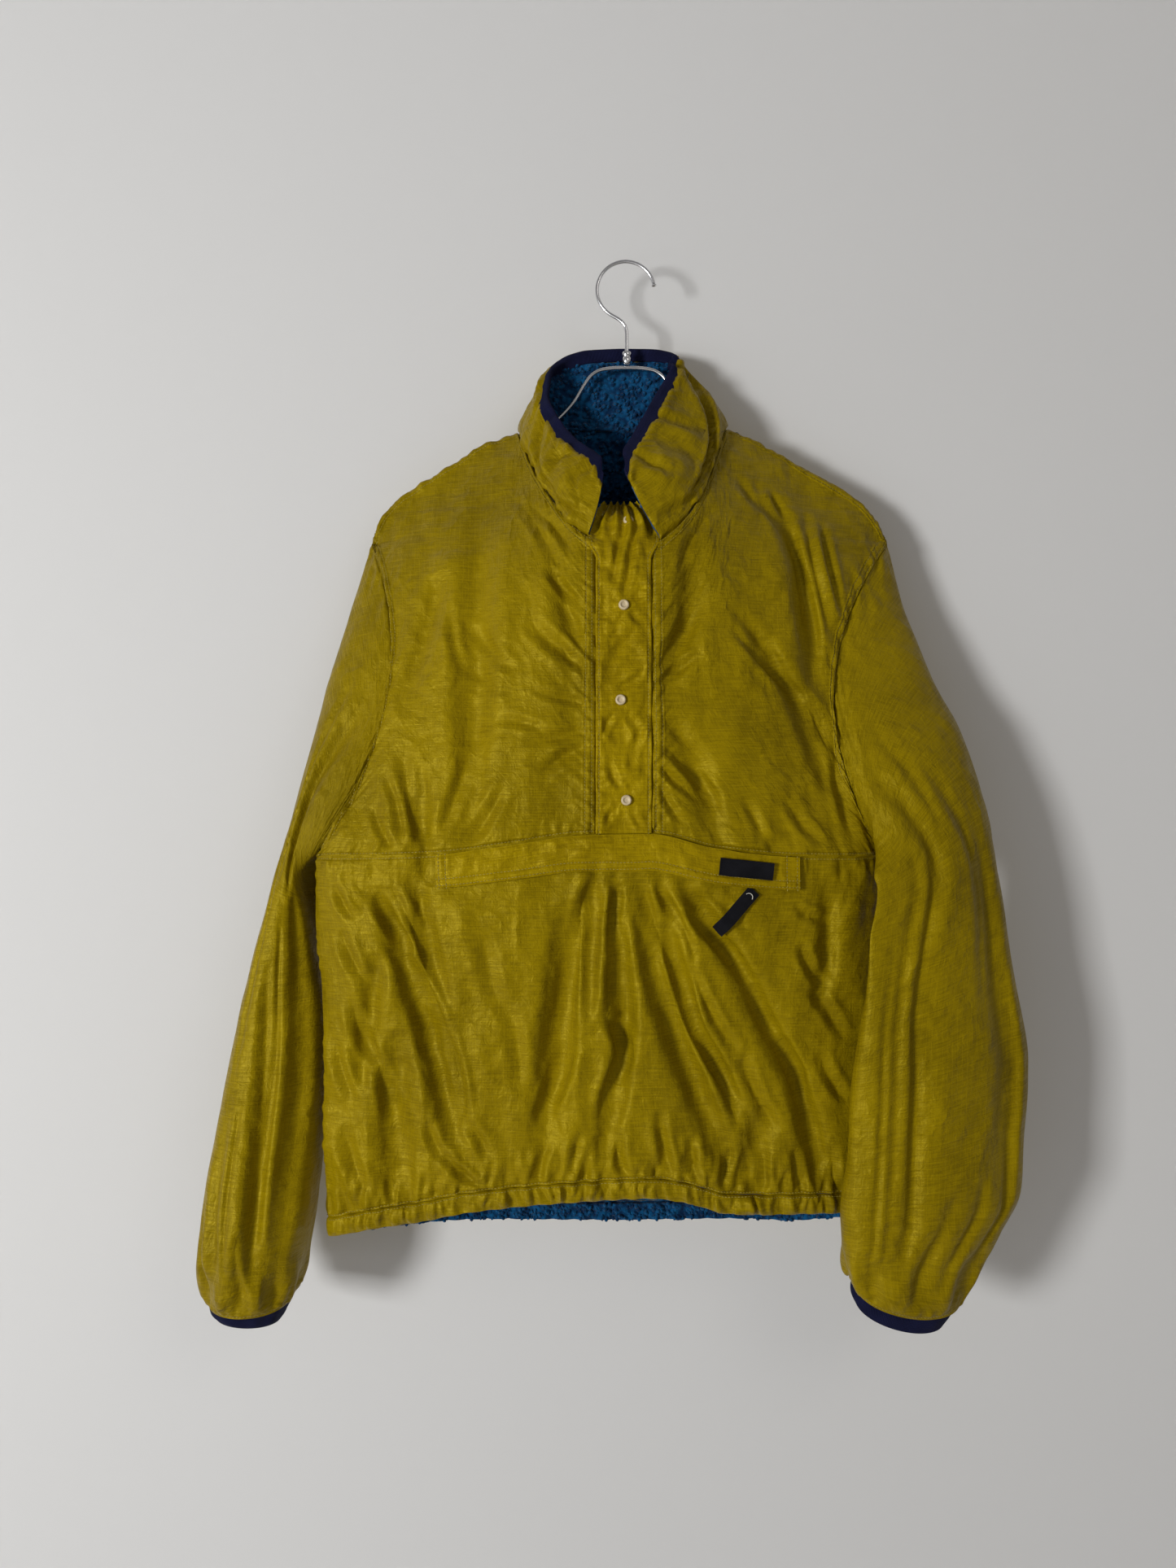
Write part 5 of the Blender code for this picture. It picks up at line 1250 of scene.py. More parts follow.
@dataclass(frozen=True)
class StitchRows:
    """Rows of stitches along lines, made by a node tree with its own sizes."""

    name: str
    finish: Finish
    pitch: float = 0.0031
    length: float = 0.0024
    radius: float = 0.00042

    def tree(self) -> Tree:
        """Build the node tree: lines to stitches, realised, with their material."""
        inputs = {"Geometry": "Geometry", "Pitch": "Float", "Stitch length": "Float",
                  "Thread radius": "Float", "Seed": "Int"}
        tree, start, end = new_group("stitch rows", "Geometry", inputs, {"Geometry": "Geometry"})
        given = start.outputs
        curves = place_node(tree, "GeometryNodeMeshToCurve", Mesh=given[0])
        spaced = place_node(tree, "GeometryNodeResampleCurve", Curve=curves.outputs[0], Length=given["Pitch"],
                            mode="LENGTH")
        bead = place_node(tree, "GeometryNodeMeshUVSphere", Segments=5, Rings=4, Radius=1.0)
        half = calculate(tree, "MULTIPLY", given["Stitch length"], 0.5)
        size = place_node(tree, "ShaderNodeCombineXYZ", X=given["Thread radius"], Y=given["Thread radius"],
                          Z=half)
        shaped = place_node(tree, "GeometryNodeTransform", Geometry=bead.outputs[0], Scale=size.outputs[0])
        run = place_node(tree, "GeometryNodeInputTangent")
        turned = place_node(tree, "FunctionNodeAlignRotationToVector", Vector=run.outputs[0], axis="Z")
        lay_out(tree, end, self.finish, {"Points": spaced.outputs[0], "Instance": shaped.outputs[0],
                                         "Rotation": turned.outputs[0],
                                         "Scale": vary(tree, given["Seed"], 0.86, 1.10)})
        return tree

    def build(self, lines: Sequence[Array]) -> Thing:
        """Sew along the given lines and return the thread as one plain piece."""
        points: List[Array] = []
        edges: List[Tuple[int, int]] = []
        for line in lines:
            first = len(points)
            points.extend(line)
            edges.extend((first + k, first + k + 1) for k in range(len(line) - 1))
        mesh = bpy.data.meshes.new(self.name + "_lines")
        mesh.from_pydata([tuple(p) for p in points], edges, [])
        values = {"Pitch": self.pitch, "Stitch length": self.length, "Thread radius": self.radius, "Seed": 7}
        return realise(self.name, mesh, self.tree(), values)


@dataclass(frozen=True)
class PileTufts:
    """Small curls of pile spread over a fleece face."""

    name: str
    density: float
    size: float
    seed: int = 3

    def tree(self) -> Tree:
        """Build the node tree: points on faces to curls, realised, with their material."""
        inputs = {"Geometry": "Geometry", "Density": "Float", "Curl size": "Float", "Seed": "Int"}
        tree, start, end = new_group("pile tufts", "Geometry", inputs, {"Geometry": "Geometry"})
        given = start.outputs
        spots = place_node(tree, "GeometryNodeDistributePointsOnFaces", Mesh=given[0],
                           Density=given["Density"], Seed=given["Seed"])
        curl = place_node(tree, "GeometryNodeMeshIcoSphere", Radius=1.0, Subdivisions=1)
        flat = place_node(tree, "GeometryNodeTransform", Geometry=curl.outputs[0], Scale=(1.0, 0.72, 0.62))
        limits = {"0": (-0.5, -0.5, -3.14), "1": (0.5, 0.5, 3.14), "Seed": given["Seed"]}
        spin = place_node(tree, "FunctionNodeRandomValue", limits, data_type="FLOAT_VECTOR")
        turns = {"Rotation": spots.outputs["Rotation"], "Rotate By": spin.outputs[0]}
        turned = place_node(tree, "FunctionNodeRotateRotation", turns, rotation_space="LOCAL")
        scale = calculate(tree, "MULTIPLY", vary(tree, given["Seed"], 0.65, 1.35), given["Curl size"])
        lay_out(tree, end, PILE, {"Points": spots.outputs["Points"], "Instance": flat.outputs[0],
                                  "Rotation": turned.outputs[0], "Scale": scale})
        return tree

    def build(self, face: Array) -> Thing:
        """Spread curls over a grid of points and return them as one plain piece."""
        quads = quads_of(number_grid(*face.shape[:2])).reshape(-1, 4)
        mesh = bpy.data.meshes.new(self.name + "_face")
        mesh.from_pydata(face.reshape(-1, 3).tolist(), [], quads.tolist())
        values = {"Density": self.density, "Curl size": self.size, "Seed": self.seed}
        return realise(self.name, mesh, self.tree(), values)


def realise(name: str, mesh: bpy.types.Mesh, tree: Tree,
            values: Dict[str, float]) -> Thing:
    """Run a node tree on a mesh and keep its result as a plain mesh.

    Args:
        name: name of the new piece.
        mesh: what the tree starts from.
        tree: the Geometry Nodes tree.
        values: its inputs by name.

    Returns:
        A new object that has no modifier.
    """
    source = bpy.data.objects.new(name + "_source", mesh)
    bpy.context.collection.objects.link(source)
    modifier = source.modifiers.new("nodes", "NODES")
    modifier.node_group = tree
    for item in tree.interface.items_tree:
        if item.item_type == "SOCKET" and item.in_out == "INPUT" and item.name in values:
            modifier[item.identifier] = values[item.name]
    graph = bpy.context.evaluated_depsgraph_get()
    result = bpy.data.meshes.new_from_object(source.evaluated_get(graph))
    result.name = name
    result.shade_smooth()
    bpy.data.objects.remove(source, do_unlink=True)
    thing = bpy.data.objects.new(name, result)
    bpy.context.collection.objects.link(thing)
    return thing


# ---------------------------------------------------------------- the body of the garment
def inside_body(grid: Array) -> Array:
    """Points inside the body that its sheets face."""
    axis = grid.copy()
    axis[..., 0] = -0.024 + (grid[..., 0] + 0.024) * 0.5
    axis[..., 1] = -0.030
    return axis


@dataclass
class UpperFront:
    """One upper front, from the armhole to the placket and from the shoulder to the pocket seam."""

    name: str
    sleeve: SleeveForm
    shoulder: Table
    neck: Table
    edge_x: float
    seed: int
    rows: int = 192
    shoulder_columns: int = 92
    neck_columns: int = 76

    def build(self) -> Panel:
        """Make the panel and return it."""
        down = crowded(self.rows)
        hole = self.sleeve.ring(0.0, math.pi * down)
        line = spread_along(self.shoulder, np.linspace(0, 1, self.shoulder_columns + 1))
        throat = spread_along(self.neck, np.linspace(0, 1, self.neck_columns))
        top = np.concatenate((line, throat[1:], ((self.edge_x, self.neck[-1][1] - 0.003),)))
        across = crowded(len(top) - 1)
        at = across * (len(top) - 1)
        index = np.arange(len(top))
        top = np.column_stack([np.interp(at, index, top[:, k]) for k in (0, 1)])
        spread = across * 0.5 + 0.5 * (1 - np.cos(np.pi * across / 2))
        x = hole[-1, 0] + (self.edge_x - hole[-1, 0]) * spread
        bottom = np.column_stack((x, along(x, FORM.pocket_seam)))
        placket = top[-1] + (bottom[-1] - top[-1]) * down[:, None]
        grid = FORM.sheet(hole[:, ::2], placket, top, bottom, Side.FRONT, down, across)
        grid[:, 0] = hole
        grid[0, at <= self.shoulder_columns, 1] = 0.0
        panel = Panel(self.name, grid, inside_body(grid), level=True)
        panel.press(press_creases, FORM.front_creases, 1.9, 0.010)
        panel.press(push_in, FORM.front_folds, 0.4, 0.020)
        panel.crinkled(Crinkle(self.seed, grain=(0.024, 0.030, 0.040), height=0.0021, fine=0.22, calm=0.12))
        panel.sewn(
            Seam(Border.FIRST, pucker=0.0036, rows=(0.0026, 0.0092), band=0.0012, seed=self.seed + 10),
            Seam(Border.LAST, groove=0.0012, pucker=0.0034, wave=0.009, reach=0.014, rows=(0.0036, 0.0096),
                 band=0.0010, start=0.02, stop=0.99, seed=self.seed + 20),
            Seam(Border.BOTTOM, groove=0.0012, pucker=0.0028, rows=(0.0024,), seed=self.seed + 30),
            Seam(Border.TOP, groove=0.0012, pucker=0.0020, rows=(0.0018, 0.0092), band=0.0014,
                 seed=self.seed + 40),
        )
        return panel.make_up(0.0076)


@dataclass
class LowerFront:
    """The front below the pocket seam, down to the casing."""

    rows: int = 196
    columns: int = 320
    flap: Tuple[float, float, float] = (-0.176, 0.155, 0.031)      # left, right and height, kept flat
    tab: Tuple[float, float, float] = (0.093, -0.626, 0.020)       # middle and radius, kept flat

    def build(self) -> Panel:
        """Make the panel and return it."""
        (start, _), (stop, _) = FORM.pocket_seam[0], FORM.pocket_seam[-1]
        across = crowded(self.columns, 0.3)
        x = start + (stop - start) * across
        top = np.column_stack((x, along(x, FORM.pocket_seam)))
        grid = FORM.below_arms(top, FORM.hem_front, Side.FRONT, crowded(self.rows), across)
        panel = Panel("lower_front", grid, inside_body(grid), level=True)
        panel.press(press_creases, FORM.front_creases, 2.1, 0.010)
        panel.press(push_in, FORM.front_folds, 0.5, 0.020)
        panel.crinkled(Crinkle(61, grain=(0.022, 0.030, 0.038), height=0.0024, fine=0.26, calm=0.16))
        panel.sewn(
            Seam(Border.TOP, groove=0.0012, pucker=0.0030, reach=0.018, rows=(0.0026,), seed=71),
            Seam(Border.BOTTOM, pucker=0.0060, wave=0.011, reach=0.024, rows=(0.0014,), seed=72),
            *both_sides(73, pucker=0.0020),
        )
        panel.held_down(self.covered(grid[..., 0], grid[..., 2]))
        return panel.make_up(0.0098)

    def covered(self, x: Array, z: Array) -> Array:
        """1 where the flap or the pull tab lies on the cloth, 0 away from them."""
        left, right, height = self.flap
        soft = 0.006
        under_flap = ease((x - left) / soft) * ease((right - x) / soft)
        under_flap *= 1 - ease((along(x, FORM.pocket_seam) - z - height) / soft)
        tab_x, tab_z, radius = self.tab
        off_tab = np.maximum(np.hypot(x - tab_x, z - tab_z) - radius, 0)
        return np.maximum(under_flap, bell(off_tab / soft))


@dataclass
class Back:
    """The back, from the shoulders and the neck to the casing."""

    upper_rows: int = 116
    lower_rows: int = 120
    columns: int = 200

    def build(self) -> Panel:
        """Make the panel and return it."""
        down = crowded(self.upper_rows, 0.2)
        across = crowded(self.columns, 0.35)
        holes = [form.ring(0.0, 2 * math.pi - math.pi * down) for form in (SLEEVE_LEFT, SLEEVE_RIGHT)]
        line = np.concatenate((FORM.shoulder_left, FORM.neck_back[1:-1], FORM.shoulder_right[::-1]))
        top = spread_along(line, across)
        start, stop = (hole[-1] for hole in holes)
        waist_x = start[0] + (stop[0] - start[0]) * across
        waist = np.column_stack((waist_x, np.full(len(across), start[2])))
        upper = FORM.sheet(holes[0][:, ::2], holes[1][:, ::2], top, waist, Side.BACK, down, across)
        upper[:, 0], upper[:, -1] = holes
        ridge = (top[:, 0] < FORM.neck_back[0][0]) | (top[:, 0] > FORM.neck_back[-1][0])
        upper[0, ridge, 1] = 0.0
        below = np.linspace(0.0, 1.0, self.lower_rows + 1)
        lower = FORM.below_arms(waist, FORM.hem_back, Side.BACK, below, across)
        grid = np.concatenate((upper, lower[1:]))
        panel = Panel("back", grid, inside_body(grid), wall=0.0030, level=True)
        panel.press(press_creases, FORM.back_creases, 1.6, 0.012)
        panel.crinkled(Crinkle(81, grain=(0.028, 0.030, 0.044), height=0.0024, fine=0.24, calm=0.15))
        panel.sewn(
            Seam(Border.TOP, groove=0.0010, pucker=0.0020, rows=(0.0030,), seed=91),
            Seam(Border.BOTTOM, pucker=0.0050, wave=0.013, reach=0.022, rows=(0.0014,), seed=92),
            *both_sides(93, pucker=0.0026, rows=(0.0030,), stop=0.48),
        )
        return panel.make_up(0.0012 + 0.0034 * panel.edge_fade(0.060))


@dataclass
class HemBand:
    """The gathered elastic casing along the front or the back hem."""

    name: str
    upper: Panel
    hem: Table
    side: Side
    wall: float
    seed: int
    gather: float = 0.0064
    pleat: float = 0.0130
    swell: float = 0.0015
    spacing: float = 0.013
    rows: int = 20
    columns: int = 400

    def build(self) -> Panel:
        """Make the band below a panel's lower border and return it."""
        seam = self.upper.base[-1]
        places = np.linspace(0.0, len(seam) - 1, self.columns + 1)
        top = np.column_stack([np.interp(places, np.arange(len(seam)), seam[:, k]) for k in (0, 2)])
        share = (top[:, 0] - top[0, 0]) / (top[-1, 0] - top[0, 0])
        low_left, left_y = FORM.side_line(SLEEVE_LEFT, np.array([top[0, 1], self.hem[0][1]]), self.side)
        low_right, right_y = FORM.side_line(SLEEVE_RIGHT, np.array([top[-1, 1], self.hem[-1][1]]), self.side)
        low_x = low_left[1] + (low_right[1] - low_left[1]) * share
        bottom = np.column_stack((low_x, along(low_x, self.hem)))
        fade = 1 - np.abs(2 * share - 1) ** 8
        grid = []
        for t in np.linspace(0.0, 1.0, self.rows + 1):
            x, z = (top + (bottom - top) * t).T
            y = FORM.depth(x, z, self.side)
            swell = self.swell * math.sin(math.pi * t)
            y += self.side.value * (FORM.hem_ripple(x, z, z - FORM.casing * t) * 0.5 + swell) * fade
            y[0] = left_y[0] + (left_y[1] - left_y[0]) * t
            y[-1] = right_y[0] + (right_y[1] - right_y[0]) * t
            grid.append(np.column_stack((x, y, z)))
        grid = np.array(grid)
        panel = Panel(self.name, grid, inside_body(grid), wall=self.wall, level=True)
        t = np.linspace(0.0, 1.0, self.rows + 1)[:, None]
        run = panel.across
        uneven = run + 0.006 * noise(np.stack((run / 0.05, t + 0 * run, 0 * run), axis=-1), self.seed + 2)
        where = np.stack((uneven / self.spacing, t * 0.5 + 0 * run, 0 * run), axis=-1)
        gathers = noise(where, self.seed)
        pleats = 0.16 - np.sqrt(noise(where * 1.3, self.seed + 1) ** 2 + 0.0012)
        puff = np.sin(np.pi * t) ** 0.6
        panel.relief += (self.gather * gathers + self.pleat * pleats) * puff * fade - 0.0016 * puff
        panel.relief += 0.0012 * bell(t / 0.08)
        panel.make_up(0.0036)
        panel.stitches.append(panel.stitch_line(Border.TOP, 0.0022, 0.01, 0.99))
        return panel


@dataclass
class Placket:
    """The snap placket with its curled top, its crumples and its snaps."""

    edges: Table = mm(
        (-248, -24, 9), (-260, -32, 18), (-274, -40, 28), (-288, -39, 27), (-306, -31, 19), (-552, -31, 19),
    )
    raise_by: float = 0.0018
    hidden_stand: float = -0.0022      # the top snap sits in the gathers
    snaps: Table = mm((-6, -349), (-9, -434), (-4, -523), (-1, -268))
    creases: Table = mm(
        (-3, -272, -16, -328, 2, 3, 3), (2, -286, -7, -342, -2, 3, 2.6), (-2, -345, 14, -338, 1, 2.6, 2),
        (-1, -354, 14, -364, 2, 3, 2.6), (-19, -357, -28, -367, 1, 2.6, 2),
        (-24, -344, -22, -358, 1, 2.6, 1.6), (10, -270, 2, -300, 2, 2.6, 2.2),
        (-24, -284, -18, -318, 1, 2.6, 1.8), (6, -372, -22, -412, 4, 4, 2.2),
        (-12, -424, 12, -408, 2, 3, 2.4), (-14, -444, -26, -470, 2, 3, 2.2),
        (-4, -444, 12, -476, -2, 3.4, 2.6), (14, -452, 0, -500, 3, 3.4, 2.4),
        (-20, -486, -8, -514, 2, 3, 2.2), (0, -532, 12, -548, 1, 2.6, 2),
        (-12, -530, -24, -546, 1, 2.6, 1.8),
    )
    rows: int = 240
    columns: int = 52

    def depth(self, x: Array, z: Array) -> Array:
        """Depth of the placket's face before its fine creases."""
        crumple = 0.0014 * np.sin(105 * z + 60 * x) * np.cos(70 * x + 38 * z)
        curl = 0.014 * ease((z + 0.270) / 0.020) ** 2
        curl = curl + 0.005 * ease((z + 0.292) / 0.012) * ease((np.abs(x + 0.006) - 0.016) / 0.010)
        return FORM.depth(x, z, Side.FRONT) - self.raise_by + crumple + curl

    def build(self) -> Panel:
        """Make the band and its snaps and return the band."""
        first, last = self.edges[0][0], self.edges[-1][0]
        z = np.concatenate((np.linspace(first, -0.300, 61), np.linspace(-0.300, last, 181)[1:]))
        left, right = along(z, self.edges, 1), along(z, self.edges, 2)
        s = crowded(self.columns, 0.3)
        x = left[:, None] + (right - left)[:, None] * s
        height = z[:, None] + (along(x, FORM.pocket_seam) - last) * ease((-0.30 - z[:, None]) / 0.25)
        grid = np.stack((x, self.depth(x, height), height), axis=-1)
        # The placket uses the lighter copy of the nylon, which is painted light.
        panel = Panel("placket", grid, inside_body(grid), wall=0.0030, face=PAINTED_LIGHT_NYLON, level=True)
        away = np.ones(x.shape)
        for snap_x, snap_z in self.snaps[:-1]:
            away *= ease((np.hypot(x - snap_x, height - snap_z) - 0.004) / 0.006)
        panel.press(press_creases, self.creases, 1.3, 0.004)
        panel.relief *= away
        panel.crinkled(Crinkle(111, grain=(0.015, 0.020, 0.020), height=0.0030, fine=0.3, calm=0.5))
        panel.relief += 0.0034 * np.cos(2 * np.pi * (s[None, :] - 0.5) * 5.5) * ease((height + 0.292) / 0.030)
        panel.sewn(
            *both_sides(121, groove=0.0012, pucker=0.0030, wave=0.008, reach=0.010, rows=(0.0030,),
                        band=0.0005),
            Seam(Border.TOP, groove=0.0, pucker=0.0030, wave=0.007, reach=0.010, seed=123),
            Seam(Border.BOTTOM, pucker=0.0014, seed=124),
        )
        panel.relief *= 0.25 + 0.75 * away
        panel.make_up(0.0034)
        for number, (snap_x, snap_z) in enumerate(self.snaps, start=1):
            stand = self.hidden_stand if number == len(self.snaps) else Snap.stand
            Snap("ring_snap_%d" % number, "snap_%d" % number, snap_x, snap_z, self, stand).build()
        return panel


@dataclass
class Snap:
    """A ring snap: a turned cap with a raised rim round a dished middle."""

    name: str
    node: str
    x: float
    z: float
    placket: Placket
    stand: float = 0.0010
    radius: float = 0.0047
    height: float = 0.0022
    profile: Table = ((0.0, 0.42), (0.20, 0.43), (0.42, 0.50), (0.52, 0.66), (0.60, 0.90), (0.70, 1.0),
                      (0.82, 0.97), (0.92, 0.82), (0.98, 0.56), (1.0, 0.30), (0.99, -0.25), (0.90, -0.30))
    segments: int = 36

    def face_at(self, x: float, z: float) -> float:
        """Depth of the placket's face at (x, z)."""
        return float(self.placket.depth(np.array(x), np.array(z)))

    def build(self) -> None:
        """Turn the profile round the snap's own axis."""
        near = 0.003
        slope_x = (self.face_at(self.x + near, self.z) - self.face_at(self.x - near, self.z)) / (2 * near)
        slope_z = (self.face_at(self.x, self.z + near) - self.face_at(self.x, self.z - near)) / (2 * near)
        out = np.array((slope_x, -1.0, slope_z))
        out /= np.linalg.norm(out)
        side = np.cross(out, (0.0, 0.0, 1.0))
        side /= np.linalg.norm(side)
        up = np.cross(side, out)
        base = np.array((self.x, self.face_at(self.x, self.z), self.z)) + out * self.stand
        turn = full_turn(self.segments)
        circle = side * np.cos(turn)[:, None] + up * np.sin(turn)[:, None]
        rings = [base + circle * share * self.radius + out * level * self.height
                 for share, level in self.profile[1:]]
        ends = [base + out * level * self.height for _, level in (self.profile[0], self.profile[-1])]
        points = np.concatenate([ends[:1]] + rings + [ends[1:]])
        ids = number_grid(len(rings), self.segments, first=1, closed=True)
        faces = quads_of(ids)[..., ::-1].reshape(-1, 4).tolist()
        faces += [[0, a, b] for a, b in zip(ids[0], ids[0, 1:])]
        faces += [[a, len(points) - 1, b] for a, b in zip(ids[-1], ids[-1, 1:])]
        thing = link_mesh(self.name, points, faces, (ENAMEL,), crease=math.radians(50))
        ride(face_outward(thing), ENAMEL, self.node)


# ---------------------------------------------------------------- sleeves and cuffs
@dataclass
class Sleeve:
    """One sleeve with its cuff."""

    name: str
    form: SleeveForm
    cuff_name: str
    cuff: SleeveForm
    dip: float
    drop: float
    creases: Table
    seed: int
    gather: float = 0.0050
    hang: float = 0.0040
    rings: int = 344
    around: int = 168

    def build(self) -> Panel:
        """Make the sleeve and the cuff, and return the sleeve."""
        places = np.linspace(0.0, 1.0, self.rings + 1)
        turn = full_turn(self.around)
        grid = np.array([self.form.ring(place, turn) for place in places])
        axis = np.broadcast_to(grid.mean(axis=1, keepdims=True), grid.shape)
        inward = directions(grid, True, axis)
        push = np.array([self.form.push(place, turn, self.form.folds, 0.003) for place in places])
        grid = grid + inward * push[..., None]
        low = ease((places - 0.90) / 0.10)[:, None] * np.maximum(np.sin(turn), 0.0) ** 0.8
        grid[..., 2] -= self.drop * low
        grid[..., 1] -= self.hang * low
        panel = Panel(self.name, grid, np.array(axis), closed=True, wall=0.0030, sunk=push)
        tight = np.outer(ease(1.2 - places / 0.6), np.maximum(-np.cos(turn), 0.0) ** 3)
        panel.relief += 1.8 * np.array([self.form.push(place, turn, self.creases, 0.0) for place in places])
        panel.crinkled(Crinkle(self.seed, grain=(0.032, 0.032, 0.050), height=0.0016, fine=0.24, calm=0.10))
        end = panel.down[-1:] - panel.down
        where = np.stack((np.cos(turn) * 2.6 + 0 * end, np.sin(turn) * 2.6 + 0 * end, end / 0.06), axis=-1)
        gather = noise(where * 1.5, self.seed + 5) + 0.5 * noise(where * 3.1, self.seed + 6)
        panel.relief += self.gather * gather * np.exp(-end / 0.030) * (1 - bell(end / 0.004))
        panel.sewn(
            Seam(Border.TOP, pucker=0.0034, wave=0.011, reach=0.018, seed=self.seed + 7),
            Seam(Border.BOTTOM, groove=0.0012, pucker=0.0016, wave=0.007, reach=0.010, rows=(0.0022,),
                 seed=self.seed + 8),
        )
        panel.relief *= 1 - tight
        panel.make_up(0.0050)
        self.build_cuff(turn)
        return panel

    def build_cuff(self, turn: Array) -> None:
        """Make the knit binding of the sleeve's end, its edge rolled over."""
        places = np.linspace(0.0, 1.0, 21)
        grid = np.array([self.cuff.ring(place, turn) for place in places])
        grid[..., 2] -= self.dip * np.outer(places, np.sin(turn))
        axis = np.array(np.broadcast_to(grid.mean(axis=1, keepdims=True), grid.shape))
        panel = Panel(self.cuff_name, grid, axis, closed=True, wall=0.0028, face=KNIT, lining=KNIT)
        t = places[:, None]
        panel.relief += 0.0014 * t ** 4 + 0.0010 * (1 - t) ** 6 - 0.0010 * np.sin(np.pi * t)
        panel.relief += 0.0006 * np.sin(np.pi * t) * np.cos(9 * turn + 1.1 * np.sin(3 * turn) + self.seed)
        panel.make_up(0.0018)


# ---------------------------------------------------------------- collar
@dataclass
class Collar:
    """The stand collar: nylon outside, pile inside and a knit binding inside its upper edge."""

    # Upper edge: station along the neck seam in thousandths, its point and how far the stand swells.
    top: Table = mm(
        (0, -23, -88, -228, 3), (70, -34, -80, -213, 6), (150, -56, -64, -194, 8), (230, -74, -46, -168, 8),
        (290, -82, -30, -140, 7), (340, -77, -12, -110, 8), (400, -64, 6, -91, 6), (450, -40, 17, -81, 3),
        (520, 0, 21, -78.5, 1), (580, 34, 17, -80, 3), (630, 49, 5, -88, 8), (680, 48, -12, -106, 14),
        (730, 38, -30, -135, 14), (800, 26, -46, -161, 12), (870, 11, -62, -189, 10), (940, 1, -76, -207, 7),
        (1000, -6, -86, -221, 4),
    )
    # Folds of the stand: half width, depth, then station and share of height of each point along them.
    folds: Tuple[Tuple[float, ...], ...] = (
        (0.0044, 0.0105, 0.66, 1.00, 0.70, 0.72, 0.74, 0.44, 0.78, 0.29, 0.84, 0.18, 0.91, 0.10),
        (0.0070, 0.0036, 0.86, 0.92, 0.84, 0.60, 0.86, 0.34, 0.90, 0.22),
        (0.0050, 0.0030, 0.80, 0.96, 0.79, 0.74, 0.77, 0.52),
        (0.0045, 0.0040, 0.97, 0.22, 0.94, 0.14, 0.91, 0.06),
        (0.0050, 0.0036, 0.93, 0.92, 0.92, 0.72, 0.91, 0.56),
        (0.0050, 0.0056, 0.24, 0.98, 0.20, 0.60, 0.15, 0.30, 0.09, 0.10),
        (0.0050, 0.0036, 0.12, 0.96, 0.13, 0.70, 0.11, 0.46),
        (0.0045, 0.0040, 0.02, 0.30, 0.05, 0.16, 0.09, 0.05),
        (0.0040, 0.0024, 0.05, 0.94, 0.07, 0.70, 0.06, 0.50),
        (0.0070, 0.0030, 0.30, 0.98, 0.29, 0.60, 0.27, 0.20),
        (0.0080, 0.0022, 0.45, 0.95, 0.46, 0.50, 0.47, 0.10),
        (0.0080, 0.0022, 0.57, 0.95, 0.56, 0.50, 0.58, 0.10),
    )
    binding_height: float = 0.010
    binding_stand: Table = ((0.0, 0.0090), (0.12, 0.0105), (0.22, 0.0100), (0.30, 0.0060), (0.40, 0.0018),
                            (0.60, 0.0018), (0.68, 0.0060), (0.76, 0.0100), (0.88, 0.0105), (1.0, 0.0090))
    binding_thickness: float = 0.0054
    corner: float = 0.009
    front_bulge: float = 0.0045
    front_columns: int = 84
    back_columns: int = 72
    rows: int = 60

    def foot(self) -> Array:
        """The neck seam, from the left front edge round the back to the right one."""
        left = spread_along(FORM.neck_left, np.linspace(1, 0, self.front_columns + 1))
        back = spread_along(FORM.neck_back, np.linspace(0, 1, self.back_columns + 1))
        right = spread_along(FORM.neck_right, np.linspace(0, 1, self.front_columns + 1))
        seam = np.concatenate((left, back[1:-1], right))
        y = np.concatenate((FORM.depth(left[:, 0], left[:, 1], Side.FRONT),
                            FORM.depth(back[1:-1, 0], back[1:-1, 1], Side.BACK),
                            FORM.depth(right[:, 0], right[:, 1], Side.FRONT)))
        y[self.front_columns] = 0.0
        y[-self.front_columns - 1] = 0.0
        return np.column_stack((seam[:, 0], y, seam[:, 1] + 0.00075))

    def grid(self, shares: Array) -> Array:
        """Points of the stand at shares of its height, where 1 is its upper edge."""
        foot = self.foot()
        station = self.stations(foot)
        edge = np.column_stack([along(station, self.top, column) for column in (1, 2, 3)])
        bulge = along(station, self.top, 4)
        out = (foot + edge) / 2 - np.array((-0.006, -0.030, 0.0))
        out[:, 2] = 0.0
        out /= np.linalg.norm(out, axis=1, keepdims=True)
        run = run_lengths(edge[None], 1)[0]
        ends = (run, run[-1] - run)
        corner = sum(bell(end / self.corner) for end in ends)
        edge = edge + (foot - edge) * (0.11 * corner)[:, None]
        forward = [foot[0] - foot[1] + edge[0] - edge[1], foot[-1] - foot[-2] + edge[-1] - edge[-2]]
        push = sum(np.exp(-end / 0.012)[:, None] * way / np.linalg.norm(way)
                   for end, way in zip(ends, forward))
        grid = []
        for share in shares:
            puff = 0.0045 * (bell((station - 0.10) / 0.09) + bell((station - 0.88) / 0.10))
            swell = (bulge + puff) * np.sin(np.pi * np.minimum(share, 1.0)) ** 0.75
            front_bulge = push * self.front_bulge * math.sin(math.pi * min(share, 1.0)) ** 0.8
            grid.append(foot + (edge - foot) * share + out * swell[:, None] + front_bulge)
        return np.array(grid)

    @staticmethod
    def stations(foot: Array) -> Array:
        """Place of each column along the neck seam, from 0 to 1."""
        steps = np.linalg.norm(np.diff(foot, axis=0), axis=1)
        return np.concatenate(([0.0], np.cumsum(steps))) / steps.sum()

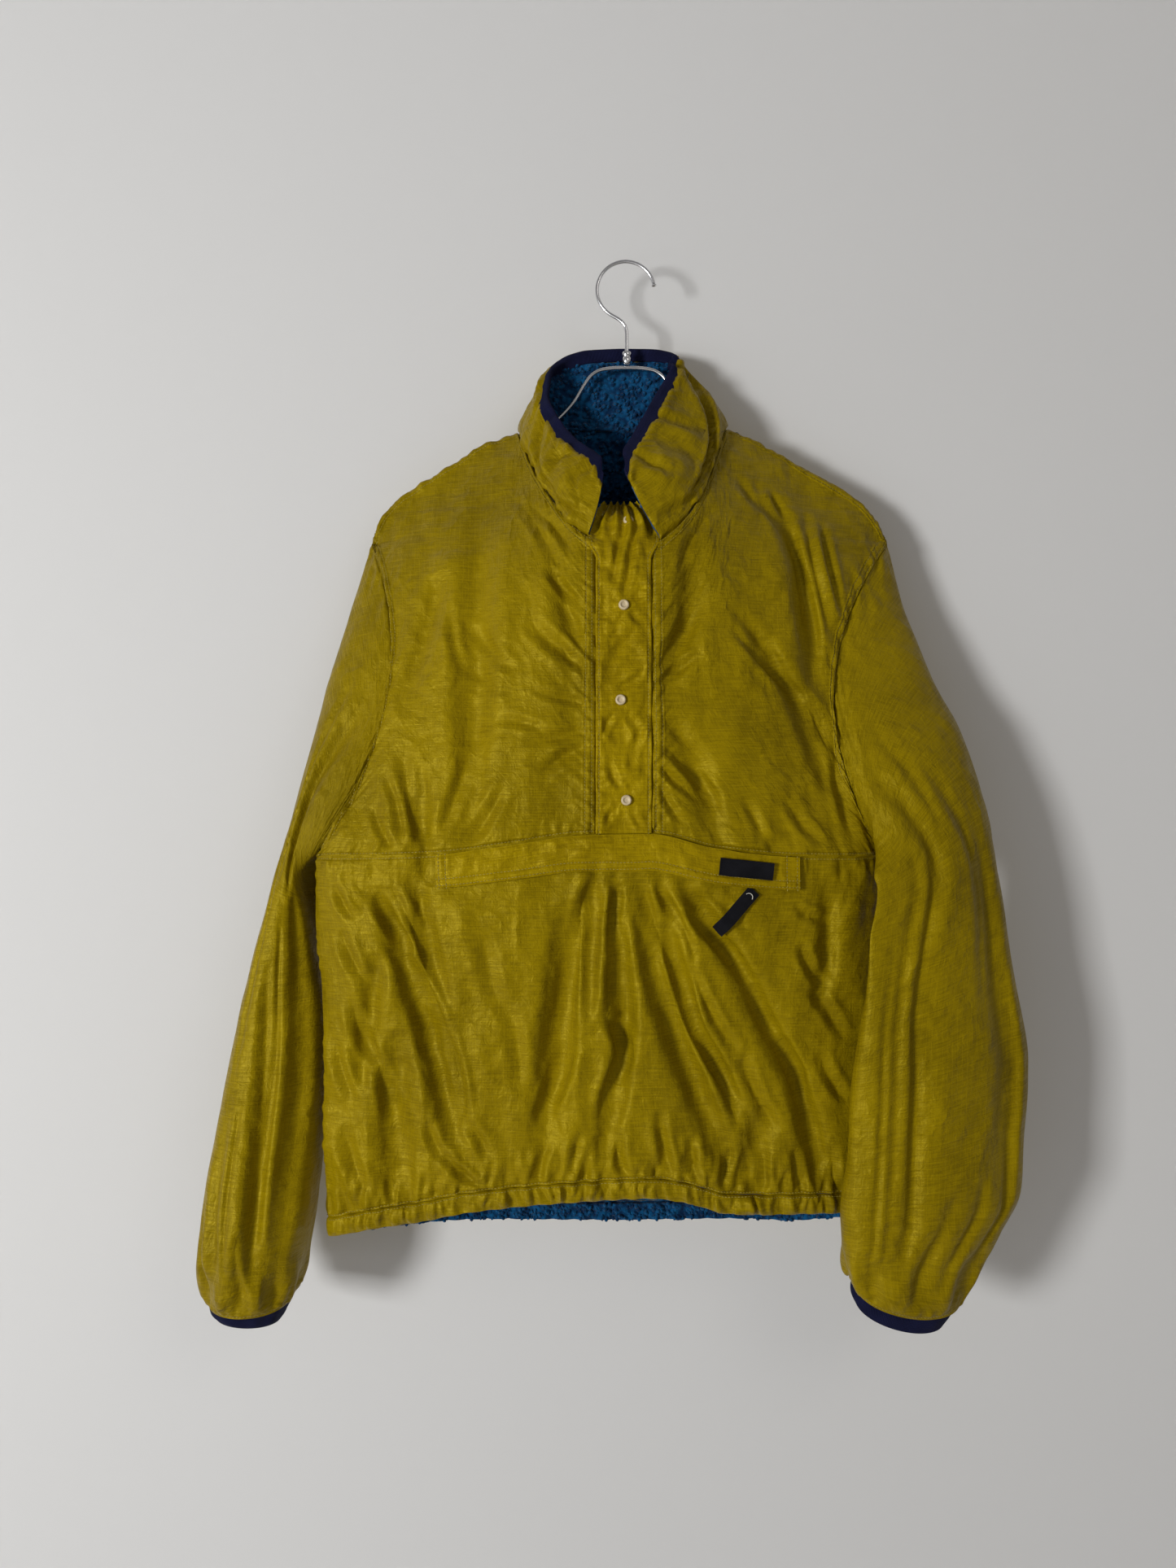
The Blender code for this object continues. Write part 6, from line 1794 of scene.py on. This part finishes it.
    def fold_depth(self, station: Array, share: Array) -> Array:
        """How far the folds push the stand in."""
        where = np.stack(np.broadcast_arrays(station * 0.45, share * 0.075), axis=-1)
        relief = np.zeros(where.shape[:2])
        for half_width, depth, *pairs in self.folds:
            points = np.array(pairs).reshape(-1, 2) * (0.45, 0.075)
            line = spread_along(tuple(map(tuple, points)), np.linspace(0, 1, 40))
            reach = np.linalg.norm(where[:, :, None] - line, axis=-1)
            at = np.argmin(reach, axis=-1) / (len(line) - 1)
            q = np.min(reach, axis=-1) / half_width
            fade = np.clip(np.sin(np.pi * (0.10 + 0.86 * at)), 0.0, 1.0) ** 0.6
            relief += depth * fade * (np.exp(-q ** 1.6) - 0.30 * bell((q - 2.0) / 0.9))
        return relief

    def build(self) -> Panel:
        """Make the three layers and return the nylon one."""
        shares = crowded(self.rows, 0.3)
        grid = self.grid(shares)
        station = self.stations(self.foot())[None, :]
        inside = grid.copy()
        inside[..., 0] = -0.006 + (grid[..., 0] + 0.006) * 0.2
        inside[..., 1] = -0.030 + (grid[..., 1] + 0.030) * 0.2
        inward = directions(grid, False, inside)
        fold = self.fold_depth(station, shares[:, None]) * ease(station / 0.02) * ease((1 - station) / 0.02)
        base = grid + inward * fold[..., None]
        base[0] += inward[0] * 0.0035 - np.array((0.0, 0.0, 0.006))
        base[1] += inward[1] * 0.0015 - np.array((0.0, 0.0, 0.002))
        nylon = Panel("collar", base, inside, wall=0.0017, lining=NYLON)
        nylon.crinkled(Crinkle(131, grain=(0.018, 0.018, 0.026), height=0.0024, fine=0.35, calm=0.4))
        nylon.sewn(
            Seam(Border.BOTTOM, groove=0.0010, pucker=0.0036, wave=0.007, reach=0.011, seed=141),
            Seam(Border.TOP, pucker=0.0040, wave=0.009, reach=0.014, seed=142),
            *both_sides(143, pucker=0.0024, wave=0.010, reach=0.010),
        )
        to_edge, _ = nylon.from_border(Border.BOTTOM)
        nylon.relief -= 0.0022 * bell((to_edge - 0.006) / 0.005) * ease(to_edge / 0.004)
        nylon.make_up(0.0010)
        self.line(base, inward, inside, shares, station[0])
        return nylon

    def line(self, base: Array, inward: Array, inside: Array, shares: Array, station: Array) -> None:
        """Make the pile lining with its tufts, and the binding over its upper edge."""
        length = np.linalg.norm(base[-1] - base[0], axis=1)
        stop = int(np.searchsorted(shares, 1 - self.binding_height / np.median(length)))
        stop -= stop % LINING_STEP
        front = base[:stop + 1] + inward[:stop + 1] * 0.0040
        lining = Panel("collar_lining", front[:, ::-1], 2 * front[:, ::-1] - inside[:stop + 1, ::-1],
                       wall=0.0021, face=PILE, lining=NYLON)
        where = lining.base / 0.0033
        curls = np.abs(noise(where, 151)) + 0.5 * np.abs(noise(where * 1.8, 152))
        lining.relief += 0.0018 * (curls - 0.35) * lining.edge_fade(0.002)
        lining.make_up(0.0010)
        ride(PileTufts("collar_pile", 40000.0, 0.0024).build(lining.points - lining.inward * 0.0008), PILE)
        self.bind(base, inward, station)

    def bind(self, base: Array, inward: Array, station: Array) -> None:
        """Wrap the knit binding round the upper edge: a flat strip with a round top, along the whole edge."""
        edge = base[-1]
        rise = base[-1] - base[-6]
        rise /= np.linalg.norm(rise, axis=1, keepdims=True)
        inner = inward[-1]
        stand = along(station, self.binding_stand)
        radius = self.binding_thickness / 2
        run = run_lengths(edge[None], 1)[0]
        ribs = 0.00035 * noise(np.stack((run / 0.005, run * 0, run * 0), axis=-1), 161)
        section: List[Tuple[float, float, float]] = [(0.0, -0.004, 0.0), (0.0, -0.002, 0.0)]
        section += [(0.0, 0.0, share) for share in (0.0, 0.33, 0.67, 1.0)]
        section += [(radius * (1 - math.cos(a)), radius * math.sin(a), 1.0)
                    for a in np.linspace(0.3, 2.84, 9)]
        section += [(2 * radius, 0.0, 1.0)]
        section += [(2 * radius, -self.binding_height * k / 5, 1.0) for k in range(1, 6)]
        section += [(2 * radius - 0.0012, -self.binding_height - 0.0006, 1.0)]
        rows = []
        for side, up, share in section:
            level = up + (stand - radius) * share
            swell = (ribs + 0.0002) * (1 if side < radius else -1)
            rows.append(edge + rise * level[:, None] + inner * (side + 0.0004 - swell)[:, None])
        grid = np.array(rows).transpose(1, 0, 2)
        count, around = grid.shape[:2]
        ids = number_grid(count, around, closed=True)
        faces = quads_of(ids).reshape(-1, 4).tolist() + [ids[0, :-1][::-1].tolist(), ids[-1, :-1].tolist()]
        depth = np.concatenate(([0.0], np.cumsum(np.linalg.norm(np.diff(grid[count // 2], axis=0), axis=1))))
        places = np.stack(np.broadcast_arrays(run[:, None], depth), axis=-1).reshape(-1, 2)
        thing = link_mesh("collar_binding_knit", grid.reshape(-1, 3), faces, (KNIT,),
                          cut=places[np.concatenate(faces)])
        ride(face_outward(thing), KNIT, "collar_binding")


# ---------------------------------------------------------------- trim and hanger
@dataclass
class Trim:
    """Pieces that lie on the front: the pocket flap, the plain patch and the pull tab."""

    flap_left: float = -0.172
    flap_right: float = 0.151
    flap_height: float = 0.033
    patch_centre: Spot = (0.102, -0.584)
    patch_size: Spot = (0.048, 0.0155)
    patch_turn: float = math.radians(-6.5)
    tab_top: Spot = (0.110, -0.6035)
    tab_end: Spot = (0.0775, -0.640)
    tab_width: float = 0.012

    def on_front(self, name: str, x: Array, z: Array, lift: float, thick: float, face: Finish,
                 extra: Array) -> Panel:
        """A panel whose face lies lift + thick outside the front."""
        y = FORM.depth(x, z, Side.FRONT) - extra
        grid = np.stack((x, y, z), axis=-1)
        inside = inside_body(grid)
        grid = grid - directions(grid, False, inside) * (lift + thick)
        return Panel(name, grid, inside, wall=thick, face=face, lining=face)

    def flap(self) -> Panel:
        """The pocket flap with its topstitched edge and crumpled ends."""
        x = np.linspace(self.flap_left, self.flap_right, 253)
        top = along(x, FORM.pocket_seam) - 0.0010
        height = self.flap_height * (1 - 0.10 * np.abs(2 * np.linspace(0, 1, len(x)) - 1))
        t = crowded(32, 0.3)[:, None]
        z = top - height * t
        # The flap uses the lighter copy of the nylon, which is painted light.
        panel = self.on_front("pocket_flap", np.broadcast_to(x, z.shape), z, 0.0020, 0.0020, PAINTED_LIGHT_NYLON,
                              0.0024 * t ** 2 + 0 * z)
        panel.crinkled(Crinkle(171, grain=(0.026, 0.020, 0.014), height=0.0016, fine=0.5, calm=0.6))
        panel.sewn(
            Seam(Border.TOP, groove=0.0012, pucker=0.0014, wave=0.010, reach=0.010, seed=181),
            Seam(Border.BOTTOM, groove=0.0, pucker=0.0008, wave=0.009, reach=0.008, rows=(0.0022, 0.0082),
                 seed=182),
            Seam(Border.FIRST, pucker=0.0020, wave=0.007, reach=0.010, rows=(0.0024, 0.0090), seed=183),
            Seam(Border.LAST, pucker=0.0014, wave=0.008, reach=0.008, rows=(0.0024, 0.0120), seed=184),
        )
        return panel.make_up(0.0013)

    def patch(self) -> Panel:
        """The plain woven patch, sewn down round its edge."""
        u = np.linspace(-0.5, 0.5, 61)[None, :] * self.patch_size[0]
        v = np.linspace(0.5, -0.5, 21)[:, None] * self.patch_size[1]
        x = self.patch_centre[0] + u * math.cos(self.patch_turn) - v * math.sin(self.patch_turn)
        z = self.patch_centre[1] + u * math.sin(self.patch_turn) + v * math.cos(self.patch_turn)
        panel = self.on_front("label_patch", x, z, 0.0064, 0.0012, WEBBING, np.zeros(x.shape))
        edge = np.ones(x.shape)
        for border in Border:
            distance, _ = panel.from_border(border)
            edge = np.minimum(edge, distance / 0.0016)
        panel.relief += 0.0004 * bell((edge - 1.0) / 0.5) + 0.0003 * noise(panel.base / 0.012, 191)
        panel.make_up(0.0006)
        for border in Border:
            panel.stitches.append(panel.stitch_line(border, 0.0012, 0.05, 0.95))
        return panel

    def tab(self) -> None:
        """The folded webbing pull, and the pale bar of thread that holds it."""
        start, end = np.array(self.tab_top), np.array(self.tab_end)
        run = (end - start) / np.linalg.norm(end - start)
        side = np.array((-run[1], run[0]))
        t = np.linspace(0.0, 1.0, 45)[:, None]
        s = np.linspace(-0.5, 0.5, 17)[None, :] * self.tab_width
        x = start[0] + (end - start)[0] * t + side[0] * s
        z = start[1] + (end - start)[1] * t + side[1] * s
        panel = self.on_front("pull_tab", x, z, 0.0012, 0.0014, WEBBING, 0.004 * t ** 2 + 0 * s)
        rim = 1 - np.abs(2 * s / self.tab_width)
        panel.relief += 0.0003 * bell((rim - 0.12) / 0.06) - 0.0004 * bell((t - 0.16) / 0.05)
        panel.make_up(0.0006)
        bar = [start + run * 0.004 + side * 0.0035 * math.sin(a) + run * 0.0035 * (1 - math.cos(a))
               for a in np.linspace(-1.3, 1.3, 15)]
        line = np.array([(p[0], float(FORM.depth(np.array(p[0]), np.array(p[1]), Side.FRONT)) - 0.0034, p[1])
                         for p in bar])
        ride(StitchRows("tab_thread", PALE_THREAD, 0.0006, 0.0011, 0.00042).build([line]), PALE_THREAD)


@dataclass
class Hanger:
    """The wire hanger: hook with a ball tip, crimped ferrule and the two arms."""

    wire: float = 0.0018
    hook_radius: float = 0.028
    hook_centre: Spot = (-0.001, -0.026)
    stem: Table = mm((-6.5, -55.5), (-1, -62.5), (0, -70), (0, -86.4))
    arm: Table = mm(
        (-3, -101.8), (-12, -102.1), (-25, -104), (-34, -109), (-41, -118), (-52, -136), (-66, -151),
        (-88, -169), (-106, -179), (-145, -196), (-170, -210), (-196, -225), (-213, -240),
    )
    ferrule: Table = mm(
        (-86.2, 2.6), (-86.7, 4), (-88.5, 4.5), (-90.5, 4.4), (-91.2, 3.9), (-92.2, 3.8), (-93, 4.3),
        (-96, 4.1), (-98.2, 3.6), (-99, 2.4),
    )
    sides: int = 20

    def tube(self, name: str, line: Array, radii: Array, node: str) -> Thing:
        """A round wire along points (x, z), with a radius at each, closed at both ends."""
        run = np.gradient(line, axis=0)
        run /= np.linalg.norm(run, axis=1, keepdims=True)
        turn = full_turn(self.sides)
        rings = [np.column_stack((x - rz * r * np.cos(turn), r * np.sin(turn), z + rx * r * np.cos(turn)))
                 for (x, z), (rx, rz), r in zip(line, run, radii)]
        ids = number_grid(len(rings), self.sides, closed=True)
        faces = quads_of(ids).reshape(-1, 4).tolist() + [ids[0, :-1][::-1].tolist(), ids[-1, :-1].tolist()]
        thing = link_mesh(name, np.concatenate(rings), faces, (WIRE,), crease=math.radians(50))
        return ride(face_outward(thing), WIRE, node)

    def build(self) -> None:
        """Make the hook, the ferrule and the arms."""
        x, z = self.hook_centre
        angles = np.radians(np.arange(12.0, 241.0, 3.0))
        arc = np.column_stack((x + self.hook_radius * np.cos(angles), z + self.hook_radius * np.sin(angles)))
        stem = spread_along((tuple(arc[-1]),) + self.stem, np.linspace(0, 1, 24))
        line = np.concatenate((arc, stem[1:]))
        radii = np.full(len(line), self.wire)
        ahead = arc[0] - arc[1]
        ahead /= np.linalg.norm(ahead)
        ball = np.radians(np.linspace(90, 20, 8))
        tip = np.array([arc[0] + ahead * 0.0022 * (math.sin(a) + 0.2) for a in ball])
        tip_radii = np.array([max(0.0028 * math.cos(a), 0.0002) for a in ball])
        line = np.concatenate((tip, line))
        self.tube("hanger_hook_wire", line, np.concatenate((tip_radii, radii)), "hanger_hook")
        levels, radii = np.array(self.ferrule).T
        self.tube("hanger_collar", np.column_stack((levels * 0, levels)), radii, "hanger_ferrule")
        left = spread_along(self.arm[::-1], np.linspace(0, 1, 90))
        right = left[::-1] * (-1.0, 1.0)
        line = np.concatenate((left, right))
        self.tube("hanger_arm_wire", line, np.full(len(line), self.wire), "hanger_arms")


# ---------------------------------------------------------------- the studio
@dataclass
class Studio:
    """Camera, light, pale floor and pale wall."""

    eye: Tuple[float, float, float] = (-0.0378, -1.150, -0.5086)
    wall_y: float = 0.046
    floor_z: float = -1.330

    def camera(self) -> None:
        """Set the camera at the photograph's place, level, looking along +Y."""
        data = bpy.data.cameras.new("camera")
        data.sensor_width = 36.0
        data.lens = 36.0 * FOCAL_PIXELS / IMAGE_HEIGHT
        data.clip_start = 0.01
        thing = bpy.data.objects.new("camera", data)
        thing.location = self.eye
        thing.rotation_euler = (math.pi / 2, 0.0, 0.0)
        bpy.context.collection.objects.link(thing)
        bpy.context.scene.camera = thing

    def light(self, name: str, place: Tuple[float, float, float], aim: Tuple[float, float, float],
              power: float, size: float, colour: Tuple[float, float, float]) -> None:
        """Add a square soft light."""
        data = bpy.data.lights.new(name, "AREA")
        data.energy = power
        data.size = size
        data.color = colour
        thing = bpy.data.objects.new(name, data)
        thing.location = place
        reach = np.array(aim) - np.array(place)
        flat = math.hypot(reach[0], reach[1])
        thing.rotation_euler = (math.atan2(flat, -reach[2]), 0.0, math.atan2(-reach[0], reach[1]))
        bpy.context.collection.objects.link(thing)

    def surface(self, name: str, corners: Table, colour: Colour, one_sided: bool) -> None:
        """Add a plain matt plane; a one-sided one is clear from behind."""
        mesh = bpy.data.meshes.new(name)
        mesh.from_pydata(corners, [], [(0, 1, 2, 3)])
        thing = bpy.data.objects.new(name, mesh)
        bpy.context.collection.objects.link(thing)
        material = bpy.data.materials.new(name)
        material.use_nodes = True
        tree = material.node_tree
        shader = tree.nodes["Principled BSDF"]
        shader.inputs["Base Color"].default_value = colour
        shader.inputs["Roughness"].default_value = 0.9
        shader.inputs["Specular IOR Level"].default_value = 0.2
        if one_sided:
            clear = tree.nodes.new("ShaderNodeBsdfTransparent")
            facing = tree.nodes.new("ShaderNodeNewGeometry")
            mix = tree.nodes.new("ShaderNodeMixShader")
            path = tree.nodes.new("ShaderNodeLightPath")
            unseen = calculate(tree, "MAXIMUM", facing.outputs["Backfacing"], path.outputs["Is Shadow Ray"])
            tree.links.new(unseen, mix.inputs[0])
            tree.links.new(shader.outputs[0], mix.inputs[1])
            tree.links.new(clear.outputs[0], mix.inputs[2])
            tree.links.new(mix.outputs[0], tree.nodes["Material Output"].inputs[0])
        mesh.materials.append(material)

    def build(self) -> None:
        """Set up the whole studio."""
        self.camera()
        y, z = self.wall_y, self.floor_z
        self.surface("pale_wall", ((-4.0, y, z), (4.0, y, z), (4.0, y, 3.0), (-4.0, y, 3.0)),
                     (0.62, 0.612, 0.607, 1.0), True)
        self.surface("pale_floor", ((-4.0, -4.0, z), (4.0, -4.0, z), (4.0, 4.0, z), (-4.0, 4.0, z)),
                     (0.62, 0.61, 0.60, 1.0), False)
        middle = (0.0, 0.0, -0.55)
        self.light("key", (-2.3, -2.6, -0.60), middle, 86.0, 0.60, (0.985, 1.0, 1.0))
        self.light("fill", (1.4, -2.5, 0.9), middle, 8.0, 1.2, (1.0, 0.95, 0.88))
        self.light("rear", (0.3, 2.6, -0.4), middle, 46.0, 2.4, (1.0, 0.99, 0.97))
        world = bpy.data.worlds.new("studio")
        bpy.context.scene.world = world
        world.use_nodes = True
        background = world.node_tree.nodes["Background"]
        background.inputs[0].default_value = (1.0, 0.98, 0.96, 1.0)
        background.inputs[1].default_value = 0.22
        bpy.context.scene.view_settings.view_transform = "Standard"


SLEEVE_CREASES_LEFT: Table = (
    (0.4, 118, 0.66, 124, 0.97, 122, 0.013, 0.005), (0.46, 88, 0.62, 96, 0.8, 104, 0.005, 0.003),
    (0.6, 60, 0.72, 66, 0.86, 72, 0.004, 0.0022), (0.1, 60, 0.24, 56, 0.4, 62, 0.005, 0.0016),
    (0.3, 40, 0.46, 44, 0.6, 40, 0.006, 0.0014), (0.7, 30, 0.82, 34, 0.94, 38, 0.005, 0.002),
    (0.75, 84, 0.86, 88, 0.96, 90, 0.005, 0.0026), (0.78, 112, 0.88, 118, 0.97, 120, 0.005, 0.0026),
    (0.4, 292, 0.6, 300, 0.82, 296, 0.006, 0.003), (0.15, 262, 0.35, 256, 0.6, 262, 0.007, 0.003),
    (0.7, 240, 0.84, 236, 0.96, 240, 0.006, 0.003), (0.55, 330, 0.7, 324, 0.9, 330, 0.006, 0.0026),
)
SLEEVE_CREASES_RIGHT: Table = (
    (0.3, 118, 0.52, 124, 0.9, 122, 0.005, 0.003), (0.34, 104, 0.56, 110, 0.92, 106, 0.004, 0.0022),
    (0.44, 130, 0.6, 134, 0.9, 134, 0.004, 0.002), (0.2, 62, 0.4, 58, 0.6, 60, 0.006, 0.0022),
    (0.55, 34, 0.7, 36, 0.9, 40, 0.006, 0.003), (0.74, 62, 0.84, 66, 0.95, 70, 0.005, 0.0026),
    (0.76, 84, 0.88, 88, 0.97, 90, 0.005, 0.0028), (0.1, 78, 0.2, 74, 0.34, 76, 0.005, 0.002),
    (0.4, 292, 0.6, 300, 0.82, 296, 0.006, 0.003), (0.15, 262, 0.35, 256, 0.6, 262, 0.007, 0.003),
    (0.7, 240, 0.84, 236, 0.96, 240, 0.006, 0.003), (0.5, 330, 0.66, 322, 0.86, 330, 0.006, 0.003),
)


@dataclass
class FleeceLinings:
    """The pile where it shows inside the back: below the neck and inside the back casing."""

    neck_rows: int = 41
    margin: int = 20           # columns of the casing left free at each side seam
    clear: Spot = (0.0044, 0.0036)      # stand off the casing at the sides, and more of it in the middle

    def neck(self, back: Panel) -> None:
        """Pile inside the back of the neck."""
        left, right = FORM.neck_back[0][0], FORM.neck_back[-1][0]
        columns = np.where((back.base[0, :, 0] > left) & (back.base[0, :, 0] < right))[0]
        first, count = columns[0], (len(columns) - 1) // LINING_STEP * LINING_STEP
        part = np.s_[:self.neck_rows, first:first + count + 1]
        face = back.base[part] + back.inward[part] * 0.0040
        face[0, :, 2] += 0.0040
        inside = 2 * face - back.inside[part]
        panel = Panel("lining_back_neck", face[:, ::-1], inside[:, ::-1], wall=0.0022, face=PILE,
                      lining=NYLON)
        panel.relief += 0.0016 * (np.abs(noise(panel.base / 0.0033, 201)) - 0.2)
        panel.make_up(0.0010)
        ride(PileTufts("neck_pile", 38000.0, 0.0026, 5).build(panel.points - panel.inward * 0.0008), PILE)

    def hem(self, band: Panel) -> None:
        """Pile inside the back casing, hanging a little below it."""
        count = (band.base.shape[1] - 2 * self.margin - 1) // LINING_STEP * LINING_STEP
        part = np.s_[:, self.margin:self.margin + count + 1]
        share = np.linspace(0.0, 1.0, count + 1)
        clear = self.clear[0] + self.clear[1] * np.sin(np.pi * share) ** 0.3
        face = band.base[part] + band.inward[part] * clear[:, None]
        face[-1, :, 2] -= 0.001
        inside = 2 * face - band.inside[part]
        panel = Panel("lining_back_hem", face[:, ::-1], inside[:, ::-1], wall=0.0024, face=PILE, lining=PILE)
        panel.relief += 0.0020 * (np.abs(noise(panel.base / 0.0035, 211)) - 0.2)
        panel.make_up(0.0012)
        ride(PileTufts("hem_pile", 62000.0, 0.0024, 6).build(panel.points), PILE)


def main() -> None:
    """Build the studio and every piece of the garment in order."""
    logging.basicConfig(level=logging.INFO, format="%(message)s")
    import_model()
    Studio().build()
    LOG.info("studio set")
    lines: List[Array] = []
    left = UpperFront("front_left", SLEEVE_LEFT, FORM.shoulder_left, FORM.neck_left,
                      FORM.placket_left, 11).build()
    right = UpperFront("front_right", SLEEVE_RIGHT, FORM.shoulder_right, FORM.neck_right,
                       FORM.placket_right, 31).build()
    LOG.info("upper fronts made")
    lower = LowerFront().build()
    back = Back().build()
    LOG.info("lower front and back made")
    band_front = HemBand("hem_band_front", lower, FORM.hem_front, Side.FRONT, 0.0030, 211).build()
    band_back = HemBand("hem_band_back", back, FORM.hem_back, Side.BACK, 0.0015, 221).build()
    placket = Placket().build()
    LOG.info("hem casing and placket made")
    sleeve_left = Sleeve("sleeve_left", SLEEVE_LEFT, "cuff_left", CUFF_LEFT, 0.0, 0.006,
                         SLEEVE_CREASES_LEFT, 231).build()
    sleeve_right = Sleeve("sleeve_right", SLEEVE_RIGHT, "cuff_right", CUFF_RIGHT, 0.012, 0.019,
                          SLEEVE_CREASES_RIGHT, 251).build()
    LOG.info("sleeves made")
    Collar().build()
    LOG.info("collar made")
    linings = FleeceLinings()
    linings.neck(back)
    linings.hem(band_back)
    trim = Trim()
    flap = trim.flap()
    patch = trim.patch()
    trim.tab()
    LOG.info("linings and trim made")
    for panel in (left, right, lower, back, band_front, band_back, placket, sleeve_left, sleeve_right, flap):
        lines.extend(panel.stitches)
    ride(StitchRows("topstitching", THREAD).build(lines), THREAD)
    ride(StitchRows("patch_stitching", WEBBING, 0.0016, 0.0012, 0.00022).build(patch.stitches), WEBBING)
    Hanger().build()
    LOG.info("thread and hanger made")


if __name__ == "__main__":
    main()
